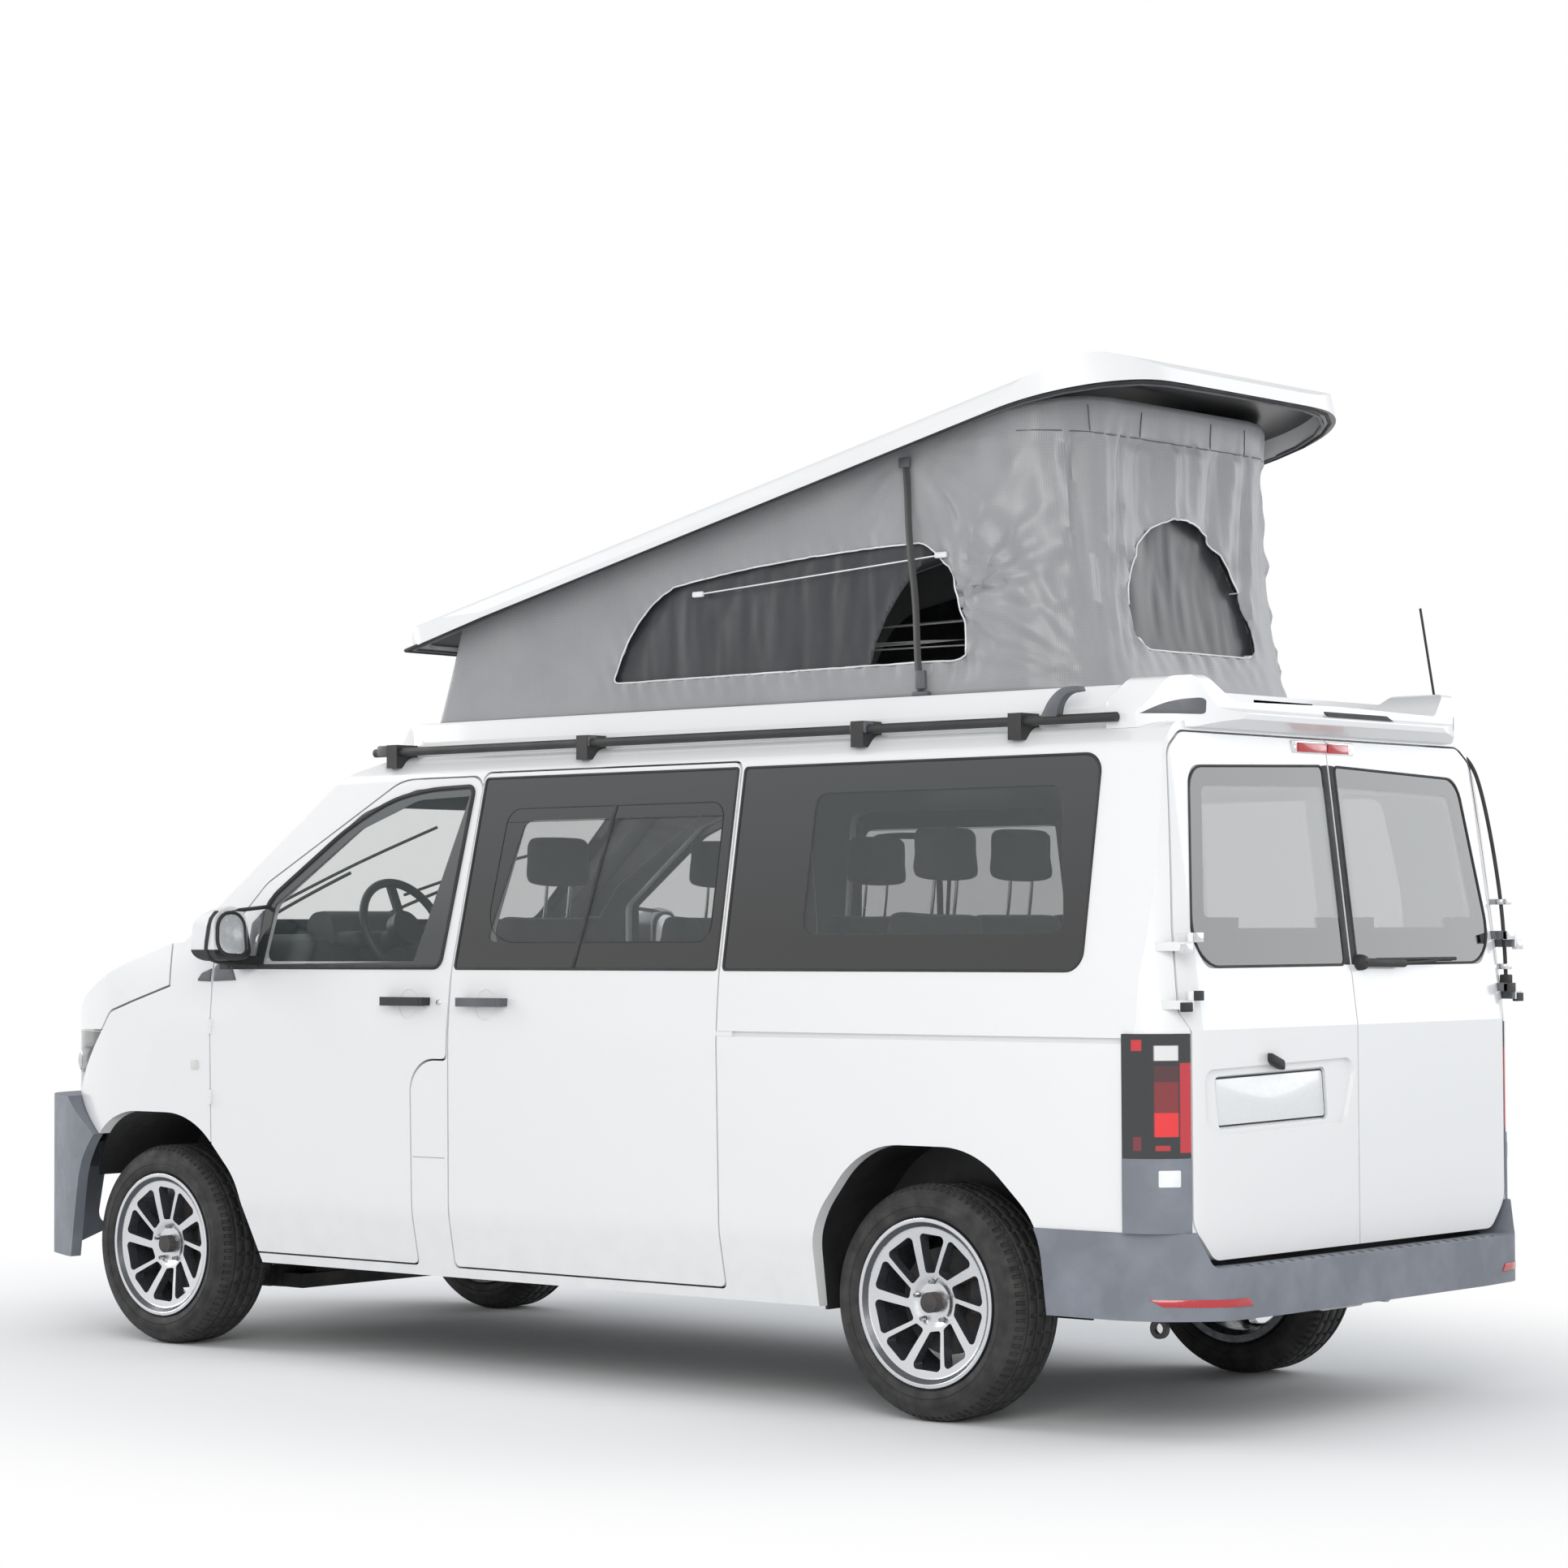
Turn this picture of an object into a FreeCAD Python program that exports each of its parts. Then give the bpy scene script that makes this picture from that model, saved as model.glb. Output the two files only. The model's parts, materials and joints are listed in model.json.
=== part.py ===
"""Camper van with a lifting roof: long wheelbase, sliding side doors and twin rear doors.

Frame: +X forward, +Y to the driver's side, +Z up, in millimetres. The origin lies on the
ground, below the middle of the van.
"""
import FreeCAD, Part
import Sketcher
import math
import os

from FreeCAD import Placement, Rotation, Vector

DIMENSIONS = (
    # name, millimetres or degrees, what it is
    ("wheelbase", 3400, "front axle to rear axle"),
    ("front_overhang", 908, "front axle to the front bumper's nose"),
    ("rear_overhang", 996, "rear axle to the rear bumper's back"),
    ("track", 1566, "left wheel centre to right wheel centre"),
    ("body_half", 952, "middle of the van to its widest skin"),
    ("sill_height", 312, "ground to the sill's underside"),
    ("rocker_height", 520, "ground to the swage line above the sill"),
    ("crease_height", 1100, "ground to the line along the flank"),
    ("belt_height", 1290, "ground to the side windows' lower edge"),
    ("glass_top", 1920, "ground to the side windows' upper edge"),
    ("gutter_height", 1955, "ground to the roof gutter"),
    ("roof_height", 2005, "ground to the steel roof"),
    ("bed_height", 2115, "ground to the roof bed that the lifting roof lies on"),
    ("floor_height", 470, "ground to the cabin floor"),
    ("wall", 45, "thickness of doors and walls"),
    ("panel_gap", 6, "gap between a door and its frame"),
    ("seat_gap", 0.3, "gap between pieces that rest on each other"),
    ("glass", 6, "thickness of the windows"),
    ("rebate", 9, "depth of the step that a window is bonded into"),
    ("crown_radius", 3567, "plan radius of the nose and windscreen's sweep"),
    ("tyre_diameter", 687, "tyre outside"),
    ("tyre_width", 235, "tyre across its sidewalls"),
    ("rim_diameter", 457, "bead seat of the rim"),
    ("hub_bore", 30, "radius of the hub's bearing bore"),
    ("nose_to_door", 1238, "front bumper to the front door's front edge"),
    ("nose_to_pillar", 2390, "front bumper to the gap between front door and sliding door"),
    ("tail_to_slider", 1747, "rear bumper to the sliding door's rear edge"),
    ("nose_to_screen", 910, "front bumper to the windscreen's foot"),
    ("corner_round", 170, "plan rounding of the rear corners"),
    ("tow_bore", 30, "eye of the rear towing loop, across"),
    ("roof_tilt", 12.9, "tilt of the lifted roof"),
    ("shell_length", 2975, "lifting roof, front to back"),
    ("shell_half", 760, "middle of the lifting roof to its side"),
    ("shell_depth", 80, "lifting roof's side, top to bottom"),
)

doc = FreeCAD.newDocument("camper_van")
sheet = doc.addObject("Spreadsheet::Sheet", "Dims")
for row, (name, value, meaning) in enumerate(DIMENSIONS, start=1):
    sheet.set(f"A{row}", meaning)
    sheet.set(f"B{row}", str(value))
    sheet.setAlias(f"B{row}", name)
doc.recompute()


# ---- sizes that remember their expression ------------------------------------------------

class Size:
    """A number with the sheet expression that gives it."""

    def __init__(self, value, text):
        self.value = value
        self.text = text

    def __add__(self, other):
        other = size(other)
        return Size(self.value + other.value, f"({self.text} + {other.text})")

    def __sub__(self, other):
        other = size(other)
        return Size(self.value - other.value, f"({self.text} - {other.text})")

    def __mul__(self, factor):
        factor = size(factor)
        return Size(self.value * factor.value, f"({self.text} * {factor.text})")

    def __neg__(self):
        return Size(-self.value, f"(0 - {self.text})")

    __radd__ = __add__
    __rmul__ = __mul__

    def __rsub__(self, other):
        return size(other) - self


def size(number):
    """A plain number as a Size; a Size stays as it is."""
    if isinstance(number, Size):
        return number
    return Size(float(number), f"({float(number):.6g})")


def dim(name):
    """The named cell of the sheet."""
    return Size(float(sheet.get(name)), f"Dims.{name}")


def bind(thing, **sizes):
    """Ties a document object's properties to the sheet."""
    for prop, length in sizes.items():
        thing.setExpression(prop.replace("_", "."), size(length).text)


D = {name: dim(name) for name, value, meaning in DIMENSIONS}
WALL = D["wall"]
GAP = D["panel_gap"]
HALF_GAP = GAP * 0.5
SEAT = D["seat_gap"]
FRONT_X = (D["wheelbase"] + D["front_overhang"] + D["rear_overhang"]) * 0.5
REAR_X = -FRONT_X
FRONT_AXLE = FRONT_X - D["front_overhang"]
REAR_AXLE = REAR_X + D["rear_overhang"]
AXLE_HEIGHT = D["tyre_diameter"] * 0.5
WHEEL_Y = D["track"] * 0.5


def nose(back):
    """A station measured back from the front bumper's nose."""
    return FRONT_X - back


def tail(ahead):
    """A station measured forward from the rear bumper's back."""
    return REAR_X + ahead


# ---- sketches, prisms and booleans -------------------------------------------------------

TURNS = {
    # plane: turn that carries the sketch's X and Y onto the plane's two axes
    "XY": Rotation(),
    "XZ": Rotation(Vector(1, 0, 0), 90),
    "YZ": Rotation(Vector(1, 1, 1), 120),
}
NORMALS = {"XY": ("z", Vector(0, 0, 1)), "XZ": ("y", Vector(0, 1, 0)), "YZ": ("x", Vector(1, 0, 0))}


def rounding(before, corner, after, radius):
    """Start, end and centre of the arc that rounds a corner."""
    inward = (before - corner).normalize()
    outward = (after - corner).normalize()
    half_angle = inward.getAngle(outward) / 2
    reach = radius / math.tan(half_angle)
    middle = (inward + outward).normalize()
    centre = corner + middle * (radius / math.sin(half_angle))
    return corner + inward * reach, corner + outward * reach, centre


def outline(name, plane, corners, body=None):
    """A closed sketch of lines, with arcs at the corners that state a rounding."""
    corners = [tuple(size(entry) for entry in (corner + (0,))[:3]) for corner in corners]
    points = [Vector(across.value, up.value, 0) for across, up, radius in corners]
    sketch = sketch_on(name, plane, body)
    draw_loop(sketch, corners, points)
    return sketch


def sketch_on(name, plane, body=None):
    """An empty sketch, free or attached to a plane of a body's own origin."""
    if body is None:
        sketch = doc.addObject("Sketcher::SketchObject", name)
        sketch.Placement = Placement(Vector(), TURNS[plane])
        return sketch
    sketch = body.newObject("Sketcher::SketchObject", name)
    for feature in body.Origin.OriginFeatures:
        if feature.Role == f"{plane}_Plane":
            sketch.AttachmentSupport = (feature, "")
    sketch.MapMode = "FlatFace"
    return sketch


def draw_loop(sketch, corners, points):
    """Adds one closed loop and the constraints that tie it to the sheet."""
    base = sketch.GeometryCount
    count = len(corners)
    ends = []
    for index, (across, up, radius) in enumerate(corners):
        point = points[index]
        if radius.value > 0:
            ends.append(rounding(points[index - 1], point, points[(index + 1) % count], radius.value))
        else:
            ends.append((point, point, None))
    for index in range(count):
        start = ends[index][1]
        finish = ends[(index + 1) % count][0]
        sketch.addGeometry(Part.LineSegment(start, finish), False)
    rules = []
    for index, (across, up, radius) in enumerate(corners):
        start, finish, centre = ends[index]
        line_in, line_out = base + (index - 1) % count, base + index
        if centre is None:
            rules.append(Sketcher.Constraint("Coincident", line_in, 2, line_out, 1))
            place(rules, line_out, 1, across, up)
            continue
        from_angle = math.atan2(start.y - centre.y, start.x - centre.x)
        to_angle = math.atan2(finish.y - centre.y, finish.x - centre.x)
        turns_left = (start - centre).cross(finish - centre).z > 0
        angles = (from_angle, to_angle) if turns_left else (to_angle, from_angle)
        circle = Part.Circle(centre, Vector(0, 0, 1), radius.value)
        arc = sketch.addGeometry(Part.ArcOfCircle(circle, *angles), False)
        first, last = (1, 2) if turns_left else (2, 1)
        peak = sketch.addGeometry(Part.Point(points[index]), True)
        rules.append(Sketcher.Constraint("Tangent", line_in, 2, arc, first))
        rules.append(Sketcher.Constraint("Tangent", arc, last, line_out, 1))
        rules.append(Sketcher.Constraint("PointOnObject", peak, 1, line_in))
        rules.append(Sketcher.Constraint("PointOnObject", peak, 1, line_out))
        place(rules, peak, 1, across, up)
        rules.append(("Radius", Sketcher.Constraint("Radius", arc, radius.value), radius))
    for rule in rules:
        if isinstance(rule, tuple):
            number = sketch.addConstraint(rule[1])
            sketch.setExpression(f"Constraints[{number}]", rule[2].text)
        else:
            sketch.addConstraint(rule)


def place(rules, geometry, end, across, up):
    """Adds the two constraints that hold a point at its place."""
    for kind, length in (("DistanceX", across), ("DistanceY", up)):
        rules.append((kind, Sketcher.Constraint(kind, -1, 1, geometry, end, length.value), length))


def prism(name, plane, corners, low, high, lean=None):
    """The solid that an outline sweeps between two stations along its plane's normal."""
    low, high = size(low), size(high)
    letter, normal = NORMALS[plane]
    sketch = outline(f"{name}_outline", plane, corners)
    bind(sketch, **{f"Placement_Base_{letter}": low})
    solid = doc.addObject("Part::Extrusion", name)
    solid.Base = sketch
    solid.DirMode = "Custom"
    solid.Dir = lean if lean else normal
    solid.Solid = True
    bind(solid, LengthFwd=high - low)
    return solid


def combined(kind, name, pieces):
    """A boolean of several pieces."""
    result = doc.addObject(kind, name)
    result.Shapes = list(pieces)
    return result


def common(name, *pieces):
    return combined("Part::MultiCommon", name, pieces)


def fused(name, *pieces):
    return combined("Part::MultiFuse", name, pieces)


def cut(name, base, *tools):
    """base without the tools."""
    for index, tool in enumerate(tools):
        result = doc.addObject("Part::Cut", name if index == len(tools) - 1 else f"{name}_{index}")
        result.Base = base
        result.Tool = tool
        base = result
    return base


def mirrored(name, source):
    """The same piece on the other side of the van."""
    twin = doc.addObject("Part::Mirroring", name)
    twin.Source = source
    twin.Normal = Vector(0, 1, 0)
    return twin


def turned(name, corners, across=0, angle=360):
    """The solid that an XZ outline sweeps round a vertical line at the given X."""
    sketch = outline(f"{name}_outline", "XZ", corners)
    solid = doc.addObject("Part::Revolution", name)
    solid.Source = sketch
    solid.Axis = Vector(0, 0, 1)
    solid.Solid = True
    solid.Angle = angle
    bind(solid, Base_x=across)
    return solid


def block(name, low, high):
    """A box between two corners."""
    low = [size(entry) for entry in low]
    high = [size(entry) for entry in high]
    box = doc.addObject("Part::Box", name)
    bind(box, Length=high[0] - low[0], Width=high[1] - low[1], Height=high[2] - low[2])
    bind(box, Placement_Base_x=low[0], Placement_Base_y=low[1], Placement_Base_z=low[2])
    return box


def rod(name, start, direction, length, radius):
    """A round bar from a point along an axis letter."""
    bar = doc.addObject("Part::Cylinder", name)
    bar.Placement = Placement(Vector(), Rotation(Vector(0, 0, 1), direction))
    start = [size(entry) for entry in start]
    bind(bar, Radius=radius, Height=length)
    bind(bar, Placement_Base_x=start[0], Placement_Base_y=start[1], Placement_Base_z=start[2])
    return bar


PIECES = {}


def piece(name, thing):
    """Names a finished sub-part; its label is its file's name."""
    thing.Label = name
    PIECES[name] = thing
    return thing


X, Y, Z = Vector(1, 0, 0), Vector(0, 1, 0), Vector(0, 0, 1)
LEFT_IN, LEFT_OUT = size(300), D["body_half"] + 200

# ---- the van's outer form ----------------------------------------------------------------

SCREEN_FOOT = nose(D["nose_to_screen"])
SCREEN_EDGE = SCREEN_FOOT - 14
HOOD_REAR = SCREEN_FOOT + 58


def section_corners(inset):
    """The van seen from behind: flank, tumblehome and roof, half of it, then its mirror."""
    body = D["body_half"] - inset
    half = (
        # across, up, rounding
        (body - 50, D["sill_height"], 0),
        (body - 10, D["rocker_height"], 300),
        (body, D["crease_height"], 900),
        (body - 14, D["belt_height"], 900),
        (body - 128, D["gutter_height"] - 20, 60),
        (body - 190, D["roof_height"] - 2 - inset, 60),
    )
    return half + tuple((-across, up, radius) for across, up, radius in reversed(half))


def inner_section_corners(inset):
    """The same form inside the walls, open at the bottom."""
    corners = list(section_corners(inset))
    across, up, radius = corners[0]
    corners[0] = (across, up - 60, radius)
    corners[-1] = (-across, up - 60, radius)
    return tuple(corners)


def nose_corners(inset):
    """Half the van's length seen from the side, swept round the crown's axis."""
    front = nose(85) - inset
    return (
        # ahead, up, rounding
        (NOSE_AXIS, D["sill_height"] - inset, 0),
        (front, D["sill_height"] - inset, 0),
        (front, size(860), 0),
        (front - 30, size(1010), 60),
        (front - 110, 1095 - inset, 110),
        (nose(377) - inset * 0.4, 1205 - inset, 500),
        (nose(582) - inset * 0.4, 1305 - inset, 900),
        (HOOD_REAR, 1388 - inset, 0),
        (SCREEN_FOOT - inset * 1.3, 1392 - inset * 0.3, 0),
        (SCREEN_FOOT - 697 - inset * 1.3, 1945 - inset * 0.3, 300),
        (SCREEN_FOOT - 982, D["roof_height"] + 20 - inset, 300),
        (NOSE_AXIS, D["roof_height"] + 20 - inset, 0),
    )


NOSE_AXIS = nose(85) - D["crown_radius"]
BACK = REAR_X + 85
RAKE = 0.126


def plan_corners(inset):
    """The van seen from above: straight flanks, tapered nose and rounded corners."""
    body = D["body_half"] + 5 - inset
    half = (
        # ahead, across, rounding
        (BACK + inset, body, D["corner_round"]),
        (nose(1052), body, 900),
        (nose(522) - inset * 0.3, body - 26, 600),
        (nose(222) - inset * 0.8, D["body_half"] - 262 - inset * 0.6, 320),
        (nose(52) - inset, size(0), 0),
    )
    ahead, across, radius = half[-1]
    mirror = tuple((ahead, -across, radius) for ahead, across, radius in reversed(half[:-1]))
    return tuple(reversed(half + mirror))


def envelope(name, inset, section):
    """The closed form of the whole van, moved inwards by inset."""
    flank = prism(f"{name}_flank", "YZ", section, REAR_X - 300, FRONT_X + 300)
    waist = size(1140)
    low_plan = prism(f"{name}_low_plan", "XY", plan_corners(inset), 0, waist)
    high_plan = prism(f"{name}_high_plan", "XY", plan_corners(inset), waist, 2400,
                      Vector(RAKE, 0, 1))
    ahead = prism(f"{name}_ahead", "XZ", (
        (NOSE_AXIS + 900, 0), (FRONT_X + 500, 0), (FRONT_X + 500, 2500), (NOSE_AXIS + 900, 2500),
    ), -1200, 1200)
    nose_plan = prism(f"{name}_nose_plan", "XY", plan_corners(inset), 0, 2400)
    crown = turned(f"{name}_nose", nose_corners(inset), NOSE_AXIS)
    behind = prism(f"{name}_behind", "XZ", (
        (REAR_X - 500, 0), (NOSE_AXIS + 900, 0), (NOSE_AXIS + 900, 2500), (REAR_X - 500, 2500),
    ), -1200, 1200)
    rear = common(f"{name}_rear", flank, behind, fused(f"{name}_plans", low_plan, high_plan))
    front = common(f"{name}_front", flank, ahead, crown, nose_plan)
    return fused(name, rear, front)



# ---- shared regions ----------------------------------------------------------------------

def side_region(name, corners):
    """A block over the left flank, shaped by an outline seen from the side."""
    return prism(name, "XZ", corners, LEFT_IN, LEFT_OUT)


def grown(corners, step):
    """An outline pushed outwards by step, measured square to each of its edges."""
    points = [Vector(size(corner[0]).value, size(corner[1]).value, 0) for corner in corners]
    area = sum(a.x * b.y - b.x * a.y for a, b in zip(points, points[1:] + points[:1]))
    outward = 1 if area > 0 else -1
    result = []
    for index, corner in enumerate(corners):
        point = points[index]
        came = (point - points[index - 1]).normalize()
        goes = (points[(index + 1) % len(points)] - point).normalize()
        first, second = Vector(came.y, -came.x, 0), Vector(goes.y, -goes.x, 0)
        mitre = (first + second) * (outward / (1 + first.dot(second)))
        result.append((corner[0] + size(step) * mitre.x, corner[1] + size(step) * mitre.y) + tuple(corner[2:]))
    return tuple(result)


DOOR_FOOT = D["sill_height"] + 34
DOOR_X = nose(D["nose_to_door"])
PILLAR_X = nose(D["nose_to_pillar"])
SLIDER_X = tail(D["tail_to_slider"])
GLASS_TOP = D["glass_top"]
BELT = D["belt_height"]
PILLAR_LEAN = 56
FLAP_X = PILLAR_X + 168
FLAP_TOP = D["crease_height"] - 89

FRONT_DOOR = (
    # ahead, up, rounding
    (FLAP_X, DOOR_FOOT, 20),
    (DOOR_X, DOOR_FOOT, 20),
    (DOOR_X, BELT + 75, 60),
    (DOOR_X - 219, BELT + 300, 150),
    (DOOR_X - 824, GLASS_TOP + 5, 220),
    (PILLAR_X - PILLAR_LEAN, GLASS_TOP + 5, 50),
    (PILLAR_X - 12, BELT, 0),
    (PILLAR_X, FLAP_TOP, 20),
    (FLAP_X, FLAP_TOP, 110),
)
SLIDING_DOOR = (
    (SLIDER_X, DOOR_FOOT, 20),
    (PILLAR_X, DOOR_FOOT, 20),
    (PILLAR_X - 12, BELT, 0),
    (PILLAR_X - PILLAR_LEAN, GLASS_TOP + 16, 30),
    (SLIDER_X, GLASS_TOP + 16, 30),
)
FRONT_ARCH = (
    # ahead of the axle, up, rounding
    (-584, 200, 0),
    (465, 200, 0),
    (380, 600, 260),
    (240, 806, 330),
    (-230, 806, 330),
    (-450, 590, 260),
)
REAR_ARCH = (
    (-500, 200, 0),
    (390, 200, 0),
    (385, 560, 260),
    (190, 800, 300),
    (-230, 800, 300),
    (-455, 590, 260),
)


def arch_corners(corners, axle, grow=0):
    """A wheel arch's outline, placed at its axle."""
    result = []
    for ahead, up, radius in corners:
        ahead = ahead + grow if ahead > 0 else ahead - grow
        up = up + grow if up > 300 else up
        result.append((axle + ahead, size(up), radius))
    return tuple(result)


def door_outline(corners, shrink):
    """A door's outline, pulled in by half the gap on each side."""
    return grown(corners, -size(shrink))


SCREEN_BASE = BELT + 95


def screen_corners(grow):
    """The windscreen seen from ahead."""
    return (
        (-(805 + grow), SCREEN_BASE - grow, 60),
        (805 + grow, SCREEN_BASE - grow, 60),
        (700 + grow, GLASS_TOP + 5 + grow, 90),
        (-(700 + grow), GLASS_TOP + 5 + grow, 90),
    )


HOOD_FOOT = size(1086)


def hood_corners(grow):
    """The hood seen from the side: its lower edge falls along the wing to the headlamp."""
    return grown((
        (HOOD_REAR - 300, size(1284), 0),
        (nose(692), size(1155), 60),
        (nose(632), HOOD_FOOT, 20),
        (FRONT_X, HOOD_FOOT, 0),
        (FRONT_X, size(1600), 0),
        (HOOD_REAR - 300, size(1600), 0),
    ), grow)


REAR_DOOR_FOOT = size(500)
ROOF_SPLIT = D["roof_height"] - 15 - WALL - 4
REAR_DOOR_TOP = D["roof_height"] - 30
REAR_DOOR_EDGE = D["body_half"] - 84


def rear_door_corners(gap):
    """The left rear door seen from behind."""
    gap = size(gap)
    return (
        (gap, REAR_DOOR_FOOT + gap, 0),
        (745 - gap, REAR_DOOR_FOOT + gap, 60),
        (836 - gap, 600 - gap, 80),
        (836 - gap, 1140 - gap, 20),
        (REAR_DOOR_EDGE - gap, 1190 - gap, 20),
        (REAR_DOOR_EDGE - 8 - gap, 1420 - gap, 300),
        (REAR_DOOR_EDGE - 58 - gap, D["gutter_height"] - 30 - gap, 60),
        (REAR_DOOR_EDGE - 125 - gap, REAR_DOOR_TOP - gap, 60),
        (gap, REAR_DOOR_TOP - gap, 0),
    )


SLIDER_GLASS = (
    (SLIDER_X + 8, BELT + 10, 12),
    (PILLAR_X - 14 - 8, BELT + 10, 12),
    (PILLAR_X - PILLAR_LEAN - 7, GLASS_TOP, 12),
    (SLIDER_X + 8, GLASS_TOP, 12),
)
SLIDER_CLEAR = (
    (SLIDER_X + 37, BELT + 75, 60),
    (PILLAR_X - 132, BELT + 75, 60),
    (PILLAR_X - 242, GLASS_TOP - 85, 60),
    (SLIDER_X + 37, GLASS_TOP - 85, 60),
)
QUARTER_GLASS = (
    (tail(389), BELT + 10, 60),
    (SLIDER_X - 12, BELT + 10, 12),
    (SLIDER_X - 12, GLASS_TOP, 12),
    (tail(389), GLASS_TOP, 60),
)
QUARTER_CLEAR = (
    (tail(462), BELT + 90, 60),
    (SLIDER_X - 95, BELT + 90, 60),
    (SLIDER_X - 95, GLASS_TOP - 85, 60),
    (tail(462), GLASS_TOP - 85, 60),
)
FRONT_GLASS = (
    (PILLAR_X - 12 + 50, BELT + 14, 30),
    (DOOR_X - 192, BELT + 14, 30),
    (DOOR_X - 229, BELT + 240, 60),
    (DOOR_X - 654, GLASS_TOP - 100, 150),
    (DOOR_X - 894, GLASS_TOP - 30, 120),
    (PILLAR_X - 20, GLASS_TOP - 22, 30),
)
REAR_GLASS = (
    (size(28), BELT + 20, 20),
    (size(740), BELT + 20, 60),
    (size(800), BELT + 110, 60),
    (size(720), GLASS_TOP - 40, 60),
    (size(28), GLASS_TOP - 20, 20),
)
REAR_CLEAR = (
    (size(75), BELT + 85, 40),
    (size(700), BELT + 85, 60),
    (size(655), GLASS_TOP - 110, 60),
    (size(75), GLASS_TOP - 95, 40),
)


outer = envelope("outer", size(0), section_corners(size(0)))
inner = envelope("inner", WALL, inner_section_corners(WALL))
shell = cut("shell", outer, inner)
lining = envelope("lining", WALL + SEAT, inner_section_corners(WALL + SEAT))
seat_skin = envelope("seat_skin", -SEAT, section_corners(-SEAT))
step_core = envelope("step_core", D["rebate"], inner_section_corners(D["rebate"]))
glass_core = envelope("glass_core", D["glass"], inner_section_corners(D["glass"]))
step_band = cut("step_band", outer, step_core)
glass_skin = cut("glass_skin", outer, glass_core)

LEFT_BAND = (500, D["body_half"] + 200)
LAMP_FOOT = size(790)
LAMP_TOP = size(1132)
LAMP_BACK = size(-2410)
TRIM_FOOT = size(585)


def hinge(name, body, door, pin, letter, length, radius=8, bore=4):
    """Barrel hinge: the lower half and the pin stay on the body, the upper half on the door."""
    axis = {"x": X, "y": Y, "z": Z}[letter]
    index = "xyz".index(letter)
    pin = [size(entry) for entry in pin]
    middle = list(pin)
    middle[index] = pin[index] + size(length) * 0.5
    half = size(length) * 0.5
    low = rod(f"{name}_low", pin, axis, half - SEAT, radius)
    low_room = rod(f"{name}_low_room", pin, axis, half, radius + 0.5)
    shaft = rod(f"{name}_pin", pin, axis, length, bore)
    high = rod(f"{name}_high", middle, axis, half, radius)
    high_room = rod(f"{name}_high_room", middle, axis, half + 1, radius + 0.5)
    bore_hole = rod(f"{name}_bore", pin, axis, size(length) + 1, bore + 0.3)
    body = fused(f"{name}_body", cut(f"{name}_body_cut", body, high_room), low, shaft)
    door = cut(f"{name}_door", fused(f"{name}_door_added", cut(f"{name}_door_cut", door, low_room),
                                     high), bore_hole)
    return body, door


# ---- body sides, doors and their windows -------------------------------------------------

def window_in(name, host, plane, clear, pane, low, high):
    """host with a window's hole and the step that its pane is bonded into."""
    hole = prism(f"{name}_hole", plane, clear, low, high)
    step = common(f"{name}_step", step_band, prism(f"{name}_bed", plane, pane, low, high))
    return cut(f"{name}_opened", host, hole, step)


def pane_for(name, plane, corners, low, high):
    """A pane cut from the glass skin, a little smaller than its step."""
    return common(name, glass_skin, prism(f"{name}_edge", plane, grown(corners, -SEAT), low, high))


def corner_band(name, low, high, depth, proud=0):
    """A strip of the rear corner between two heights, from proud of the skin to depth in it."""
    outside = prism(f"{name}_outside", "XY", plan_corners(size(-2 - proud)), low, high)
    inside = prism(f"{name}_inside", "XY", plan_corners(size(depth)), size(low) - 1, size(high) + 1)
    region = block(f"{name}_region", (REAR_X, size(842), low), (LAMP_BACK, D["body_half"] + 50, high))
    return common(name, cut(f"{name}_ring", outside, inside), region)


def rear_region(name, corners, grow):
    """What a rear door takes up: its outline, no deeper than the raked back wall."""
    depth = BACK + WALL + 125 + size(grow)
    return common(name, prism(f"{name}_outline_block", "YZ", corners, REAR_X, -2300), prism(
        f"{name}_depth", "XZ", ((REAR_X, 300, 0), (depth, 300, 0), (depth, 1700, 0),
                                (BACK + 152 + size(grow), D["gutter_height"] - 110, 0),
                                (BACK + 160 + size(grow), 2100, 0), (REAR_X, 2100, 0)), 0, 1000))


half = common("left_half", shell, block("left_half_box", (REAR_X, 5, 0),
                                        (FRONT_X, LEFT_OUT, ROOF_SPLIT)))
front_arch = prism("front_arch", "XZ", arch_corners(FRONT_ARCH, FRONT_AXLE), 400, LEFT_OUT)
rear_arch = prism("rear_arch", "XZ", arch_corners(REAR_ARCH, REAR_AXLE), 400, LEFT_OUT)
screen_opening = common("screen_opening",
                        prism("screen_hole", "YZ", screen_corners(size(0)), 500, FRONT_X),
                        rod("screen_reach", (NOSE_AXIS, 0, 900), Z, 1500, SCREEN_EDGE - NOSE_AXIS))
header_zone = block("header_zone", (DOOR_X - 814, -640, 1600), (DOOR_X - 14, 640, 2300))
open_half = cut("open_half", half, front_arch, rear_arch, screen_opening, header_zone,
                rear_region("rear_opening", rear_door_corners(-HALF_GAP), GAP),
                block("rear_bumper_zone", (REAR_X, 0, 0), (-2070, LEFT_OUT, TRIM_FOOT)),
                block("rear_valance_zone", (REAR_X, 0, 0), (-2300, 745, 900)))
fender_zone = block("fender_zone", (DOOR_X + HALF_GAP, 0, 0), (FRONT_X, LEFT_OUT, BELT + 60))


def hood_zone(name, grow):
    """What the hood takes up: its outline from above, ahead of the screen's foot."""
    above = prism(f"{name}_side", "XZ", hood_corners(grow), -1200, 1200)
    foot = rod(f"{name}_foot", (NOSE_AXIS, 0, 900), Z, 800, HOOD_REAR - NOSE_AXIS + 3 - size(grow))
    return cut(name, above, foot)


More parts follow.
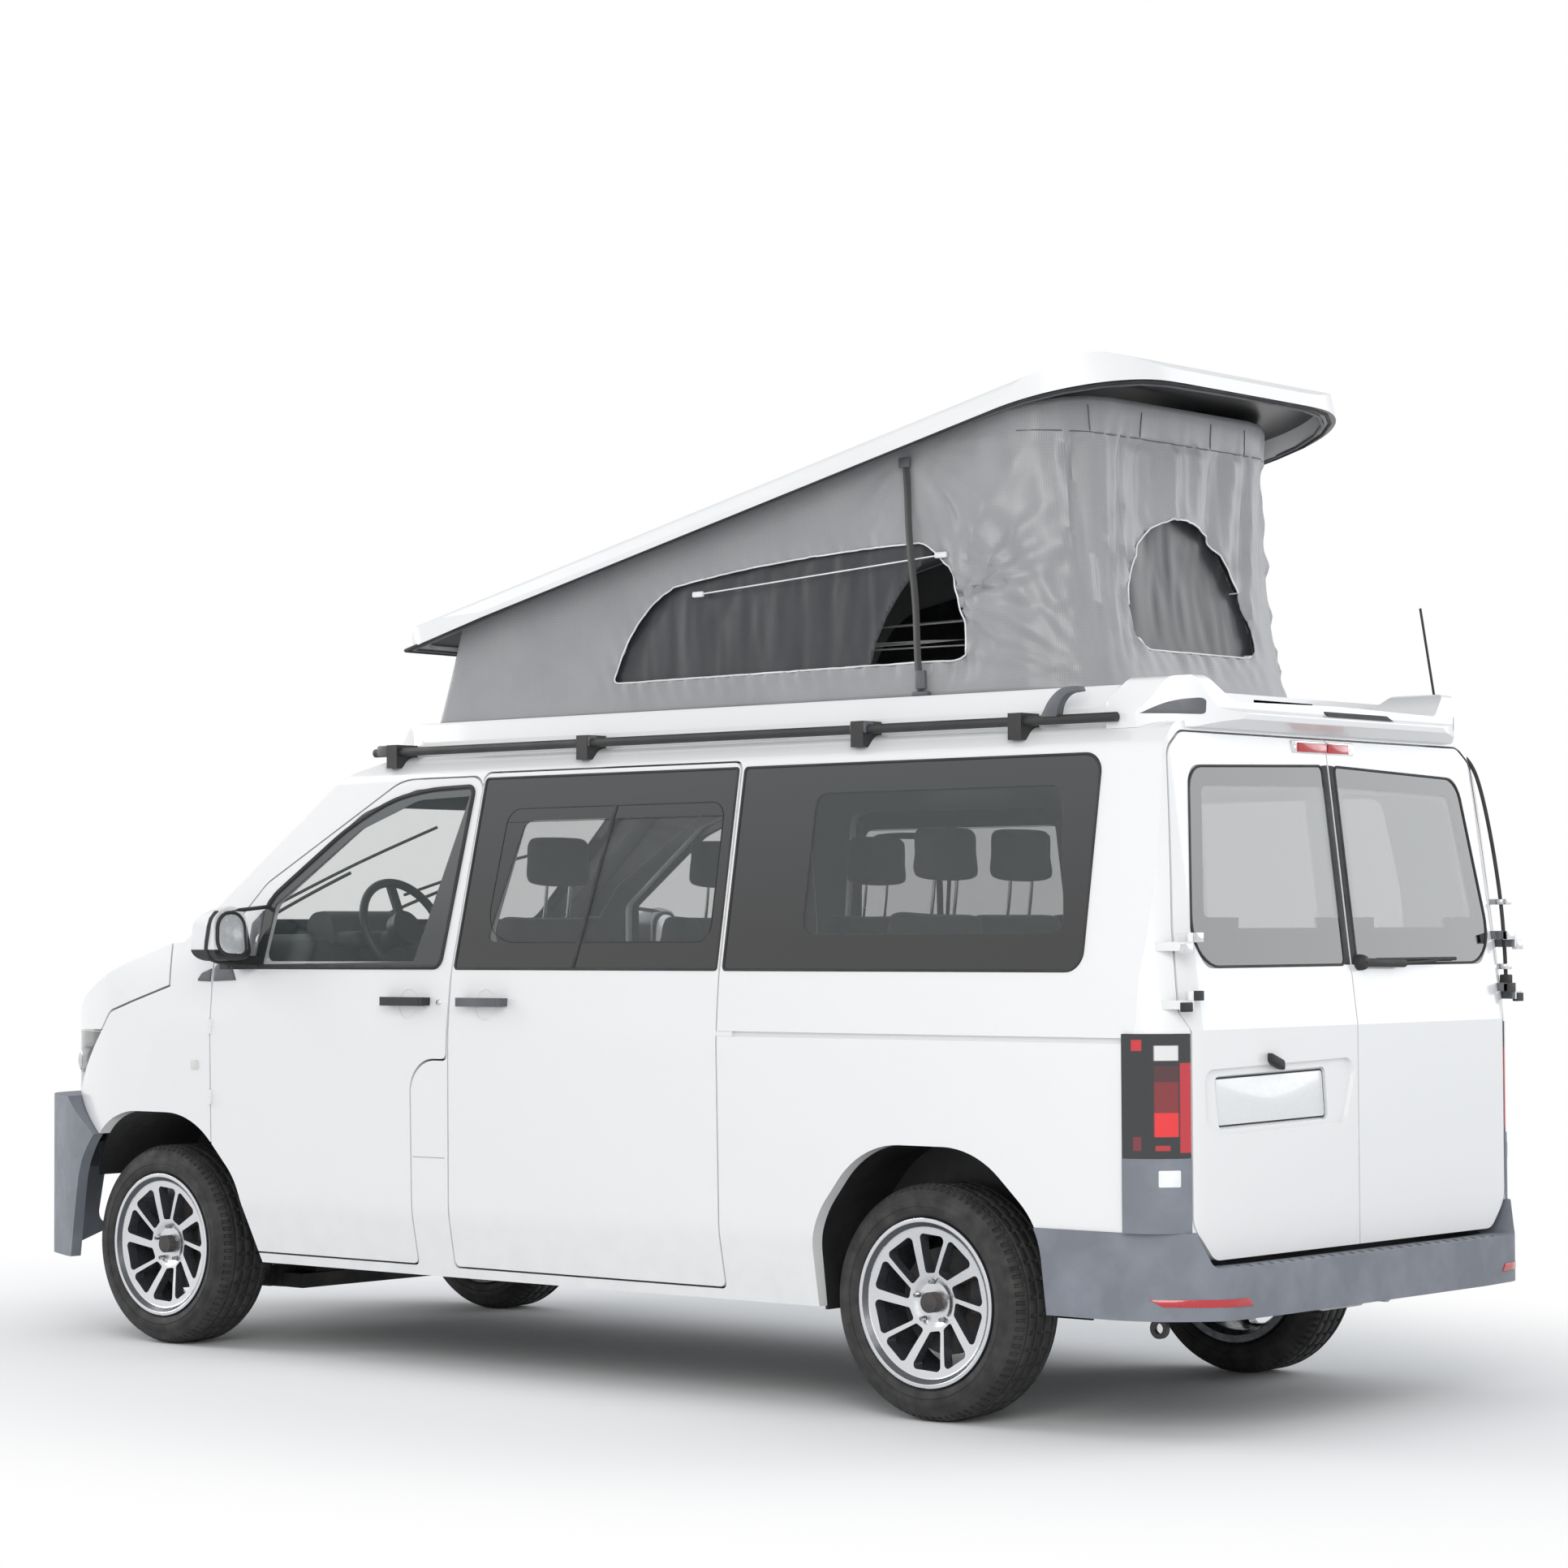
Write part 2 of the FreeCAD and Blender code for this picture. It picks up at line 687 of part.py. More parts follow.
COWL_HALF = size(850)
HOOD_GAP = 7.5
hood_room = hood_zone("hood_room", HOOD_GAP)
cowl_room = block("cowl_room", (HOOD_REAR - 300, 0, 1150),
                  (HOOD_REAR, COWL_HALF + SEAT, SCREEN_BASE + 20 + SEAT))
rail_slot = block("rail_slot", (LAMP_BACK, D["body_half"] - 16, D["crease_height"] + 4),
                  (SLIDER_X, LEFT_OUT, D["crease_height"] + 20))
side = cut("side_frame", open_half,
           side_region("front_door_hole", door_outline(FRONT_DOOR, -HALF_GAP)),
           side_region("sliding_door_hole", door_outline(SLIDING_DOOR, -HALF_GAP)),
           fender_zone, rail_slot, hood_room, cowl_room,
           block("pillar_end", (HOOD_REAR - 10, 0, 0), (FRONT_X, LEFT_OUT, 2000)),
           corner_band("lamp_pocket", TRIM_FOOT, LAMP_TOP + SEAT, 26))
side = window_in("quarter_window", side, "XZ", QUARTER_CLEAR, QUARTER_GLASS, *LEFT_BAND)
quarter_pane = pane_for("quarter_pane", "XZ", QUARTER_GLASS, *LEFT_BAND)

door_blank = common("front_door_blank", half, side_region(
    "front_door_region", door_outline(FRONT_DOOR, HALF_GAP)))
front_door = window_in("front_window", cut("front_door_arched", door_blank, front_arch), "XZ",
                       door_outline(FRONT_GLASS, 22), FRONT_GLASS, *LEFT_BAND)
front_pane = pane_for("front_pane", "XZ", FRONT_GLASS, *LEFT_BAND)

slide_blank = common("sliding_door_blank", half, side_region(
    "sliding_door_region", door_outline(SLIDING_DOOR, HALF_GAP)))
carriage = block("slide_carriage", (SLIDER_X - 60, D["body_half"] - 16 + SEAT, D["crease_height"] + 4 + SEAT),
                 (SLIDER_X + 12, D["body_half"] - 4, D["crease_height"] + 20 - SEAT))
sliding_door = window_in("slide_window", fused("slide_with_carriage", slide_blank, carriage), "XZ",
                         SLIDER_CLEAR, SLIDER_GLASS, *LEFT_BAND)
slide_pane = pane_for("slide_pane", "XZ", SLIDER_GLASS, *LEFT_BAND)

# ---- nose --------------------------------------------------------------------------------

HEADLAMP_IN = size(560)
BUMPER_TOP = size(846)


def bumper_side_corners(grow):
    """The front bumper seen from the left, with the slope under the headlamp."""
    grow = size(grow)
    return (
        (FRONT_AXLE + 150, size(200), 0),
        (FRONT_X + 50, size(200), 0),
        (FRONT_X + 50, BUMPER_TOP + grow, 0),
        (nose(420) - grow * 0.5, BUMPER_TOP + grow, 0),
        (FRONT_AXLE + 150, size(628) + grow, 0),
    )


hood = common("hood_panel", cut("whole_nose", shell, screen_opening), hood_zone("hood_zone", 0))
bumper_room = prism("bumper_room", "XZ", bumper_side_corners(3), -1200, 1200)
lamp_edges = ((nose(634), HOOD_FOOT - 8), (nose(398), BUMPER_TOP + 2), (FRONT_X, BUMPER_TOP + 2),
              (FRONT_X, HOOD_FOOT - 8))
lamp_region = prism("headlamp_region", "XZ", lamp_edges, HEADLAMP_IN, LEFT_OUT)
lamp_room = prism("headlamp_room", "XZ", lamp_edges, HEADLAMP_IN - 5, LEFT_OUT)
grille_region = block("grille_region", (nose(352), SEAT - HEADLAMP_IN, BUMPER_TOP + 2),
                      (FRONT_X, HEADLAMP_IN - SEAT, HOOD_FOOT - 8))
cowl_region = cut("cowl_region", block("cowl_box", (HOOD_REAR - 300, -COWL_HALF, 1150),
                                       (HOOD_REAR, COWL_HALF, SCREEN_BASE + 20)),
                  screen_opening)
cowl_keep = rod("cowl_keep", (NOSE_AXIS, 0, 900), Z, 800, HOOD_REAR - NOSE_AXIS - 3)
fender = cut("fender_panel", common("fender_half", half, fender_zone), front_arch, hood_room,
             bumper_room, lamp_room, grille_region, screen_opening, cowl_room)
lamp = common("headlamp_glass", half, lamp_region)
grille = common("grille_blank", shell, grille_region)
cowl = cut("cowl_panel", common("cowl_whole", shell, cowl_region),
           cut("cowl_ahead", block("cowl_front", (HOOD_REAR - 400, -900, 1100), (HOOD_REAR + 200, 900, 1600)),
               cowl_keep))


def bumper_plan(grow):
    """The front bumper seen from above; grow moves its skin outwards."""
    grow = size(grow)
    half_plan = (
        (FRONT_AXLE + 100, D["body_half"] + 5 + grow, 0),
        (nose(492), D["body_half"] - 6 + grow, 500),
        (nose(128) + grow, D["body_half"] - 190 + grow * 0.8, 300),
        (FRONT_X - 30 + grow, 420 + grow * 0.3, 500),
        (FRONT_X + grow, size(150), 500),
    )
    return tuple(reversed(half_plan)) + tuple((ahead, -across, radius)
                                              for ahead, across, radius in half_plan)


BEAM_X = nose(212)


def make_front_bumper():
    """Nose bumper: a wrapped skin with an air intake and the beam that carries it."""
    skin = cut("bumper_skin", prism("bumper_out", "XY", bumper_plan(0), 250, BUMPER_TOP),
               prism("bumper_in", "XY", bumper_plan(-42), 200, 790),
               prism("bumper_ledge", "XY", bumper_plan(-110), 780, 900))
    sides = prism("bumper_side", "XZ", (
        (FRONT_AXLE + 150, size(286), 0), (nose(172), 276, 0), (FRONT_X + 10, 400, 90),
        (FRONT_X + 10, 640, 200), (FRONT_X - 35, BUMPER_TOP, 0), (nose(420), BUMPER_TOP, 0),
        (FRONT_AXLE + 150, 628, 0)), -1200, 1200)
    intake = prism("bumper_intake", "YZ", ((-520, 360, 40), (520, 360, 40), (470, 560, 40),
                                           (-470, 560, 40)), nose(252), FRONT_X + 100)
    shaped = cut("bumper_shaped", common("bumper_wrap", skin, sides), intake, front_arch,
                 mirrored("front_arch_right", front_arch))
    beam = block("bumper_beam", (BEAM_X, -600, 575), (nose(62), 600, 665))
    return fused("front_bumper", shaped, common("beam_fit", beam, sides))


def rear_plan(grow):
    """The rear bumper seen from above."""
    grow = size(grow)
    half_plan = (
        (REAR_AXLE - 200, D["body_half"] - 4 + grow, 0),
        (tail(172) - grow * 0.4, D["body_half"] - 2 + grow, 300 + grow),
        (REAR_X + 16 - grow, D["body_half"] - 175 + grow * 0.6, 140),
        (REAR_X - grow, size(560), 200),
    )
    return half_plan + tuple((ahead, -across, radius) for ahead, across, radius in reversed(half_plan))


def make_rear_bumper():
    """Rear bumper with raised corners and a step between them."""
    skin = cut("step_skin", prism("step_out", "XY", rear_plan(0), 344, TRIM_FOOT - SEAT),
               prism("step_in", "XY", rear_plan(-92), 300, 700))
    dip = prism("step_dip", "YZ", ((-805, 486, 30), (805, 486, 30), (865, 640, 0), (-865, 640, 0)),
                REAR_X - 50, -2300)
    return cut("rear_bumper", skin, dip, rear_arch, mirrored("rear_arch_right", rear_arch))


def make_roof():
    """Steel roof with the screen header, and the bed that the lifting roof lies on."""
    openings = rear_region("rear_opening_both", rear_door_corners(-HALF_GAP), GAP)
    top = common("roof_top", shell, block("roof_box", (REAR_X, -1000, ROOF_SPLIT),
                                          (FRONT_X, 1000, 2200)))
    header = cut("header", common("header_blank", shell, block(
        "header_box", (DOOR_X - 814, -640, 1600), (DOOR_X - 14, 640, ROOF_SPLIT))), screen_opening)
    hatch = block("hatch", (-1950, -560, 1800), (520, 560, 2400))
    frame = cut("roof_frame", fused("roof_and_header", top, header), openings,
                mirrored("rear_opening_right", openings), hatch)
    plan = prism("bed_plan", "XY", (
        (-2235, -735, 60), (640, -735, 260), (960, -520, 300), (1040, 0, 900),
        (960, 520, 300), (640, 735, 260), (-2235, 735, 60)), 1900, D["bed_height"])
    slope = prism("bed_slope", "XZ", (
        (-2300, 1900, 0), (1050, 1900, 0), (1000, 1990, 60), (640, D["bed_height"], 200),
        (-2300, D["bed_height"], 0)), -900, 900)
    drafted = prism("bed_section", "YZ", (
        (-745, 1900, 0), (745, 1900, 0), (735, 2050, 0), (700, D["bed_height"] + 10, 30),
        (-700, D["bed_height"] + 10, 30), (-735, 2050, 0)), -2300, 1100)
    brackets = []
    for side_name, sign in (("left", 1), ("right", -1)):
        for joint_name, ahead, across, top_z in (("front", 187, 530, 2150), ("lift", -900, 614, 2150)):
            low_y, high_y = sorted((sign * across, sign * (across + 31)))
            name = f"{joint_name}_bracket_{side_name}"
            post = block(name, (ahead - 24, low_y, 2040), (ahead + 24, high_y, top_z))
            pin_y = sign * across if sign < 0 else across - 26
            pin = rod(f"{name}_pin", (ahead, pin_y, 2140), Y, 27, 6)
            brackets += [post, pin]
    bed = fused("roof_bed", cut("bed_blank", common("bed_form", plan, slope, drafted), seat_skin, hatch),
                *brackets)
    return frame, bed


roof_frame, roof_bed = make_roof()
front_bumper = make_front_bumper()
rear_bumper = make_rear_bumper()

rear_prism = rear_region("rear_door_region", rear_door_corners(HALF_GAP), 0)
split_relief = prism("split_relief", "XZ", (
    (BACK + 12, 300, 0), (BACK + 12, 1140, 0), (BACK + 117, REAR_DOOR_TOP, 0),
    (BACK + 125, REAR_DOOR_TOP + 60, 0), (BACK + 260, REAR_DOOR_TOP + 60, 0),
    (BACK + 260, 300, 0)), -5, 9)
rear_door = window_in("rear_window", cut("rear_door_blank", common("rear_door_form", shell, rear_prism),
                                         split_relief), "YZ", REAR_CLEAR, REAR_GLASS, REAR_X, -2300)
rear_pane = pane_for("rear_pane", "YZ", REAR_GLASS, REAR_X, -2300)

PIN_X = BACK - 14
PIN_Y = REAR_DOOR_EDGE


def rear_hinge(name, body, door, foot):
    """An outside hinge of a rear door: an arm from each side to the pin behind the gap."""
    middle = size(foot) + 25
    top = middle + 25
    below = middle - SEAT
    door_arm = fused(f"{name}_door_arm",
                     block(f"{name}_door_leaf", (PIN_X - 6, PIN_Y - 50, middle), (PIN_X + 6, PIN_Y, top)),
                     block(f"{name}_door_foot", (PIN_X, PIN_Y - 50, middle), (PIN_X + 70, PIN_Y - 20, top)))
    body_arm = fused(f"{name}_body_arm",
                     block(f"{name}_body_leaf", (PIN_X - 6, PIN_Y, foot), (PIN_X + 6, PIN_Y + 38, below)),
                     block(f"{name}_body_foot", (PIN_X, PIN_Y + 18, foot),
                           (PIN_X + 105, PIN_Y + 38, below)))
    return hinge(name, fused(f"{name}_body_with", body, body_arm),
                 fused(f"{name}_door_with", door, door_arm), (PIN_X, PIN_Y, foot), "z", 50, 9)


side, rear_door = rear_hinge("rear_hinge_high", side, rear_door, 1360)
side, rear_door = rear_hinge("rear_hinge_low", side, rear_door, 1200)
plate_recess = fused(
    "plate_recess",
    prism("plate_surround", "YZ", ((70, 858, 40), (690, 846, 40), (775, 880, 30), (785, 1030, 40),
                                   (40, 1046, 40), (20, 1000, 30)), BACK - 5, BACK + 12),
    prism("plate_pocket", "YZ", ((145, 872, 20), (700, 862, 20), (722, 1010, 20), (160, 1022, 20)),
          BACK - 5, BACK + 24))
fender, front_door = hinge("front_hinge_low", fender, front_door,
                           (DOOR_X, D["body_half"] - 1, 840), "z", 50)
fender, front_door = hinge("front_hinge_high", fender, front_door,
                           (DOOR_X, D["body_half"] - 1, 1080), "z", 50)
HOOD_PIN_X = NOSE_AXIS + math.sqrt((HOOD_REAR - NOSE_AXIS).value ** 2 - 700 ** 2)
for side_name, start in (("left", 640), ("right", -680)):
    cowl, hood = hinge(f"hood_hinge_{side_name}", cowl, hood, (HOOD_PIN_X, start, 1388), "y", 40)

lamp_blank = corner_band("tail_lamp", LAMP_FOOT + SEAT, LAMP_TOP, 25, 0)
trim_blank = corner_band("corner_trim", TRIM_FOOT, LAMP_FOOT, 25, 1)

for name, left in (("body_side", side), ("front_door", front_door),
                   ("front_door_glass", front_pane), ("rear_door_glass", rear_pane)):
    piece(f"{name}_left", left)
    piece(f"{name}_right", mirrored(f"{name}_mirror", left))
piece("rear_door_left", cut("rear_door_recessed", rear_door, plate_recess))
piece("rear_door_right", mirrored("rear_door_mirror", rear_door))


def pair(name, left):
    """Both sides' copies of a piece in one node."""
    both = doc.addObject("Part::Compound", f"{name}_pair")
    both.Links = [left, mirrored(f"{name}_mirror", left)]
    return piece(name, both)


pair("front_fenders", fender)
pair("sliding_doors", sliding_door)
side_panes = doc.addObject("Part::Compound", "side_panes")
side_panes.Links = [quarter_pane, slide_pane]
pair("side_glass", side_panes)
pair("headlamps", lamp)
pair("tail_lamps", lamp_blank)
pair("corner_trims", trim_blank)
piece("hood", hood)
piece("cowl", cowl)
piece("grille", grille)
piece("windscreen", common(
    "windscreen_pane", glass_skin, prism("windscreen_edge", "YZ", screen_corners(-SEAT), 500, FRONT_X),
    rod("windscreen_reach", (NOSE_AXIS, 0, 900), Z, 1500, SCREEN_EDGE - NOSE_AXIS - SEAT)))
piece("roof_frame", roof_frame)
piece("roof_bed", roof_bed)
piece("front_bumper", front_bumper)
piece("rear_bumper", rear_bumper)


# ---- floor, bulkhead and wheel houses ----------------------------------------------------

FLOOR = D["floor_height"]
FLOOR_HALF = D["body_half"] - 84
HOUSE_IN_FRONT = WHEEL_Y - 351
HOUSE_IN_REAR = WHEEL_Y - 153
BULKHEAD_X = DOOR_X - 234


def wheel_house(name, corners, axle, inner_wall, rim):
    """The liner over a wheel: an arch-shaped skin with a wall on the inboard side."""
    outside = prism(f"{name}_outside", "XZ", arch_corners(corners, axle, 8), inner_wall, rim)
    inside = prism(f"{name}_inside", "XZ", arch_corners(corners, axle), inner_wall + 8, rim + 5)
    skirt = block(f"{name}_skirt", (REAR_X, 0, 0), (FRONT_X, 1200, 300))
    return cut(name, outside, inside, skirt)


def house_room(name, corners, axle, inner_wall):
    """The space a wheel house takes up, with a seat gap round it."""
    return prism(name, "XZ", arch_corners(corners, axle, 8 + SEAT), inner_wall - SEAT, 1200)


front_room = house_room("front_house_room", FRONT_ARCH, FRONT_AXLE, HOUSE_IN_FRONT)
rear_room = house_room("rear_house_room", REAR_ARCH, REAR_AXLE, HOUSE_IN_REAR)
rooms = (front_room, mirrored("front_house_room_right", front_room),
         rear_room, mirrored("rear_house_room_right", rear_room))


RAIL_FOOT = FLOOR - 82
RAIL_OUT = HOUSE_IN_FRONT - 16
RAIL_IN = RAIL_OUT - 74


def make_floor():
    """Ribbed floor, sill beams and the chassis rails that run on to the nose."""
    parts = [block("floor_plate", (-2505, -FLOOR_HALF, FLOOR - 30), (BULKHEAD_X + 25, FLOOR_HALF, FLOOR))]
    for number in range(9):
        ahead = -2380 + number * 420
        parts.append(block(f"floor_rib_{number}", (ahead, -FLOOR_HALF, FLOOR - 70),
                           (ahead + 50, FLOOR_HALF, FLOOR - 29)))
    for side_name, sign in (("left", 1), ("right", -1)):
        low_y, high_y = (RAIL_IN, RAIL_OUT) if sign > 0 else (-RAIL_OUT, -RAIL_IN)
        parts.append(block(f"chassis_rail_{side_name}", (-2500, low_y, RAIL_FOOT),
                           (BEAM_X - 20, high_y, FLOOR - 25)))
        parts.append(block(f"rail_end_{side_name}", (BEAM_X - 90, low_y, RAIL_FOOT),
                           (BEAM_X - SEAT, high_y, 665)))
        low_y, high_y = sorted((sign * 700, sign * 862))
        parts.append(block(f"sill_beam_{side_name}", (-1200, low_y, D["sill_height"] + 4),
                           (BULKHEAD_X, high_y, FLOOR - 29)))
    whole = fused("floor_blank", *parts)
    behind = cut("floor_behind", block("floor_rear_box", (REAR_X, -1000, 300), (-2070, 1000, 600)),
                 prism("floor_rear_plan", "XY", rear_plan(-92.7), 200, 700))
    tunnel = block("exhaust_tunnel", (-2500, PIPE_Y - 32, 300), (1400, PIPE_Y + 32, FLOOR - 29.5))
    return cut("floor_pan", common("floor_fit", whole, lining), behind, tunnel, *rooms)


PIPE_Y = size(-180)
PIPE_Z = FLOOR - 57


def bulkhead_corners(thick):
    """The bulkhead seen from the side: toe board, wall and the shelf under the screen."""
    return (
        (BULKHEAD_X, FLOOR + SEAT, 0),
        (BULKHEAD_X + thick, FLOOR + SEAT, 0),
        (BULKHEAD_X + thick, 650, 40),
        (DOOR_X + 26 + thick, 880, 40),
        (DOOR_X + 26 + thick, 1150, 60),
        (SCREEN_FOOT - 72, 1240, 60),
        (SCREEN_FOOT - 52, 1322, 0),
        (SCREEN_FOOT - 52 - thick, 1322, 0),
        (SCREEN_FOOT - 87, 1258, 50),
        (DOOR_X + 26, 1170, 60),
        (DOOR_X + 26, 895, 50),
        (BULKHEAD_X, 665, 50),
    )


def make_bulkhead():
    """The wall between cab and engine bay, from the floor up to the cowl."""
    plate = prism("bulkhead_plate", "XZ", bulkhead_corners(20), -FLOOR_HALF, FLOOR_HALF)
    doors = [block(f"bulkhead_door_{side_name}", (DOOR_X - 414, low, 300), (DOOR_X + GAP, high, 1400))
             for side_name, low, high in (("left", FLOOR_HALF, 1000), ("right", -1000, -FLOOR_HALF))]
    return cut("bulkhead", common("bulkhead_fit", plate, lining), cowl_region, *doors, *rooms)


def make_houses():
    """All four wheel houses."""
    houses = []
    for name, corners, axle, inner_wall in (
            ("front_house", FRONT_ARCH, FRONT_AXLE, HOUSE_IN_FRONT),
            ("rear_house", REAR_ARCH, REAR_AXLE, HOUSE_IN_REAR)):
        liner = wheel_house(name, corners, axle, inner_wall, size(930))
        fitted = common(f"{name}_fit", liner, lining)
        if name == "front_house":
            fitted = cut(f"{name}_clear", fitted,
                         block("arm_window", (FRONT_AXLE - 60, HOUSE_IN_FRONT - 22, 0),
                               (FRONT_AXLE + 60, HOUSE_IN_FRONT + 38, 560)),
                         block("door_sweep", (DOOR_X - 414, FLOOR_HALF - 6, 0), (DOOR_X + GAP, 1000, 2000)),
                         block("bumper_sweep", (nose(522), 0, 0), (FRONT_X, 1200, 700)))
        else:
            fitted = cut(f"{name}_clear", fitted,
                         block("beam_window", (REAR_AXLE - 60, HOUSE_IN_REAR - 15, 0),
                               (REAR_AXLE + 60, HOUSE_IN_REAR + 45, 400)),
                         block("step_sweep", (REAR_X, 0, 0), (-2070, 1200, TRIM_FOOT + 5)))
        houses += [fitted, mirrored(f"{name}_right", fitted)]
    both = doc.addObject("Part::Compound", "houses")
    both.Links = houses
    return both


piece("floor_pan", make_floor())
piece("bulkhead", make_bulkhead())
piece("wheel_houses", make_houses())

# ---- cabin -------------------------------------------------------------------------------

DASH_X = DOOR_X - 164
WHEEL_AT = (DOOR_X - 378, 400, 1431)
WHEEL_LEAN = math.degrees(math.atan2(1, 0.45))
COLUMN_DIR = Vector(1, 0, -0.45).normalize()


def on_column(reach):
    """A point on the steering column's axis, so far ahead of the steering wheel."""
    return tuple(start + reach * step for start, step in zip(WHEEL_AT, COLUMN_DIR))


def make_dashboard():
    """Dash top, binnacle and the column that carries the steering wheel."""
    panel = prism("dash_panel", "XZ", (
        (DASH_X, 1010, 50), (DASH_X + 150, 1040, 60), (DASH_X + 220, 1130, 0), (SCREEN_FOOT - 22, 1200, 0),
        (SCREEN_FOOT - 22, 1331, 0), (DASH_X + 350, 1336, 60), (DASH_X + 80, 1420, 60),
        (DASH_X - 15, 1390, 60), (DASH_X - 35, 1180, 120)), 6 - FLOOR_HALF, FLOOR_HALF - 6)
    hood_over = prism("binnacle", "XZ", (
        (DASH_X - 35, 1380, 20), (DASH_X + 130, 1380, 20), (DASH_X + 100, 1490, 60),
        (DASH_X - 5, 1500, 40)), 245, 555)
    console = prism("centre_console", "XZ", (
        (DASH_X - 70, 800, 40), (DASH_X + 90, 800, 40), (DASH_X + 90, 1100, 20),
        (DASH_X - 15, 1210, 40)), -170, 170)
    column = rod("column", on_column(26), COLUMN_DIR, 230, 32)
    shaft = rod("column_shaft", on_column(10), COLUMN_DIR, 20, 11)
    whole = fused("dash_blank", panel, hood_over, console, column, shaft)
    bulkhead_skin = prism("bulkhead_room", "XZ", bulkhead_corners(20), -900, 900)
    ahead = prism("bulkhead_ahead", "XZ", (
        (DOOR_X + 26, 500, 0), (HOOD_REAR + 200, 500, 0), (HOOD_REAR + 200, 1500, 0),
        (SCREEN_FOOT - 72 - SEAT, 1500, 0), (SCREEN_FOOT - 72 - SEAT, 1322, 0), (SCREEN_FOOT - 88, 1258, 50),
        (DOOR_X + 26 - SEAT, 1170 + SEAT, 60)), -900, 900)
    return cut("dashboard", common("dash_fit", whole, lining), bulkhead_skin, ahead,
               block("dash_sweep_left", (DOOR_X - 514, FLOOR_HALF, 0), (DOOR_X + 5, 1000, 2000)),
               block("dash_sweep_right", (DOOR_X - 514, -1000, 0), (DOOR_X + 5, -FLOOR_HALF, 2000)))


def seat_corners(ahead):
    """A seat from the side: cushion, back and head restraint, as one soft outline."""
    cushion = FLOOR + 330
    return (
        # ahead, up, rounding
        (ahead - 60, cushion, 40),
        (ahead + 440, cushion + 20, 50),
        (ahead + 450, cushion + 150, 60),
        (ahead + 110, cushion + 130, 60),
        (ahead - 30, cushion + 700, 50),
        (ahead - 150, cushion + 690, 50),
        (ahead - 120, cushion + 200, 200),
    )


def make_seat(name, ahead, across, width):
    """Cushion, back and head restraint of one seat."""
    low, high = size(across) - width / 2, size(across) + width / 2
    cushion = prism(f"{name}_form", "XZ", seat_corners(size(ahead)), low, high)
    rest = prism(f"{name}_rest", "XZ", (
        (ahead - 165, 1560, 50), (ahead - 50, 1570, 50), (ahead - 62, 1750, 40),
        (ahead - 150, 1745, 40)), size(across) - 135, size(across) + 135)
    posts = block(f"{name}_posts", (ahead - 110, across - 60, 1480), (ahead - 90, across + 60, 1600))
    return fused(name, cushion, rest, posts)


def make_seats(name, places):
    """Seats of one row in one node."""
    row = doc.addObject("Part::Compound", name)
    row.Links = [make_seat(f"{name}_{number}", *place_of) for number, place_of in enumerate(places)]
    return row


def make_seat_bases():
    """The boxes and rails that carry the seats."""
    bases = doc.addObject("Part::Compound", "seat_bases")
    boxes = []
    for number, (ahead, across, width) in enumerate(SEATS):
        boxes.append(prism(f"seat_box_{number}", "XZ", (
            (ahead - 80, FLOOR + SEAT, 0), (ahead + 380, FLOOR + SEAT, 0),
            (ahead + 340, FLOOR + 330 + 16 - SEAT, 0), (ahead - 20, FLOOR + 330 + 1.6 - SEAT, 0)),
            across - width / 2 + 40, across + width / 2 - 40))
    bases.Links = boxes
    return bases


FRONT_SEATS = ((DOOR_X - 1014, 400, 500), (DOOR_X - 1014, -400, 500))
REAR_SEATS = ((PILLAR_X - 592, -380, 480), (REAR_AXLE + 426, 0, 1220))
SEATS = FRONT_SEATS + REAR_SEATS
piece("dashboard", make_dashboard())
piece("seats", make_seats("seats", SEATS))
piece("seat_bases", make_seat_bases())


def spun(name, corners):
    """A body turned round its own Y axis from a profile of radius against width."""
    body = doc.addObject("PartDesign::Body", name)
    profile = outline(f"{name}_profile", "XY", corners, body)
    doc.recompute([body, profile])
    turn = body.newObject("PartDesign::Revolution", f"{name}_turn")
    turn.Profile = profile
    turn.ReferenceAxis = (profile, ["V_Axis"])
    turn.Angle = 360
    profile.Visibility = False
    body.Tip = turn
    return body


def placed(name, source, ahead, across, up, turn=Rotation()):
    """A copy of a finished form at its place on the van."""
    copy = doc.addObject("Part::Compound", name)
    copy.Links = [source]
    copy.Placement = Placement(Vector(), turn)
    bind(copy, Placement_Base_x=ahead, Placement_Base_y=across, Placement_Base_z=up)
    return copy


def make_steering_wheel():
    """Rim, hub and three spokes, facing the driver."""
    rim = doc.addObject("Part::Torus", "steering_rim")
    rim.Radius1 = 178
    rim.Radius2 = 15
    hub = doc.addObject("Part::Cylinder", "steering_hub")
    hub.Radius = 62
    hub.Height = 42
    hub.Placement = Placement(Vector(0, 0, -20), Rotation())
    spokes = []
    for number, angle in enumerate((0, 180, 270)):
        spoke = doc.addObject("Part::Box", f"steering_spoke_{number}")
        spoke.Length, spoke.Width, spoke.Height = 135, 34, 14
        spoke.Placement = Placement(Vector(), Rotation(Vector(0, 0, 1), angle)) * Placement(
            Vector(40, -17, -7), Rotation())
        spokes.append(spoke)
    socket = doc.addObject("Part::Cylinder", "steering_socket")
    socket.Radius = 11.3
    socket.Height = 15
    socket.Placement = Placement(Vector(0, 0, -21), Rotation())
    wheel = cut("steering_form", fused("steering_blank", rim, hub, *spokes), socket)
    lean = Rotation(Vector(0, 1, 0), -WHEEL_LEAN)
    return placed("steering_wheel", wheel, *(size(entry) for entry in WHEEL_AT), lean)


piece("steering_wheel", make_steering_wheel())

# ---- wheels, hubs and running gear -------------------------------------------------------

TYRE_R = D["tyre_diameter"] * 0.5
TYRE_HALF = D["tyre_width"] * 0.5
RIM_R = D["rim_diameter"] * 0.5
BORE = D["hub_bore"]


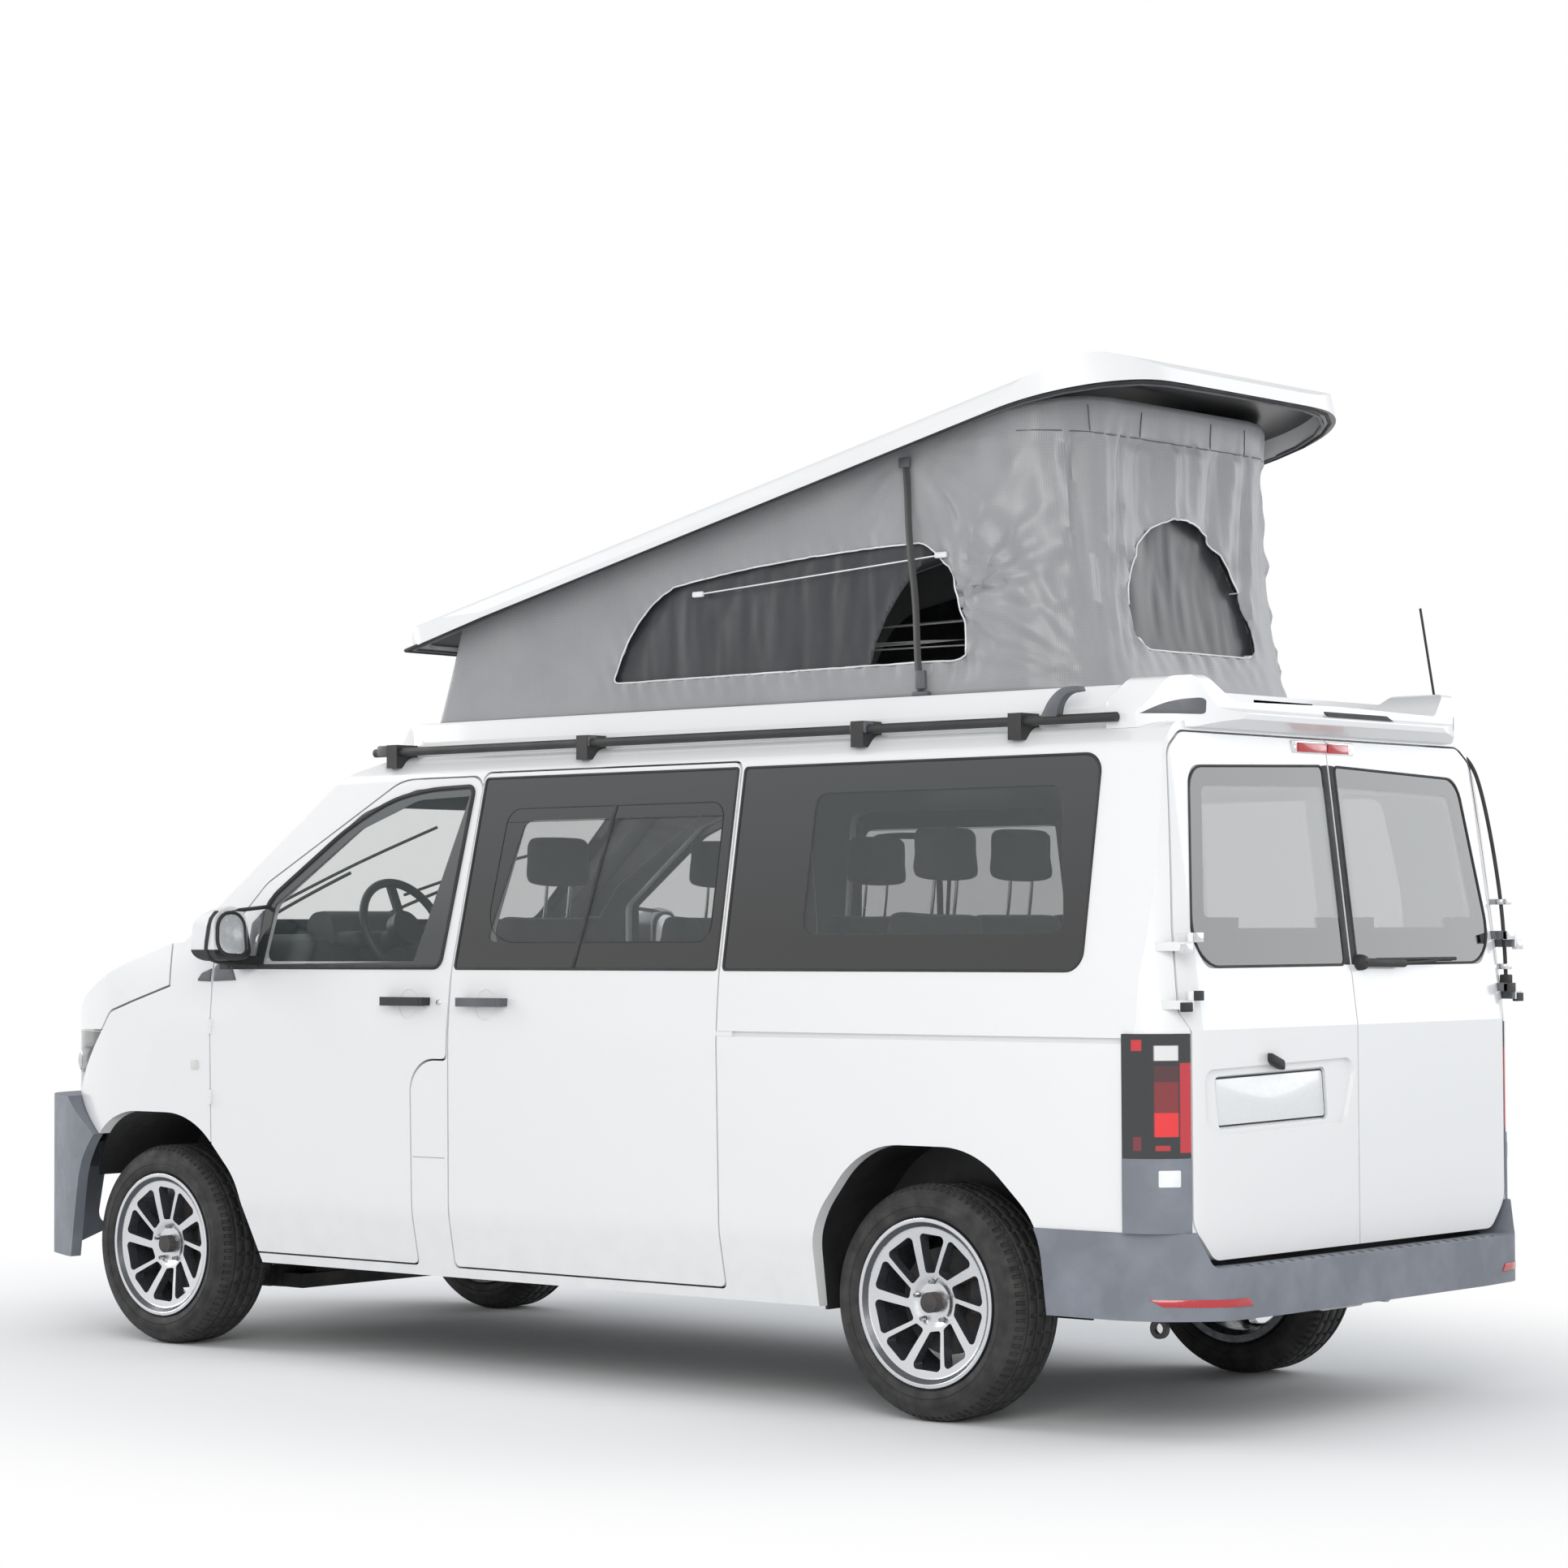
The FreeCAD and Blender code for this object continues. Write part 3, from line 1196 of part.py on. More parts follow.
def make_tyre():
    """Low-profile tyre: bead, sidewall, shoulder and flat tread over a hollow."""
    half = (
        # radius, across, rounding
        (RIM_R + SEAT, TYRE_HALF - 23, 0),
        (RIM_R + 19, TYRE_HALF - 18, 4),
        (RIM_R + 24, TYRE_HALF - 8, 5),
        (RIM_R + 56, TYRE_HALF, 40),
        (TYRE_R - 13, TYRE_HALF - 18, 26),
        (TYRE_R, TYRE_HALF - 50, 45),
    )
    hollow = ((TYRE_R - 24, TYRE_HALF - 36, 25), (RIM_R + SEAT, TYRE_HALF - 40, 0))
    outside = half + tuple((radius, -across, turn) for radius, across, turn in reversed(half))
    inside = tuple((radius, -across, turn) for radius, across, turn in reversed(hollow)) + hollow
    return spun("tyre_form", outside + inside)


def spoke_window(first, second, first_half, second_half, inner, outer_r, twist):
    """The opening between two spokes: angles of their middles and their half widths."""
    corners = []
    for angle, half_width, side_sign in ((first, first_half, 1), (second, second_half, -1)):
        ends = []
        for radius, lean in ((inner, -twist), (outer_r, twist)):
            heading = math.radians(angle + lean)
            width = half_width if radius == outer_r else half_width * 0.8
            across = heading + side_sign * math.asin(width / radius)
            ends.append((radius * math.cos(across), radius * math.sin(across)))
        corners.append(ends)
    (a_in, a_out), (b_in, b_out) = corners
    return (a_in + (9,), a_out + (14,), b_out + (14,), b_in + (9,))


def make_rim():
    """Alloy rim: barrel and dished face in one turn, then the windows between ten spokes."""
    half = TYRE_HALF
    face = half - 29
    profile = (
        # radius, across, rounding
        (RIM_R + 18, half - 8, 3),
        (RIM_R + 18, half - 17, 3),
        (RIM_R, half - 21, 3),
        (RIM_R, half - 42, 6),
        (RIM_R - 15, half - 58, 10),
        (RIM_R - 15, 58 - half, 10),
        (RIM_R, 42 - half, 6),
        (RIM_R, 21 - half, 3),
        (RIM_R + 18, 17 - half, 3),
        (RIM_R + 18, 8 - half, 3),
        (RIM_R - 9, 10 - half, 3),
        (RIM_R - 23, 40 - half, 10),
        (RIM_R - 23, half - 66, 12),
        (size(150), face - 40, 60),
        (size(82), face - 62, 10),
        (size(76), 30, 4),
        (BORE, 30, 0),
        (BORE, face - 26, 0),
        (size(58), face - 26, 5),
        (size(74), face - 18, 30),
        (size(150), face - 4, 80),
        (RIM_R - 10, face + 6, 12),
        (RIM_R + 6, half - 8, 4),
    )
    body = spun("rim_form", profile)
    doc.recompute([body])
    last = body.Tip
    sector = 72
    windows = (
        (0, 34, 15, 8, 86, 203, 5),
        (34, sector, 8, 15, 86, 203, 5),
    )
    for number, entries in enumerate(windows):
        window = outline(f"rim_window_{number}", "XZ", spoke_window(*entries), body)
        pocket = body.newObject("PartDesign::Pocket", f"rim_pocket_{number}")
        pocket.Profile = window
        pocket.Type = 1
        pocket.Midplane = True
        last = pattern(body, pocket, window, 5, f"rim_windows_{number}")
    bolt = sketch_on("rim_bolt_sketch", "XZ", body)
    bolt.addGeometry(Part.Circle(Vector(60 * math.cos(0.3), 60 * math.sin(0.3), 0), Vector(0, 0, 1), 8), False)
    bolts = body.newObject("PartDesign::Pocket", "rim_bolt_hole")
    bolts.Profile = bolt
    bolts.Type = 1
    bolts.Midplane = True
    pattern(body, bolts, bolt, 5, "rim_bolt_holes")
    return body


def pattern(body, feature, sketch, count, name):
    """Repeats a feature round the sketch's normal."""
    around = body.newObject("PartDesign::PolarPattern", name)
    around.Originals = [feature]
    around.Axis = (sketch, ["N_Axis"])
    around.Angle = 360
    around.Occurrences = count
    body.Tip = around
    doc.recompute([body])
    return around


tyre = make_tyre()
rim = make_rim()
doc.recompute()
for axle_name, axle in (("front", FRONT_AXLE), ("rear", REAR_AXLE)):
    for side_name, sign in (("left", 1), ("right", -1)):
        turn = Rotation() if sign > 0 else Rotation(Vector(0, 0, 1), 180)
        corner = f"{axle_name}_{side_name}"
        across = WHEEL_Y * sign
        piece(f"tyre_{corner}", placed(f"tyre_{corner}", tyre, axle, across, AXLE_HEIGHT, turn))
        piece(f"rim_{corner}", placed(f"rim_{corner}", rim, axle, across, AXLE_HEIGHT, turn))

HUB_FACE = 30


def make_hub(name, axle):
    """Hub nose, flange, brake disc and caliper of a left wheel, on the wheel's own axis."""
    parts = []
    for label, start, length, radius in (
            ("nose", HUB_FACE - 40, 100, BORE - SEAT),
            ("flange", HUB_FACE - 14, 14 - SEAT, 72),
            ("disc", HUB_FACE - 46, 22, 156),
            ("hat", HUB_FACE - 40, 30, 82),
            ("carrier", HUB_FACE - 120, 76, 52)):
        parts.append(rod(f"{name}_{label}", (axle, WHEEL_Y + start, AXLE_HEIGHT), Y, length, radius))
    parts.append(block(f"{name}_caliper", (axle - 165, WHEEL_Y + HUB_FACE - 72, AXLE_HEIGHT - 30),
                       (axle - 105, WHEEL_Y + HUB_FACE - 4, AXLE_HEIGHT + 80)))
    parts.append(block(f"{name}_mount", (axle - 130, WHEEL_Y + HUB_FACE - 72, AXLE_HEIGHT - 25),
                       (axle, WHEEL_Y + HUB_FACE - 48, AXLE_HEIGHT + 45)))
    return parts


KINGPIN_Y = WHEEL_Y - 105
BALL_REACH_LOW = size(140)
BALL_REACH_HIGH = size(121)


def make_knuckle():
    """Left steering knuckle: upright between the ball joints, hub, disc and caliper."""
    low_y, high_y = KINGPIN_Y - 22, KINGPIN_Y + 22
    upright = block("knuckle_upright", (FRONT_AXLE - 30, low_y, AXLE_HEIGHT - 130),
                    (FRONT_AXLE + 30, high_y, AXLE_HEIGHT + 150))
    arm = block("knuckle_arm", (FRONT_AXLE - 130, low_y, AXLE_HEIGHT - 70),
                (FRONT_AXLE - 20, high_y, AXLE_HEIGHT - 45))
    whole = fused("knuckle_blank", upright, arm, *make_hub("front_hub", FRONT_AXLE))
    low_pin = rod("knuckle_low_room", (FRONT_AXLE, KINGPIN_Y, AXLE_HEIGHT - BALL_REACH_LOW), Z, 40, 12.3)
    high_pin = rod("knuckle_high_room", (FRONT_AXLE, KINGPIN_Y, AXLE_HEIGHT + BALL_REACH_HIGH - 1), Z,
                   40, 12.3)
    return cut("knuckle", whole, low_pin, high_pin)


def make_subframe():
    """Front subframe with its lower and upper arms and their ball pins."""
    foot = AXLE_HEIGHT - 175
    halves = []
    parts = [block("lower_arm", (FRONT_AXLE - 35, RAIL_OUT - 16, foot + 7),
                   (FRONT_AXLE + 35, KINGPIN_Y + 20, AXLE_HEIGHT - 136)),
             rod("lower_pin", (FRONT_AXLE, KINGPIN_Y, AXLE_HEIGHT - BALL_REACH_LOW), Z, 39, 12),
             block("upper_arm", (FRONT_AXLE - 30, RAIL_OUT + SEAT, AXLE_HEIGHT + 162),
                   (FRONT_AXLE + 30, KINGPIN_Y + 20, AXLE_HEIGHT + 186)),
             rod("upper_pin", (FRONT_AXLE, KINGPIN_Y, AXLE_HEIGHT + BALL_REACH_HIGH), Z, 45, 12),
             block("subframe_post", (FRONT_AXLE - 90, RAIL_IN, foot), (FRONT_AXLE + 90, RAIL_OUT,
                                                                     RAIL_FOOT - SEAT)),
             block("arm_foot", (FRONT_AXLE - 50, RAIL_OUT - 1, foot),
                   (FRONT_AXLE + 50, HOUSE_IN_FRONT - 1, RAIL_FOOT - SEAT)),
             block("arm_tower", (FRONT_AXLE - 50, RAIL_OUT + SEAT, foot),
                   (FRONT_AXLE + 50, HOUSE_IN_FRONT - 1, AXLE_HEIGHT + 186))]
    left = fused("subframe_left", *parts)
    beam = block("subframe_beam", (FRONT_AXLE - 200, 6 - RAIL_OUT, foot),
                 (FRONT_AXLE + 150, RAIL_OUT - 6, foot + 50))
    return fused("front_subframe", left, mirrored("subframe_right", left), beam)


def make_rear_axle():
    """Rear beam with trailing arms and the hubs that carry the rear wheels."""
    arm = prism("trailing_arm", "XZ", (
        (REAR_AXLE - 60, AXLE_HEIGHT - 50, 20), (REAR_AXLE + 60, AXLE_HEIGHT - 50, 20),
        (REAR_AXLE + 620, AXLE_HEIGHT - 10, 20), (REAR_AXLE + 620, FLOOR - 70 - SEAT, 20),
        (REAR_AXLE + 500, FLOOR - 70 - SEAT, 20), (REAR_AXLE - 60, AXLE_HEIGHT + 50, 20)),
        HOUSE_IN_REAR - 95, HOUSE_IN_REAR - 25)
    beam = rod("axle_beam_half", (REAR_AXLE, 0, AXLE_HEIGHT), Y, WHEEL_Y - 60, 42)
    left = fused("rear_axle_left", beam, arm, *make_hub("rear_hub", REAR_AXLE))
    return fused("rear_axle", left, mirrored("rear_axle_right", left))


knuckle = make_knuckle()
piece("knuckle_left", knuckle)
piece("knuckle_right", mirrored("knuckle_mirror", knuckle))
piece("front_subframe", make_subframe())
piece("rear_axle", make_rear_axle())
piece("engine_block", block("engine_block", (FRONT_AXLE - 180, -330, AXLE_HEIGHT - 125 + SEAT),
                            (FRONT_AXLE + 330, 330, 960)))


def make_exhaust():
    """Exhaust: pipe in the floor's tunnel, silencer behind the rear axle and its tail pipe."""
    pipe = rod("exhaust_pipe", (-2050, PIPE_Y, PIPE_Z), X, 3200, 24)
    box = prism("silencer", "YZ", ((-330, 290, 40), (-50, 290, 40), (-50, 398, 40), (-330, 398, 40)),
                -2380, -2010)
    tail = rod("tail_pipe", (-2545, PIPE_Y, 345), X, 170, 26)
    straps = [block(f"exhaust_hanger_{number}", (ahead, PIPE_Y - 8, PIPE_Z),
                    (ahead + 16, PIPE_Y + 8, FLOOR - 30 - SEAT))
              for number, ahead in enumerate((-2200, -1245, 400))]
    return fused("exhaust", pipe, box, tail, *straps)


piece("exhaust", make_exhaust())

# ---- lifting roof ------------------------------------------------------------------------

BED = D["bed_height"]
TILT = D["roof_tilt"]
ARM_PIVOT = (187, 2140)
SHELL_FRONT = (700, 2356)
PIVOT_SHELL = (-242.6, 35)


def make_shell():
    """The lifting roof: a shallow tray with a rounded plan and a crowned top."""
    half_width = D["shell_half"]
    back = -D["shell_length"]
    plan_half = (
        (size(0), size(0), 0),
        (size(-14), half_width - 22, 110),
        (size(-420), half_width, 600),
        (back + 14, half_width, 380),
        (back, half_width - 440, 0),
    )
    plan = plan_half + tuple((ahead, -across, radius) for ahead, across, radius in reversed(plan_half[1:]))
    depth = D["shell_depth"]
    form = common(
        "shell_form",
        prism("shell_plan", "XY", plan, 0, depth + 60),
        prism("shell_section", "YZ", (
            (-half_width - 5, 0, 0), (half_width + 5, 0, 0), (half_width - 12, depth - 20, 25),
            (half_width - 120, depth + 15, 200), (0, depth + 38, 3000),
            (-half_width + 120, depth + 15, 200), (-half_width + 12, depth - 20, 25)),
            back - 10, 10),
        prism("shell_profile", "XZ", (
            (back - 10, 0, 0), (10, 0, 0), (0, 16, 10), (-170, depth + 20, 150), (-600, depth + 42, 600),
            (back + 400, depth + 42, 600), (back + 40, depth + 10, 150), (back - 5, depth - 45, 20)),
            -half_width - 20, half_width + 20))
    rim = 36
    inside_half = (
        (size(-60), size(0), 0),
        (size(-60), half_width - 22 - rim, 90),
        (size(-420), half_width - rim, 560),
        (back + 14 + rim, half_width - rim, 350),
        (back + rim, half_width - 430, 0),
    )
    inside = inside_half + tuple((ahead, -across, radius)
                                 for ahead, across, radius in reversed(inside_half[1:]))
    hollow = common("shell_hollow", prism("shell_inside_plan", "XY", inside, -5, depth), prism(
        "shell_inside_profile", "XZ",
        ((back, -1, 0), (-60, -1, 0), (-60, 12, 0), (-190, 60, 60), (back, 60, 0)),
        -half_width, half_width))
    posts = []
    for side_name, low_y in (("left", 531), ("right", -561)):
        post = prism(f"shell_post_{side_name}", "XZ", (
            (PIVOT_SHELL[0] - 24, 15, 10), (PIVOT_SHELL[0] + 24, 15, 10),
            (PIVOT_SHELL[0] + 30, 65, 0), (PIVOT_SHELL[0] - 30, 65, 0)), low_y, low_y + 30)
        pin_low = low_y - 26 if low_y > 0 else low_y
        pin = rod(f"shell_pin_{side_name}", (PIVOT_SHELL[0], pin_low, PIVOT_SHELL[1]), Y, 56, 6)
        posts += [post, pin]
    tray = fused("shell_tray", cut("shell_open", form, hollow), *posts)
    return placed_tilted("roof_shell", tray, SHELL_FRONT)


def placed_tilted(name, source, front):
    """The closed roof's form, tilted up by the roof's angle about its front edge."""
    copy = doc.addObject("Part::Compound", name)
    copy.Links = [source]
    copy.Placement = Placement(Vector(front[0], 0, front[1]), Rotation(Vector(0, 1, 0), 10))
    bind(copy, Placement_Rotation_Angle=TILT)
    return copy


def tilted(point):
    """A point of the closed roof's own frame, on the lifted roof."""
    angle = math.radians(TILT.value)
    ahead, up = point
    return (SHELL_FRONT[0] + ahead * math.cos(angle) + up * math.sin(angle),
            SHELL_FRONT[1] - ahead * math.sin(angle) + up * math.cos(angle))


def link(name, start, end, low_y, high_y, hole_start, hole_end):
    """A flat link between two pivots, with round ends and its holes."""
    run = (end[0] - start[0], end[1] - start[1])
    length = math.hypot(*run)
    angle = math.degrees(math.atan2(run[1], run[0]))
    bar = doc.addObject("Part::Box", f"{name}_bar")
    bar.Length, bar.Width, bar.Height = length, high_y - low_y, 24
    turn = Rotation(Vector(0, 1, 0), -angle)
    bar.Placement = Placement(Vector(start[0], low_y, start[1]), turn) * Placement(
        Vector(0, 0, -12), Rotation())
    parts = [bar]
    holes = []
    for label, point, hole in (("start", start, hole_start), ("end", end, hole_end)):
        parts.append(rod(f"{name}_{label}", (point[0], low_y, point[1]), Y, high_y - low_y, 14))
        if hole:
            holes.append(rod(f"{name}_{label}_hole", (point[0], low_y - 1, point[1]), Y,
                             high_y - low_y + 2, hole))
    return cut(name, fused(f"{name}_blank", *parts), *holes)


def make_links(name, start, end, across, holes):
    """The left and right links of the roof's mechanism."""
    both = doc.addObject("Part::Compound", name)
    links = []
    for side_name, low_y in (("left", across), ("right", -across - 20)):
        links.append(link(f"{name}_{side_name}", start, end, low_y, low_y + 20, *holes))
    both.Links = links
    return both


LIFT_BODY = (-900, 2140)
LIFT_LENGTH = 860
LIFT_ANGLE = 54
LIFT_END = (LIFT_BODY[0] - LIFT_LENGTH * math.cos(math.radians(LIFT_ANGLE)),
            LIFT_BODY[1] + LIFT_LENGTH * math.sin(math.radians(LIFT_ANGLE)))


TENT_BACK = size(-2050)


def tent_corners(inset):
    """The tent from the side, up into the lifted roof."""
    slope = math.tan(math.radians(TILT.value))
    rise = 40

    def under_roof(ahead):
        return SHELL_FRONT[1] + rise + (SHELL_FRONT[0] - ahead) * slope

    lift = 20 if inset else 0
    return (
        (TENT_BACK + inset, BED + SEAT - lift, 0),
        (612 - inset, BED + SEAT - lift, 0),
        (500 - inset, size(under_roof(500) + lift), 0),
        (-1960 + inset, size(under_roof(-1960) + lift), 0),
    )


def tent_plan(name, half_width, inset):
    """The tent from above, with round rear corners that lean with its rear wall."""
    back = TENT_BACK + inset
    return prism(name, "XY", (
        (back, -half_width, 290 - inset), (size(800), -half_width, 0), (size(800), half_width, 0),
        (back, half_width, 290 - inset)), BED - 30, 3300, Vector(0.1, 0, 1))


def make_tent():
    """The tent's four walls, with a long window each side and one behind."""
    half_width = 655
    skin = 5
    walls = cut("tent_walls",
                common("tent_outside", prism("tent_out", "XZ", tent_corners(0), -half_width, half_width),
                       tent_plan("tent_out_plan", half_width, 0)),
                common("tent_inside", prism("tent_in", "XZ", tent_corners(skin), -half_width + skin,
                                            half_width - skin),
                       tent_plan("tent_in_plan", half_width - skin, skin)))
    side_window = prism("tent_side_window", "XZ", (
        (-1640, 2220, 40), (-190, 2215, 60), (-330, 2470, 120), (-900, 2560, 500), (-1500, 2580, 120),
        (-1640, 2400, 200)), -900, 900)
    back_window = prism("tent_back_window", "YZ", (
        (-330, 2250, 40), (330, 2250, 40), (330, 2500, 60), (200, 2650, 150), (-200, 2650, 150),
        (-330, 2500, 60)), -2200, -1800)
    return cut("tent", walls, side_window, back_window)


def make_straps():
    """The webbing strap on each side, from the roof's edge to the bed."""
    strap = prism("strap_left", "XZ", (
        (-1500, BED + SEAT, 0), (-1470, BED + SEAT, 0), (-1400, 2836, 0), (-1430, 2840, 0)), 672, 676)
    both = doc.addObject("Part::Compound", "tent_straps")
    both.Links = [strap, mirrored("strap_right", strap)]
    return both


def make_rails():
    """Round side rails on clamps along the roof bed."""
    bar = rod("rail_bar", (-2290, 800, 2018), X, 3040, 14)
    parts = [bar]
    for number, ahead in enumerate((650, -223, -1356, -1944)):
        parts.append(block(f"rail_clamp_{number}", (ahead - 24, 700, 1965), (ahead + 24, 822, 2042)))
    left = cut("rail_left", fused("rail_blank", *parts), seat_skin, roof_bed)
    both = doc.addObject("Part::Compound", "roof_rails")
    both.Links = [left, mirrored("rail_right", left)]
    return both


def make_spoiler():
    """The fairing behind the bed, with raised corners and a lip over the rear doors."""
    under = REAR_DOOR_TOP + 12
    section = prism("spoiler_section", "YZ", (
        (-775, 1900, 0), (775, 1900, 0), (780, 2030, 10), (740, 2130, 25), (640, 2138, 25),
        (540, 2062, 60), (0, 2070, 2000), (-540, 2062, 60), (-640, 2138, 25), (-740, 2130, 25),
        (-780, 2030, 10)), -2560, -2238)
    profile = prism("spoiler_profile", "XZ", (
        (-2545, 2010, 5), (-2480, under, 0), (-2238, under, 0), (-2238, 2075, 0),
        (-2300, 2140, 40), (-2480, 2136, 30), (-2520, 2040, 20), (-2550, 2030, 5)), -800, 800)
    plan = prism("spoiler_plan", "XY", (
        (-2238, -790, 0), (-2550, -790, 290), (-2550, 790, 290), (-2238, 790, 0)), 1900, 2200)
    notch = block("aerial_notch", (-2442, -800, 1900), (-2383, -686, 2200))
    return cut("rear_spoiler", common("spoiler_form", section, profile, plan), seat_skin, notch)


piece("roof_shell", make_shell())
piece("front_arms", make_links("front_arms", ARM_PIVOT, tilted(PIVOT_SHELL), 505, (6.3, 6.3)))
piece("lift_arms", make_links("lift_arms", LIFT_BODY, LIFT_END, 588, (6.3, 0)))
piece("tent", make_tent())
piece("tent_straps", make_straps())
piece("roof_rails", make_rails())
piece("rear_spoiler", make_spoiler())

# ---- outside fittings --------------------------------------------------------------------


def make_mirror(name):
    """Door mirror on its foot, with the door's handle, for the left door."""
    foot = prism(f"{name}_foot", "XY", (
        (1190, 925, 0), (1290, 925, 0), (1275, 1040, 20), (1205, 1040, 20)), 1300, 1345)
    head = common(f"{name}_head",
                  prism(f"{name}_head_side", "XZ", (
                      (1165, 1330, 25), (1290, 1325, 40), (1275, 1470, 60), (1175, 1525, 20)), 960, 1148),
                  prism(f"{name}_head_front", "YZ", (
                      (975, 1325, 40), (1148, 1330, 50), (1140, 1490, 60), (1010, 1528, 60)), 1100, 1350))
    return cut(name, fused(f"{name}_blank", foot, head), seat_skin)


def make_handle(name, middle, height):
    """A pull handle on its two feet."""
    bar = prism(f"{name}_bar", "XY", (
        (middle - 105, 968, 5), (middle + 105, 968, 5), (middle + 95, 990, 12), (middle - 95, 990, 12)),
        height - 14, height + 14)
    feet = [block(f"{name}_foot_{number}", (middle + offset - 18, 930, height - 13),
                  (middle + offset + 18, 975, height + 13)) for number, offset in enumerate((-80, 80))]
    return cut(name, fused(f"{name}_blank", bar, *feet), seat_skin)


handle_front = make_handle("handle_front", 438, 1198)
handle_slide = make_handle("handle_slide", 86, 1198)
trim_form = doc.addObject("Part::Compound", "front_door_trim")
trim_form.Links = [make_mirror("mirror"), handle_front]
piece("front_door_trim_left", trim_form)
piece("front_door_trim_right", mirrored("front_door_trim_mirror", trim_form))
pair("sliding_door_handles", handle_slide)


def make_aerial():
    """Mast that leans inwards on a bracket at the right rear corner of the roof."""
    bracket = cut("aerial_bracket", block("aerial_bracket_blank", (-2440, -765, 1950), (-2385, -700, 2045)),
                  seat_skin)
    mast = rod("aerial_mast", (-2410, -733, 2030), Vector(0, 0.272, 0.962), 388, 4)
    return fused("aerial", bracket, mast)


def make_tow_eye():
    """Towing loop below the rear overhang, hung from a rib of the floor."""
    middle = (tail(302), 693, 300)
    ahead, across, up = middle
    plate = block("tow_plate", (ahead - 22, across, up), (ahead + 22, across + 15, FLOOR - 70 - SEAT))
    ring = rod("tow_ring", middle, Y, 15, D["tow_bore"] * 0.5 + 14)
    eye = rod("tow_eye_bore", (ahead, across - 1, up), Y, 17, D["tow_bore"] * 0.5)
    return cut("tow_eye", fused("tow_blank", plate, ring), eye)


piece("aerial", make_aerial())
piece("tow_eye", make_tow_eye())

doc.recompute()
failed = [thing.Label for thing in doc.Objects
          if "Invalid" in thing.State or "Error" in thing.State]
if failed:
    raise SystemExit(f"these objects failed: {failed}")
for name, thing in PIECES.items():
    if thing.Shape.isNull() or not thing.Shape.isValid():
        raise SystemExit(f"{name} has no valid shape")
os.makedirs("parts", exist_ok=True)
for name, thing in PIECES.items():
    thing.Shape.exportStep(f"parts/{name}.step")
    print(f"{name}: {len(thing.Shape.Solids)} solids, {thing.Shape.Volume / 1e6:.2f} l")
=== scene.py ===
import json
import math

import bmesh
import bpy
from mathutils import Matrix, Vector, noise
from mathutils.bvhtree import BVHTree


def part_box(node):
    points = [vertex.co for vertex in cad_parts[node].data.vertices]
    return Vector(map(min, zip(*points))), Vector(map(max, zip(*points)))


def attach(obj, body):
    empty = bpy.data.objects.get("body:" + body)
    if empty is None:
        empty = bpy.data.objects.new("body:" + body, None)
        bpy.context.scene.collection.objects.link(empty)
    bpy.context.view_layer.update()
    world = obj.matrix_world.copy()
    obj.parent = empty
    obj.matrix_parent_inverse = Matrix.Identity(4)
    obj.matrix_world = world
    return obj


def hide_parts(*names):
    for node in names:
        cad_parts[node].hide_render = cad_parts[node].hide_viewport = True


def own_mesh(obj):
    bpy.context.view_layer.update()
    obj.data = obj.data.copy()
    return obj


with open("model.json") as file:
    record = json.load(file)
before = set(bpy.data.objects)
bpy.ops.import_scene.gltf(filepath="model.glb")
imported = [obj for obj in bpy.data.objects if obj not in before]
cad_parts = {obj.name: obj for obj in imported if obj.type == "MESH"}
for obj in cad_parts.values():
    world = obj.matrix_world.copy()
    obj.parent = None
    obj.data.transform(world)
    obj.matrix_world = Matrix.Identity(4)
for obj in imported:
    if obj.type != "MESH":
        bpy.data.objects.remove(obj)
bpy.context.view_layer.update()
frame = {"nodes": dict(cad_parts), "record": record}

NODES = frame["nodes"]
LEFT, RIGHT = 1, -1
BOTH = ((LEFT, "left"), (RIGHT, "right"))
REARWARD, ONWARD, DOWN = (-1, 0, 0), (1, 0, 0), (0, 0, -1)

# ---- stage -------------------------------------------------------------------------------

CAMERA_AT = Vector((-8.599, 9.520, 1.417))
CAMERA_HEADING = math.radians(-49.118)
CAMERA_RISE = math.radians(2.2205)
CAMERA_ROLL = math.radians(-0.2672)
FOCAL_LENGTH, FRAME_WIDTH = 4701, 1932
SENSOR = 36.0
LENS = SENSOR * FOCAL_LENGTH / FRAME_WIDTH
WORLD_TINT, WORLD_STRENGTH = (0.93, 0.96, 1.0, 1), 0.55
PLAIN_WHITE = (1, 1, 1, 1)
FLOOR_SIZE = 60
FLOOR_SQUEEZE = (0.62, 1.0, 1.0)
FLOOR_FADE = (1.5, 3.6)
LAMP_AIM = Vector((0, 0, 1.2))
LAMPS = (
    # name, place, size, power, colour
    ("key_light", (-8, 9, 5), 7.0, 660, (1, 0.99, 0.97)),
    ("fill_light", (-6, -9, 5), 8.0, 340, (0.95, 0.97, 1)),
    ("front_light", (9, 3, 5), 7.0, 400, (1, 1, 1)),
)


def placed(name, data):
    """A new object in the scene."""
    made = bpy.data.objects.new(name, data)
    bpy.context.scene.collection.objects.link(made)
    return made


def mesh_of(bm, name):
    """A finished form as mesh data."""
    mesh = bpy.data.meshes.new(name)
    bm.to_mesh(mesh)
    bm.free()
    return mesh


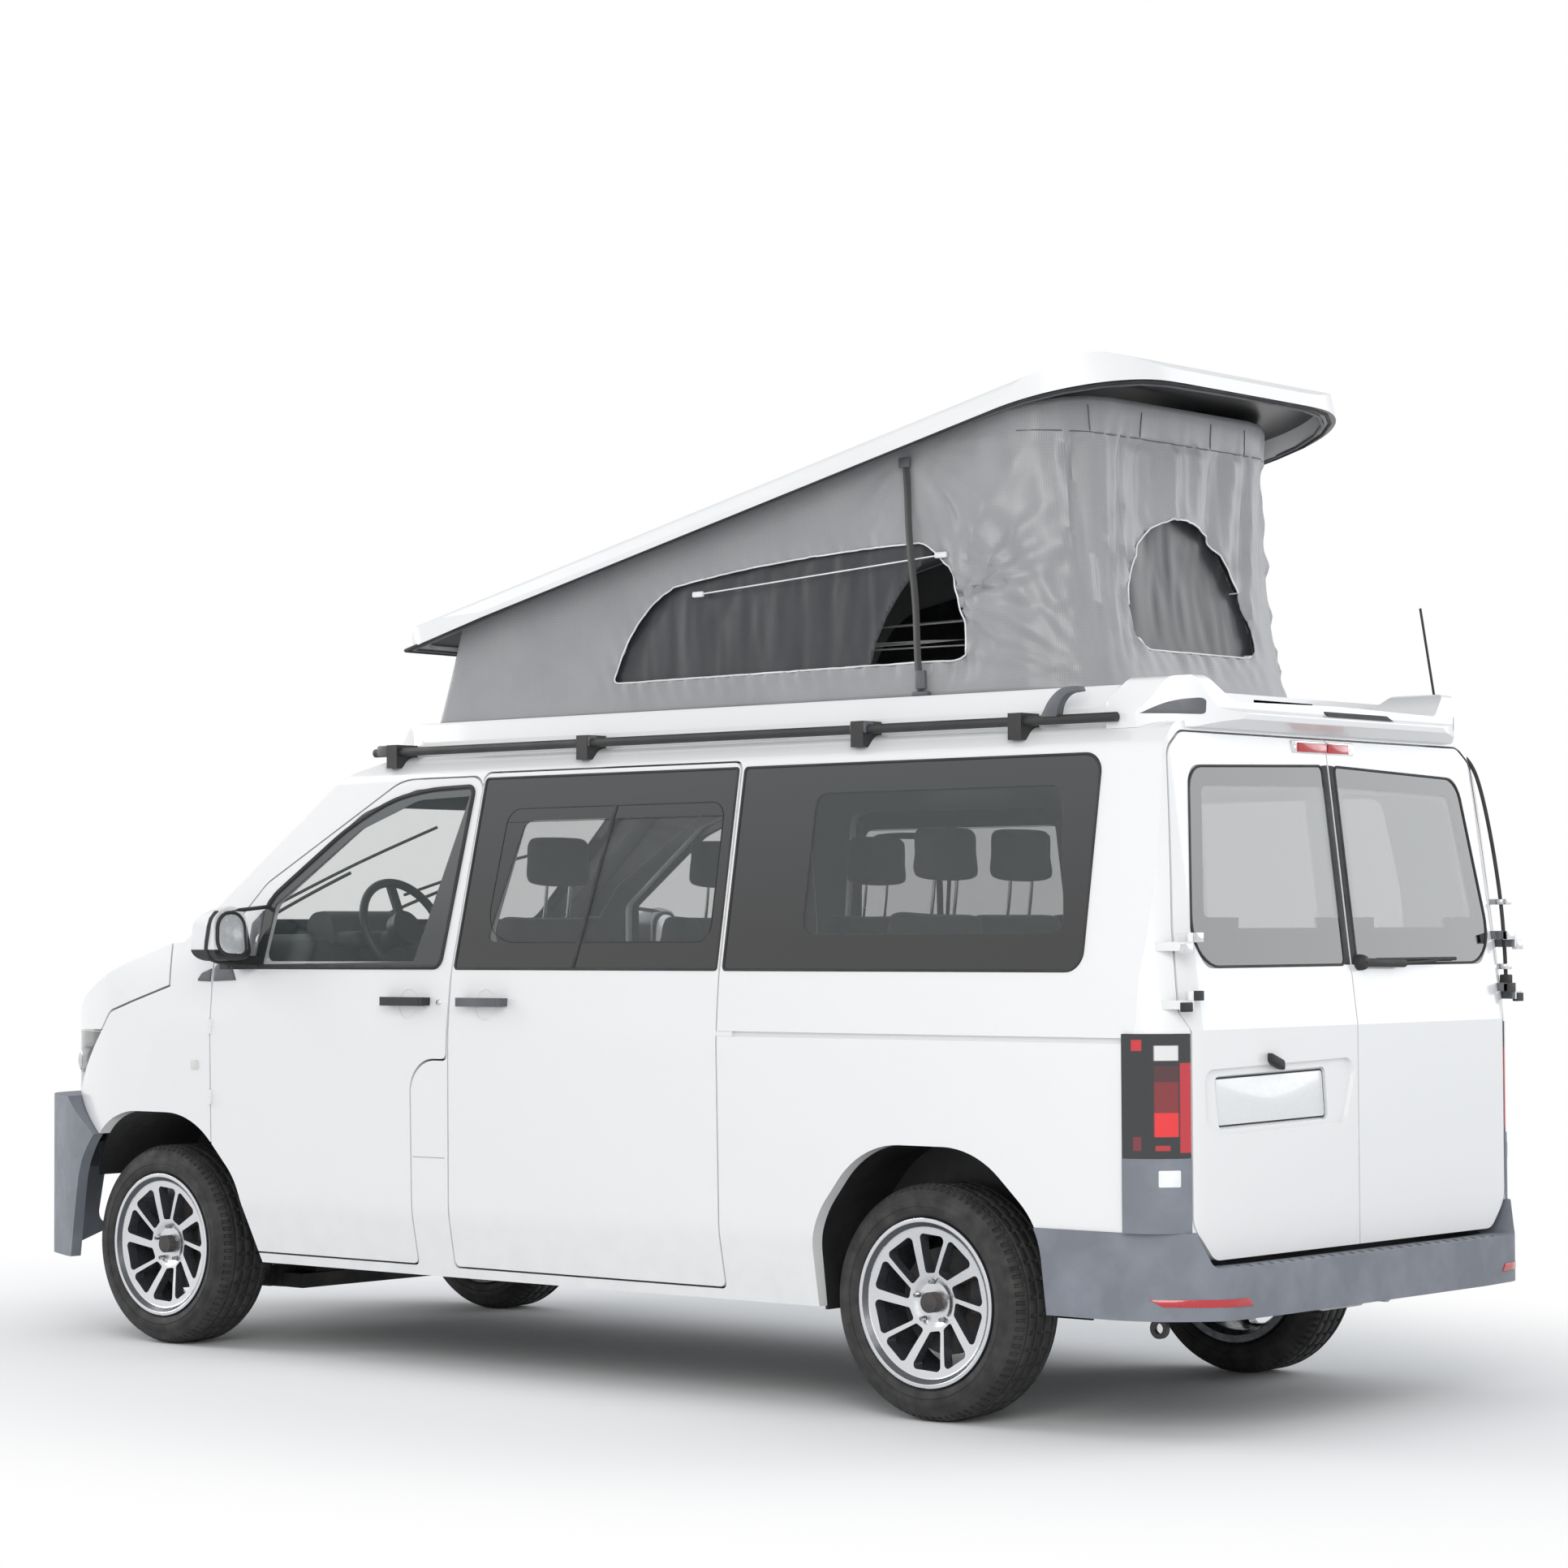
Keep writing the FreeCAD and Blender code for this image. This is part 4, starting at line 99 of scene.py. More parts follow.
def set_camera():
    """The camera at its solved place, turned by heading, rise and roll."""
    data = bpy.data.cameras.new("camera")
    data.sensor_width = SENSOR
    data.lens = LENS
    data.clip_end = 200
    camera = placed("camera", data)
    ahead = Vector((math.cos(CAMERA_RISE) * math.cos(CAMERA_HEADING),
                    math.cos(CAMERA_RISE) * math.sin(CAMERA_HEADING), math.sin(CAMERA_RISE)))
    right = ahead.cross(Vector((0, 0, 1))).normalized()
    up = right.cross(ahead)
    rolled = right * math.cos(CAMERA_ROLL) + up * math.sin(CAMERA_ROLL)
    upright = up * math.cos(CAMERA_ROLL) - right * math.sin(CAMERA_ROLL)
    turn = Matrix((rolled, upright, -ahead)).transposed()
    camera.matrix_world = Matrix.Translation(CAMERA_AT) @ turn.to_4x4()
    bpy.context.scene.camera = camera


def background_mix(holder, lit, shown):
    """What the object is lit by, and the plain background that the eye, gloss and glass see."""
    path = add_node(holder, "LightPath").outputs
    clear = sums(holder, "MAXIMUM", path["Is Glossy Ray"], path["Is Transmission Ray"])
    seen = sums(holder, "MAXIMUM", path["Is Camera Ray"], clear)
    return add_node(holder, "MixShader", (seen, lit, shown)).outputs[0]


def set_stage():
    """World, floor that fades into the background, and three soft lamps."""
    world = bpy.data.worlds.new("soft_room")
    bpy.context.scene.world = world
    world.use_nodes = True
    lit = world.node_tree.nodes["Background"]
    lit.inputs["Color"].default_value = WORLD_TINT
    lit.inputs["Strength"].default_value = WORLD_STRENGTH
    shown = add_node(world, "Background", Color=PLAIN_WHITE)
    feed(world, world.node_tree.nodes["World Output"].inputs[0],
         background_mix(world, lit.outputs[0], shown.outputs[0]))

    bm = bmesh.new()
    bmesh.ops.create_grid(bm, x_segments=1, y_segments=1, size=FLOOR_SIZE)
    floor = placed("floor", mesh_of(bm, "floor"))
    ground = finish_of("pale_floor", (0.90, 0.905, 0.91), 0.85)
    floor.data.materials.append(ground)
    shader = ground.node_tree.nodes["Principled BSDF"]
    squeezed = add_node(ground, "Mapping", (places(ground),), Scale=FLOOR_SQUEEZE)
    reach = add_node(ground, "VectorMath", (squeezed.outputs["Vector"],))
    reach.operation = "LENGTH"
    fade = add_node(ground, "MapRange", (reach.outputs["Value"], *FLOOR_FADE))
    fade.interpolation_type = "SMOOTHSTEP"
    afar = add_node(ground, "MixShader", (fade.outputs["Result"], shader.outputs[0],
                                          add_node(ground, "Emission").outputs[0]))
    feed(ground, ground.node_tree.nodes["Material Output"].inputs[0],
         background_mix(ground, shader.outputs[0], afar.outputs[0]))

    for name, place, size, power, tint in LAMPS:
        data = bpy.data.lights.new(name, "AREA")
        data.shape = "DISK"
        data.size = size
        data.energy = power
        data.color = tint
        lamp = placed(name, data)
        lamp.location = place
        lamp.rotation_mode = "QUATERNION"
        lamp.rotation_quaternion = (LAMP_AIM - lamp.location).to_track_quat("-Z", "Y")
    bpy.context.scene.view_settings.view_transform = "Standard"


# ---- shader nodes ------------------------------------------------------------------------


def finish_of(name, color, roughness, metallic=0.0, **sockets):
    """A finish whose plain numbers sit on its shader's own sockets."""
    material = bpy.data.materials.new(name)
    material.use_nodes = True
    shader = material.node_tree.nodes["Principled BSDF"]
    shader.inputs["Base Color"].default_value = (*color, 1)
    shader.inputs["Roughness"].default_value = roughness
    shader.inputs["Metallic"].default_value = metallic
    for socket, value in sockets.items():
        shader.inputs[socket.replace("_", " ")].default_value = value
    return material


def feed(material, socket, value):
    """Link a socket to another's output, or set its plain value."""
    if isinstance(value, bpy.types.NodeSocket):
        material.node_tree.links.new(value, socket)
    else:
        socket.default_value = value


def shader_socket(material, name):
    return material.node_tree.nodes["Principled BSDF"].inputs[name]


def add_node(material, kind, values=(), **inputs):
    made = material.node_tree.nodes.new("ShaderNode" + kind)
    for socket, value in zip(made.inputs, values):
        feed(material, socket, value)
    for key, value in inputs.items():
        feed(material, made.inputs[key.replace("_", " ")], value)
    return made


def sums(material, operation, *values):
    made = material.node_tree.nodes.new("ShaderNodeMath")
    made.operation = operation
    for socket, value in zip(made.inputs, values):
        feed(material, socket, value)
    return made.outputs[0]


def places(material, kind="Object"):
    return add_node(material, "TexCoord").outputs[kind]


def axis_of(material, letter, source=None):
    split = add_node(material, "SeparateXYZ", (source or places(material),))
    return split.outputs[letter]


def speckle(material, scale, detail=3.0, rough=0.5, source=None, stretch=None):
    """Fine noise over the piece, in its own coordinates, in metres."""
    where = source or places(material)
    if stretch:
        where = add_node(material, "Mapping", (where,), Scale=stretch).outputs[0]
    return add_node(material, "TexNoise", Vector=where, Scale=scale, Detail=detail,
                    Roughness=rough).outputs["Fac"]


def spread(material, value, low, high, to_low=0.0, to_high=1.0):
    made = add_node(material, "MapRange", (value, low, high, to_low, to_high))
    return made.outputs[0]


def raise_by(material, height, strength, distance):
    """Relief from a pattern, laid over whatever relief the shader already has."""
    bump = add_node(material, "Bump", Strength=strength, Distance=distance, Height=height)
    normal = shader_socket(material, "Normal")
    if normal.is_linked:
        material.node_tree.links.new(normal.links[0].from_socket, bump.inputs["Normal"])
    material.node_tree.links.new(bump.outputs[0], normal)


def tint_by(material, factor, low, high, socket="Base Color"):
    """Colour between two tones by a pattern."""
    mix = material.node_tree.nodes.new("ShaderNodeMix")
    mix.data_type = "RGBA"
    feed(material, mix.inputs[0], factor)
    for port, tone in ((mix.inputs[6], low), (mix.inputs[7], high)):
        feed(material, port, tone if isinstance(tone, bpy.types.NodeSocket) else (*tone, 1))
    material.node_tree.links.new(mix.outputs[2], shader_socket(material, socket))
    return mix.outputs[2]


def vary_roughness(material, scale, low, high, detail=4.0):
    fine = speckle(material, scale, detail)
    feed(material, shader_socket(material, "Roughness"), spread(material, fine, 0.3, 0.7, low, high))


def within(material, corners, rounding, letters=("X", "Z"), source=None):
    """Signed distance to a convex outline with rounded corners, below nought inside."""
    split = add_node(material, "SeparateXYZ", (source or places(material),))
    across, up = split.outputs[letters[0]], split.outputs[letters[1]]
    centre = [sum(c[i] for c in corners) / len(corners) for i in (0, 1)]
    distance = None
    for first, second in zip(corners, corners[1:] + corners[:1]):
        along = Vector((second[0] - first[0], second[1] - first[1])).normalized()
        out = Vector((along.y, -along.x))
        if out.dot(Vector(first) - Vector(centre)) < 0:
            out = -out
        edge = sums(material, "MULTIPLY_ADD", up, out.y, -out.dot(Vector(first)))
        edge = sums(material, "MULTIPLY_ADD", across, out.x, edge)
        distance = edge if distance is None else sums(material, "SMOOTH_MAX", distance, edge, rounding)
    return distance


def mask(material, distance, blur=0.0015):
    """1 inside an outline, 0 outside."""
    return spread(material, distance, blur, -blur)


# ---- finishes ----------------------------------------------------------------------------

DUST = (0.58, 0.56, 0.53)
BODY_WHITE = (0.80, 0.80, 0.81)
BLACK_MOULDING = (0.016, 0.016, 0.017)
PAINT = (0.80, 0.805, 0.81)
CABIN_LINING = (0.10, 0.105, 0.115)
SILL_FOOT, SILL_HEAD = 0.30, 0.62


def make_paint():
    """White paint under a clear coat, dusty at the sills, with the dark lining on its inner side."""
    material = finish_of("white_paint", PAINT, 0.28, Coat_Weight=0.6, Coat_Roughness=0.05)
    low = spread(material, axis_of(material, "Z"), SILL_FOOT, SILL_HEAD, 0.20, 0.0)
    dust = sums(material, "MULTIPLY", low, spread(material, speckle(material, 14, 6), 0.35, 0.7))
    color = tint_by(material, dust, PAINT, DUST)
    inward = sums(material, "MULTIPLY", axis_of(material, "Y", places(material, "Normal")),
                  axis_of(material, "Y"))
    cabin = sums(material, "MULTIPLY", spread(material, inward, -0.35, -0.45),
                 spread(material, axis_of(material, "Z"), 0.52, 0.54))
    tint_by(material, cabin, color, CABIN_LINING)
    raise_by(material, speckle(material, 420, 1), 0.02, 0.0003)
    return material


def make_shell_white():
    """Moulded roof in white gel coat, near black wherever it faces downward."""
    material = finish_of("moulded_white", (0.78, 0.785, 0.79), 0.38, Coat_Weight=0.25, Coat_Roughness=0.2)
    color = tint_by(material, spread(material, speckle(material, 2.2, 5), 0.3, 0.7), (0.77, 0.775, 0.78),
                    PAINT)
    # near black on faces that turn downward
    under = spread(material, axis_of(material, "Z", places(material, "Normal")), -0.45, -0.60)
    tint_by(material, under, color, (0.012, 0.012, 0.013))
    raise_by(material, speckle(material, 55, 2), 0.04, 0.0008)
    return material


def make_plastic(name, color, roughness, scale=900, depth=0.25):
    """Moulded plastic with a fine grain and slightly paler, worn high spots."""
    material = finish_of(name, color, roughness)
    worn = spread(material, speckle(material, 7, 6), 0.42, 0.8)
    tint_by(material, worn, color, tuple(min(1, tone * 1.35 + 0.01) for tone in color))
    raise_by(material, speckle(material, scale, 2, 0.7), depth, 0.0003)
    vary_roughness(material, 30, roughness - 0.06, roughness + 0.06)
    return material


CAP_DEPTH = 0.150
CAP_FOOT = 1.366


def make_door_trim():
    """Black moulding whose mirror housings carry a painted cap."""
    material = make_plastic("door_trim_moulding", BLACK_MOULDING, 0.5)
    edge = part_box("front_door_trim_left")[1].y
    beyond = spread(material, sums(material, "ABSOLUTE", axis_of(material, "Y")), edge - CAP_DEPTH,
                    edge - 0.147)
    above = spread(material, axis_of(material, "Z"), CAP_FOOT, 1.368)
    cap = sums(material, "MULTIPLY", beyond, above)
    moulded = tint_by(material, speckle(material, 30, 3), tuple(tone * 0.85 for tone in BLACK_MOULDING),
                      BLACK_MOULDING)
    tint_by(material, cap, moulded, BODY_WHITE)
    return material


def make_metal(name, color, roughness, scale=70):
    material = finish_of(name, color, roughness, 1.0)
    vary_roughness(material, scale, roughness - 0.1, roughness + 0.12)
    tint_by(material, spread(material, speckle(material, 18, 5), 0.3, 0.75), color,
            tuple(tone * 0.72 for tone in color))
    raise_by(material, speckle(material, scale * 5, 3), 0.12, 0.0005)
    return material


CHASSIS_BLACK = (0.035, 0.035, 0.037)


def make_coated_steel():
    """Black chassis coating with road dust and a trace of rust."""
    material = finish_of("chassis_coat", CHASSIS_BLACK, 0.62)
    dusty = spread(material, speckle(material, 8, 6), 0.45, 0.8)
    tint_by(material, dusty, CHASSIS_BLACK, (0.10, 0.085, 0.07))
    raise_by(material, speckle(material, 260, 3), 0.35, 0.0008)
    vary_roughness(material, 20, 0.52, 0.75)
    return material


def make_rubber():
    """Tyre rubber, greyer where it has worn and dusted."""
    material = finish_of("tread_rubber", (0.022, 0.022, 0.023), 0.72)
    tint_by(material, spread(material, speckle(material, 16, 6), 0.4, 0.8), (0.018, 0.018, 0.019),
            (0.05, 0.048, 0.045))
    raise_by(material, speckle(material, 600, 2), 0.3, 0.0004)
    vary_roughness(material, 25, 0.62, 0.85)
    return material


def make_alloy():
    """Machined faces between dark painted pockets."""
    material = finish_of("machined_alloy", (0.62, 0.63, 0.65), 0.26, 1.0)
    facing = sums(material, "ABSOLUTE", axis_of(material, "Y", places(material, "Normal")))
    face = spread(material, facing, 0.80, 0.86)
    outboard = spread(material, sums(material, "ABSOLUTE", axis_of(material, "Y")), 0.835, 0.842)
    machined = sums(material, "MULTIPLY", face, outboard)
    tint_by(material, machined, (0.085, 0.09, 0.10), (0.66, 0.67, 0.69))
    feed(material, shader_socket(material, "Metallic"), spread(material, machined, 0, 1, 0.45, 1.0))
    raise_by(material, speckle(material, 220, 2, stretch=(1, 12, 1)), 0.06, 0.0003)
    vary_roughness(material, 40, 0.2, 0.36)
    return material


def make_cloth(name, dark, pale, threads, depth=0.5, roughness=0.85, sheen=0.25):
    """Plain woven cloth: warp and weft as two crossed waves; its colour runs between a painted shaded
    tone and a painted lit tone by the weave and broad noise.
    """
    material = finish_of(name, pale, roughness, Sheen_Weight=sheen, Sheen_Roughness=0.5)
    yarns = []
    for way in ("X", "Y"):
        yarn = add_node(material, "TexWave", Vector=places(material, "UV"), Scale=threads, Distortion=0.6,
                        Detail=1.0, Detail_Scale=1.5)
        yarn.bands_direction = way
        yarns.append(yarn.outputs["Fac"])
    weave = sums(material, "MULTIPLY", *yarns)
    # painted shade and light: the weave and broad noise blend the cloth's shaded tone into its lit tone
    painted_light_and_shade = sums(material, "ADD", sums(material, "MULTIPLY", weave, 0.5),
                 sums(material, "MULTIPLY", speckle(material, 5, 5), 0.5))
    tint_by(material, spread(material, painted_light_and_shade, 0.15, 0.75), dark, pale)
    raise_by(material, weave, depth, 0.0006)
    return material


# heights over which the painted reflection on the printed border runs from dark at its foot to full tone
# at its head
PAINTED_REFLECTION_FOOT, PAINTED_REFLECTION_HEAD = 1.40, 1.92


def make_tinted_glass(name, color, clear_alpha, openings, letters=("X", "Z"),
                      border=(0.030, 0.032, 0.036)):
    """Glass with a dark printed border round each clear opening, and a painted reflection that deepens
    the border's tone towards its foot.
    """
    material = finish_of(name, color, 0.04, Specular_IOR_Level=0.6, Coat_Weight=0.5,
                         Coat_Roughness=0.02)
    raise_by(material, speckle(material, 2.5, 1), 0.015, 0.002)
    inside = None
    for corners, rounding in openings:
        distance = within(material, corners, rounding, letters)
        inside = distance if inside is None else sums(material, "MINIMUM", inside, distance)
    if inside is None:
        shader_socket(material, "Alpha").default_value = clear_alpha
    else:
        clear = mask(material, inside)
        # painted reflection: the print is darkened towards its foot, the dark lower part of a reflection
        # painted into the border
        height = spread(material, axis_of(material, "Z"), PAINTED_REFLECTION_FOOT, PAINTED_REFLECTION_HEAD)
        print_and_painted_reflection = tint_by(material, height, tuple(tone * 0.25 for tone in border), border)
        tint_by(material, clear, print_and_painted_reflection, color)
        feed(material, shader_socket(material, "Alpha"), spread(material, clear, 0, 1, 1.0, clear_alpha))
    return material


SMOKED = (0.007, 0.010, 0.014)
LAMP_BLOCKS = (
    # foot, head, colour of each block on the rear face
    (0.850, 0.916, (0.75, 0.014, 0.018)),
    (0.916, 1.001, (0.20, 0.008, 0.013)),
    (1.001, 1.045, (0.060, 0.010, 0.014)),
    (1.059, 1.100, (0.70, 0.70, 0.69)),
)


def strip_of(material, value, low, high, blur=0.0012):
    """One between two values and nought outside them."""
    return sums(material, "MULTIPLY", spread(material, value, low - blur, low + blur),
                spread(material, value, high + blur, high - blur))


LAMP_SQUARES = (
    # foot, head, rear end, front end, colour of each block on the lamp's side face
    (1.086, 1.116, -2.468, -2.440, (0.55, 0.012, 0.018)),
    (0.812, 0.850, -2.466, -2.444, (0.16, 0.012, 0.022)),
    (0.812, 0.826, -2.530, -2.500, (0.45, 0.012, 0.018)),
)
LAMP_EDGE_RED = (0.50, 0.010, 0.026)


def make_tail_glass():
    """Tail lamp: smoked side, stacked red and clear blocks behind, and a red inboard edge."""
    material = finish_of("tail_lamp", SMOKED, 0.07, Coat_Weight=0.8, Coat_Roughness=0.03)
    ahead, height = axis_of(material, "X"), axis_of(material, "Z")
    across = sums(material, "ABSOLUTE", axis_of(material, "Y"))
    behind = spread(material, ahead, -2.496, -2.500)
    block = sums(material, "MULTIPLY", behind, spread(material, across, 0.876, 0.879))
    color = SMOKED
    for foot, head, tone in LAMP_BLOCKS:
        lit = sums(material, "MULTIPLY", block, strip_of(material, height, foot, head))
        color = tint_by(material, lit, color, tone)
    inboard = sums(material, "MULTIPLY", behind, spread(material, across, 0.875, 0.872))
    edge = sums(material, "MULTIPLY", inboard, strip_of(material, height, 0.806, 1.052))
    color = tint_by(material, edge, color, LAMP_EDGE_RED)
    for low, high, start, end, tone in LAMP_SQUARES:
        square = sums(material, "MULTIPLY", strip_of(material, height, low, high),
                      strip_of(material, ahead, start, end))
        color = tint_by(material, square, color, tone)
    ribs = add_node(material, "TexWave", Vector=places(material), Scale=36.0, Distortion=0.0)
    ribs.bands_direction = "Z"
    raise_by(material, ribs.outputs["Fac"], 0.10, 0.0008)
    return material


FINISHES = {}
SLIDER_OPENING = [(-0.850, 1.390), (0.106, 1.390), (-0.004, 1.775), (-0.850, 1.775)]
QUARTER_OPENING = [(-2.184, 1.410), (-1.217, 1.410), (-1.217, 1.831), (-2.130, 1.831)]
FRONT_OPENING = [(1.168, 1.315), (1.140, 1.515), (0.760, 1.765), (0.500, 1.855), (0.265, 1.862),
                 (0.430, 1.327)]
REAR_OPENINGS = [opening for side in (LEFT, RIGHT) for opening in (
    ([(side * 0.012, 1.452), (side * 0.725, 1.452), (side * 0.665, 1.822), (side * 0.012, 1.835)], 0.035),
    ([(side * 0.150, 1.422), (side * 0.560, 1.422), (side * 0.540, 1.50), (side * 0.165, 1.50)], 0.006))]
SCREEN_OPENING = [(-0.745, 1.47), (0.745, 1.47), (0.655, 1.855), (-0.655, 1.855)]
DOOR_TINT = (0.16, 0.19, 0.19)
PLASTICS = {
    # key: name, colour, roughness, scale and depth of its grain
    "black_plastic": ("black_moulding", BLACK_MOULDING, 0.5),
    "grey_plastic": ("grey_moulding", (0.170, 0.185, 0.215), 0.6, 700, 0.3),
    "smoke_plastic": ("smoke_moulding", (0.085, 0.09, 0.10), 0.5, 700, 0.25),
    "dash_plastic": ("dash_moulding", (0.03, 0.03, 0.034), 0.62, 500, 0.4),
    "floor_cover": ("floor_mat", (0.06, 0.06, 0.065), 0.85, 300, 0.4),
    "seal": ("rubber_seal", (0.02, 0.02, 0.021), 0.7, 900, 0.1),
    "piping": ("white_piping", (0.72, 0.73, 0.74), 0.5, 500, 0.1),
    "cap_grey": ("cap_grey", (0.42, 0.43, 0.45), 0.35, 400, 0.1),
    "seam_grey": ("seam_grey", (0.30, 0.31, 0.32), 0.6, 400, 0.1),
    "clear_lens": ("clear_lens", (0.60, 0.60, 0.58), 0.15, 240, 0.1),
    "mirror_dark": ("dark_screen", (0.01, 0.01, 0.012), 0.12, 60, 0.02),
}
CLOTHS = {
    # key: name, painted shaded tone and painted lit tone, threads, depth of the weave, roughness, sheen
    "tent_cloth": ("tent_cloth", (0.25, 0.255, 0.265), (0.37, 0.375, 0.385), 60, 0.25, 0.40, 0.10),
    "netting": ("window_netting", (0.012, 0.013, 0.016), (0.040, 0.043, 0.052), 90, 0.25, 0.34),
    "webbing": ("webbing_cloth", (0.012, 0.012, 0.013), (0.04, 0.04, 0.042), 150, 0.6, 0.6),
    "seat_cloth": ("seat_cloth", (0.035, 0.035, 0.04), (0.085, 0.085, 0.095), 70, 0.4),
}
METALS = {
    "steel": ("bare_steel", (0.42, 0.42, 0.43), 0.38),
    "chrome": ("bright_metal", (0.75, 0.76, 0.78), 0.16),
}
GLASSES = {
    # key: name, colour, alpha of the openings, each opening and its rounding, axes, border
    "side_glass": ("side_glass_tint", (0.10, 0.11, 0.115), 0.30,
                   [(SLIDER_OPENING, 0.05), (QUARTER_OPENING, 0.07)]),
    "rear_glass": ("rear_glass_tint", (0.33, 0.34, 0.335), 0.60, REAR_OPENINGS, ("Y", "Z")),
    "front_glass": ("door_glass_tint", DOOR_TINT, 0.12, [(FRONT_OPENING, 0.012)], ("X", "Z"),
                    (0.10, 0.11, 0.115)),
    "windscreen": ("windscreen_tint", DOOR_TINT, 0.12, [(SCREEN_OPENING, 0.05)], ("Y", "Z")),
    "lamp_glass": ("lamp_cover", (0.07, 0.075, 0.08), 0.55, []),
}


def make_finishes():
    """Every finish that a node or a piece may wear."""
    for make, rows in ((make_plastic, PLASTICS), (make_cloth, CLOTHS), (make_metal, METALS),
                       (make_tinted_glass, GLASSES)):
        FINISHES.update({key: make(*row) for key, row in rows.items()})
    FINISHES.update(
        body_paint=make_paint(), shell_white=make_shell_white(), door_trim=make_door_trim(),
        tail_glass=make_tail_glass(), tyre_rubber=make_rubber(), alloy=make_alloy(),
        chassis_steel=make_coated_steel(),
        mirror=finish_of("mirror_plate", (0.66, 0.68, 0.70), 0.06, 0.35, Coat_Weight=0.6,
                         Coat_Roughness=0.02),
        red_lens=finish_of("red_lens", (0.46, 0.012, 0.02), 0.12, Coat_Weight=0.7, Coat_Roughness=0.03),
        plate_white=finish_of("plate_face", (0.74, 0.75, 0.76), 0.35, Coat_Weight=0.3),
    )
    for name in ("red_lens", "plate_white", "mirror"):
        raise_by(FINISHES[name], speckle(FINISHES[name], 240, 1), 0.08, 0.0004)
        vary_roughness(FINISHES[name], 60, 0.1, 0.3)


SPECIAL_FINISH = {
    "rear_door_glass_left": "rear_glass", "rear_door_glass_right": "rear_glass",
    "front_door_glass_left": "front_glass", "front_door_glass_right": "front_glass",
    "side_glass": "side_glass", "windscreen": "windscreen", "sliding_door_handles": "smoke_plastic",
    "front_door_trim_left": "door_trim", "front_door_trim_right": "door_trim",
}


def dress_nodes():
    """Every CAD node gets its own finish on its material slots."""
    slots = {part["node"]: part["material_slot"] for part in frame["record"]["subparts"]}
    for name, thing in NODES.items():
        thing.data.materials.clear()
        thing.data.materials.append(FINISHES[SPECIAL_FINISH.get(name, slots[name])])


# ---- mesh tools --------------------------------------------------------------------------


def piece_of(bm, name, finish, body, smooth=35):
    """A piece from a finished form, riding on its body."""
    bmesh.ops.remove_doubles(bm, verts=bm.verts, dist=1e-5)
    mesh = mesh_of(bm, name)
    piece = placed(name, mesh)
    mesh.materials.append(FINISHES[finish])
    if smooth:
        for face in mesh.polygons:
            face.use_smooth = True
        mesh.set_sharp_from_angle(angle=math.radians(smooth))
    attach(piece, body)
    return piece


def flat_point(across, up):
    return Vector((across, up, 0))


def verts_in(made):
    """The corners among what a mesh operator returned."""
    return [item for item in made if isinstance(item, bmesh.types.BMVert)]


def soften(bm, edges, width, segments=2):
    bmesh.ops.bevel(bm, geom=edges, offset=width, segments=segments, profile=0.5, affect="EDGES",
                    material=-1, clamp_overlap=True)


def lay_weave(bm, flat_of):
    """The cloth's own flat coordinates, in metres; flat_of gives them for the corners of a face."""
    uv = bm.loops.layers.uv.new("weave")
    for face in bm.faces:
        flatten = flat_of(face)
        for loop in face.loops:
            loop[uv].uv = flatten(loop.vert.co)


def cut_up(bm, corners, parts_in):
    """Cut a flat sheet both ways, so that it can follow a curve."""
    for letter, way in ((0, (1, 0, 0)), (1, (0, 1, 0))):
        marks = [corner[letter] for corner in corners]
        low, high = min(marks), max(marks)
        parts = parts_in(high - low)
        for number in range(1, parts):
            at = low + (high - low) * number / parts
            bmesh.ops.bisect_plane(bm, geom=bm.verts[:] + bm.edges[:] + bm.faces[:], dist=1e-6,
                                   plane_co=(at, at, 0), plane_no=way)


def outline_face(bm, corners, place):
    """A flat face with rounded corners: each corner is across, up and its rounding."""
    verts = [bm.verts.new(place(across, up)) for across, up, _ in corners]
    bm.faces.new(verts)
    for vert, (_, _, rounding) in zip(verts, corners):
        if rounding:
            bmesh.ops.bevel(bm, geom=[vert], offset=rounding, offset_type="OFFSET", segments=5,
                            profile=0.5, affect="VERTICES", material=-1)
    bm.faces.ensure_lookup_table()
    return bm.faces[-1]


def plate(corners, place, out, thick, soft=0.0):
    """A thin part cut to an outline, its face softened by a bevel."""
    bm = bmesh.new()
    outline_face(bm, corners, place)
    moved = verts_in(bmesh.ops.extrude_face_region(bm, geom=bm.faces[:])["geom"])
    bmesh.ops.translate(bm, verts=moved, vec=Vector(out) * thick)
    bmesh.ops.recalc_face_normals(bm, faces=bm.faces[:])
    if soft:
        soften(bm, [edge for edge in bm.edges if all(vert in moved for vert in edge.verts)], soft)
    return bm


def box_form(low, high, soft=0.0, segments=2):
    """A block between two corners with softened edges."""
    bm = bmesh.new()
    low, high = Vector(low), Vector(high)
    bmesh.ops.create_cube(bm, size=1)
    bmesh.ops.scale(bm, vec=high - low, verts=bm.verts[:])
    bmesh.ops.translate(bm, vec=(high + low) / 2, verts=bm.verts[:])
    if soft:
        soften(bm, bm.edges[:], soft, segments)
    return bm


def box_at(place, low, high, soft=0.0, segments=2):
    """A block between two corners that are measured from a place."""
    return box_form(place + Vector(low), place + Vector(high), soft, segments)


def side_box(side, low, high, soft):
    """A block given on the left, set on either side of the van."""
    inner, outer = sorted((side * low[1], side * high[1]))
    return box_form((low[0], inner, low[2]), (high[0], outer, high[2]), soft)


def sided(side, corners):
    """An outline given on the left, for either side of the van."""
    return [(side * across, up, rounding) for across, up, rounding in corners]


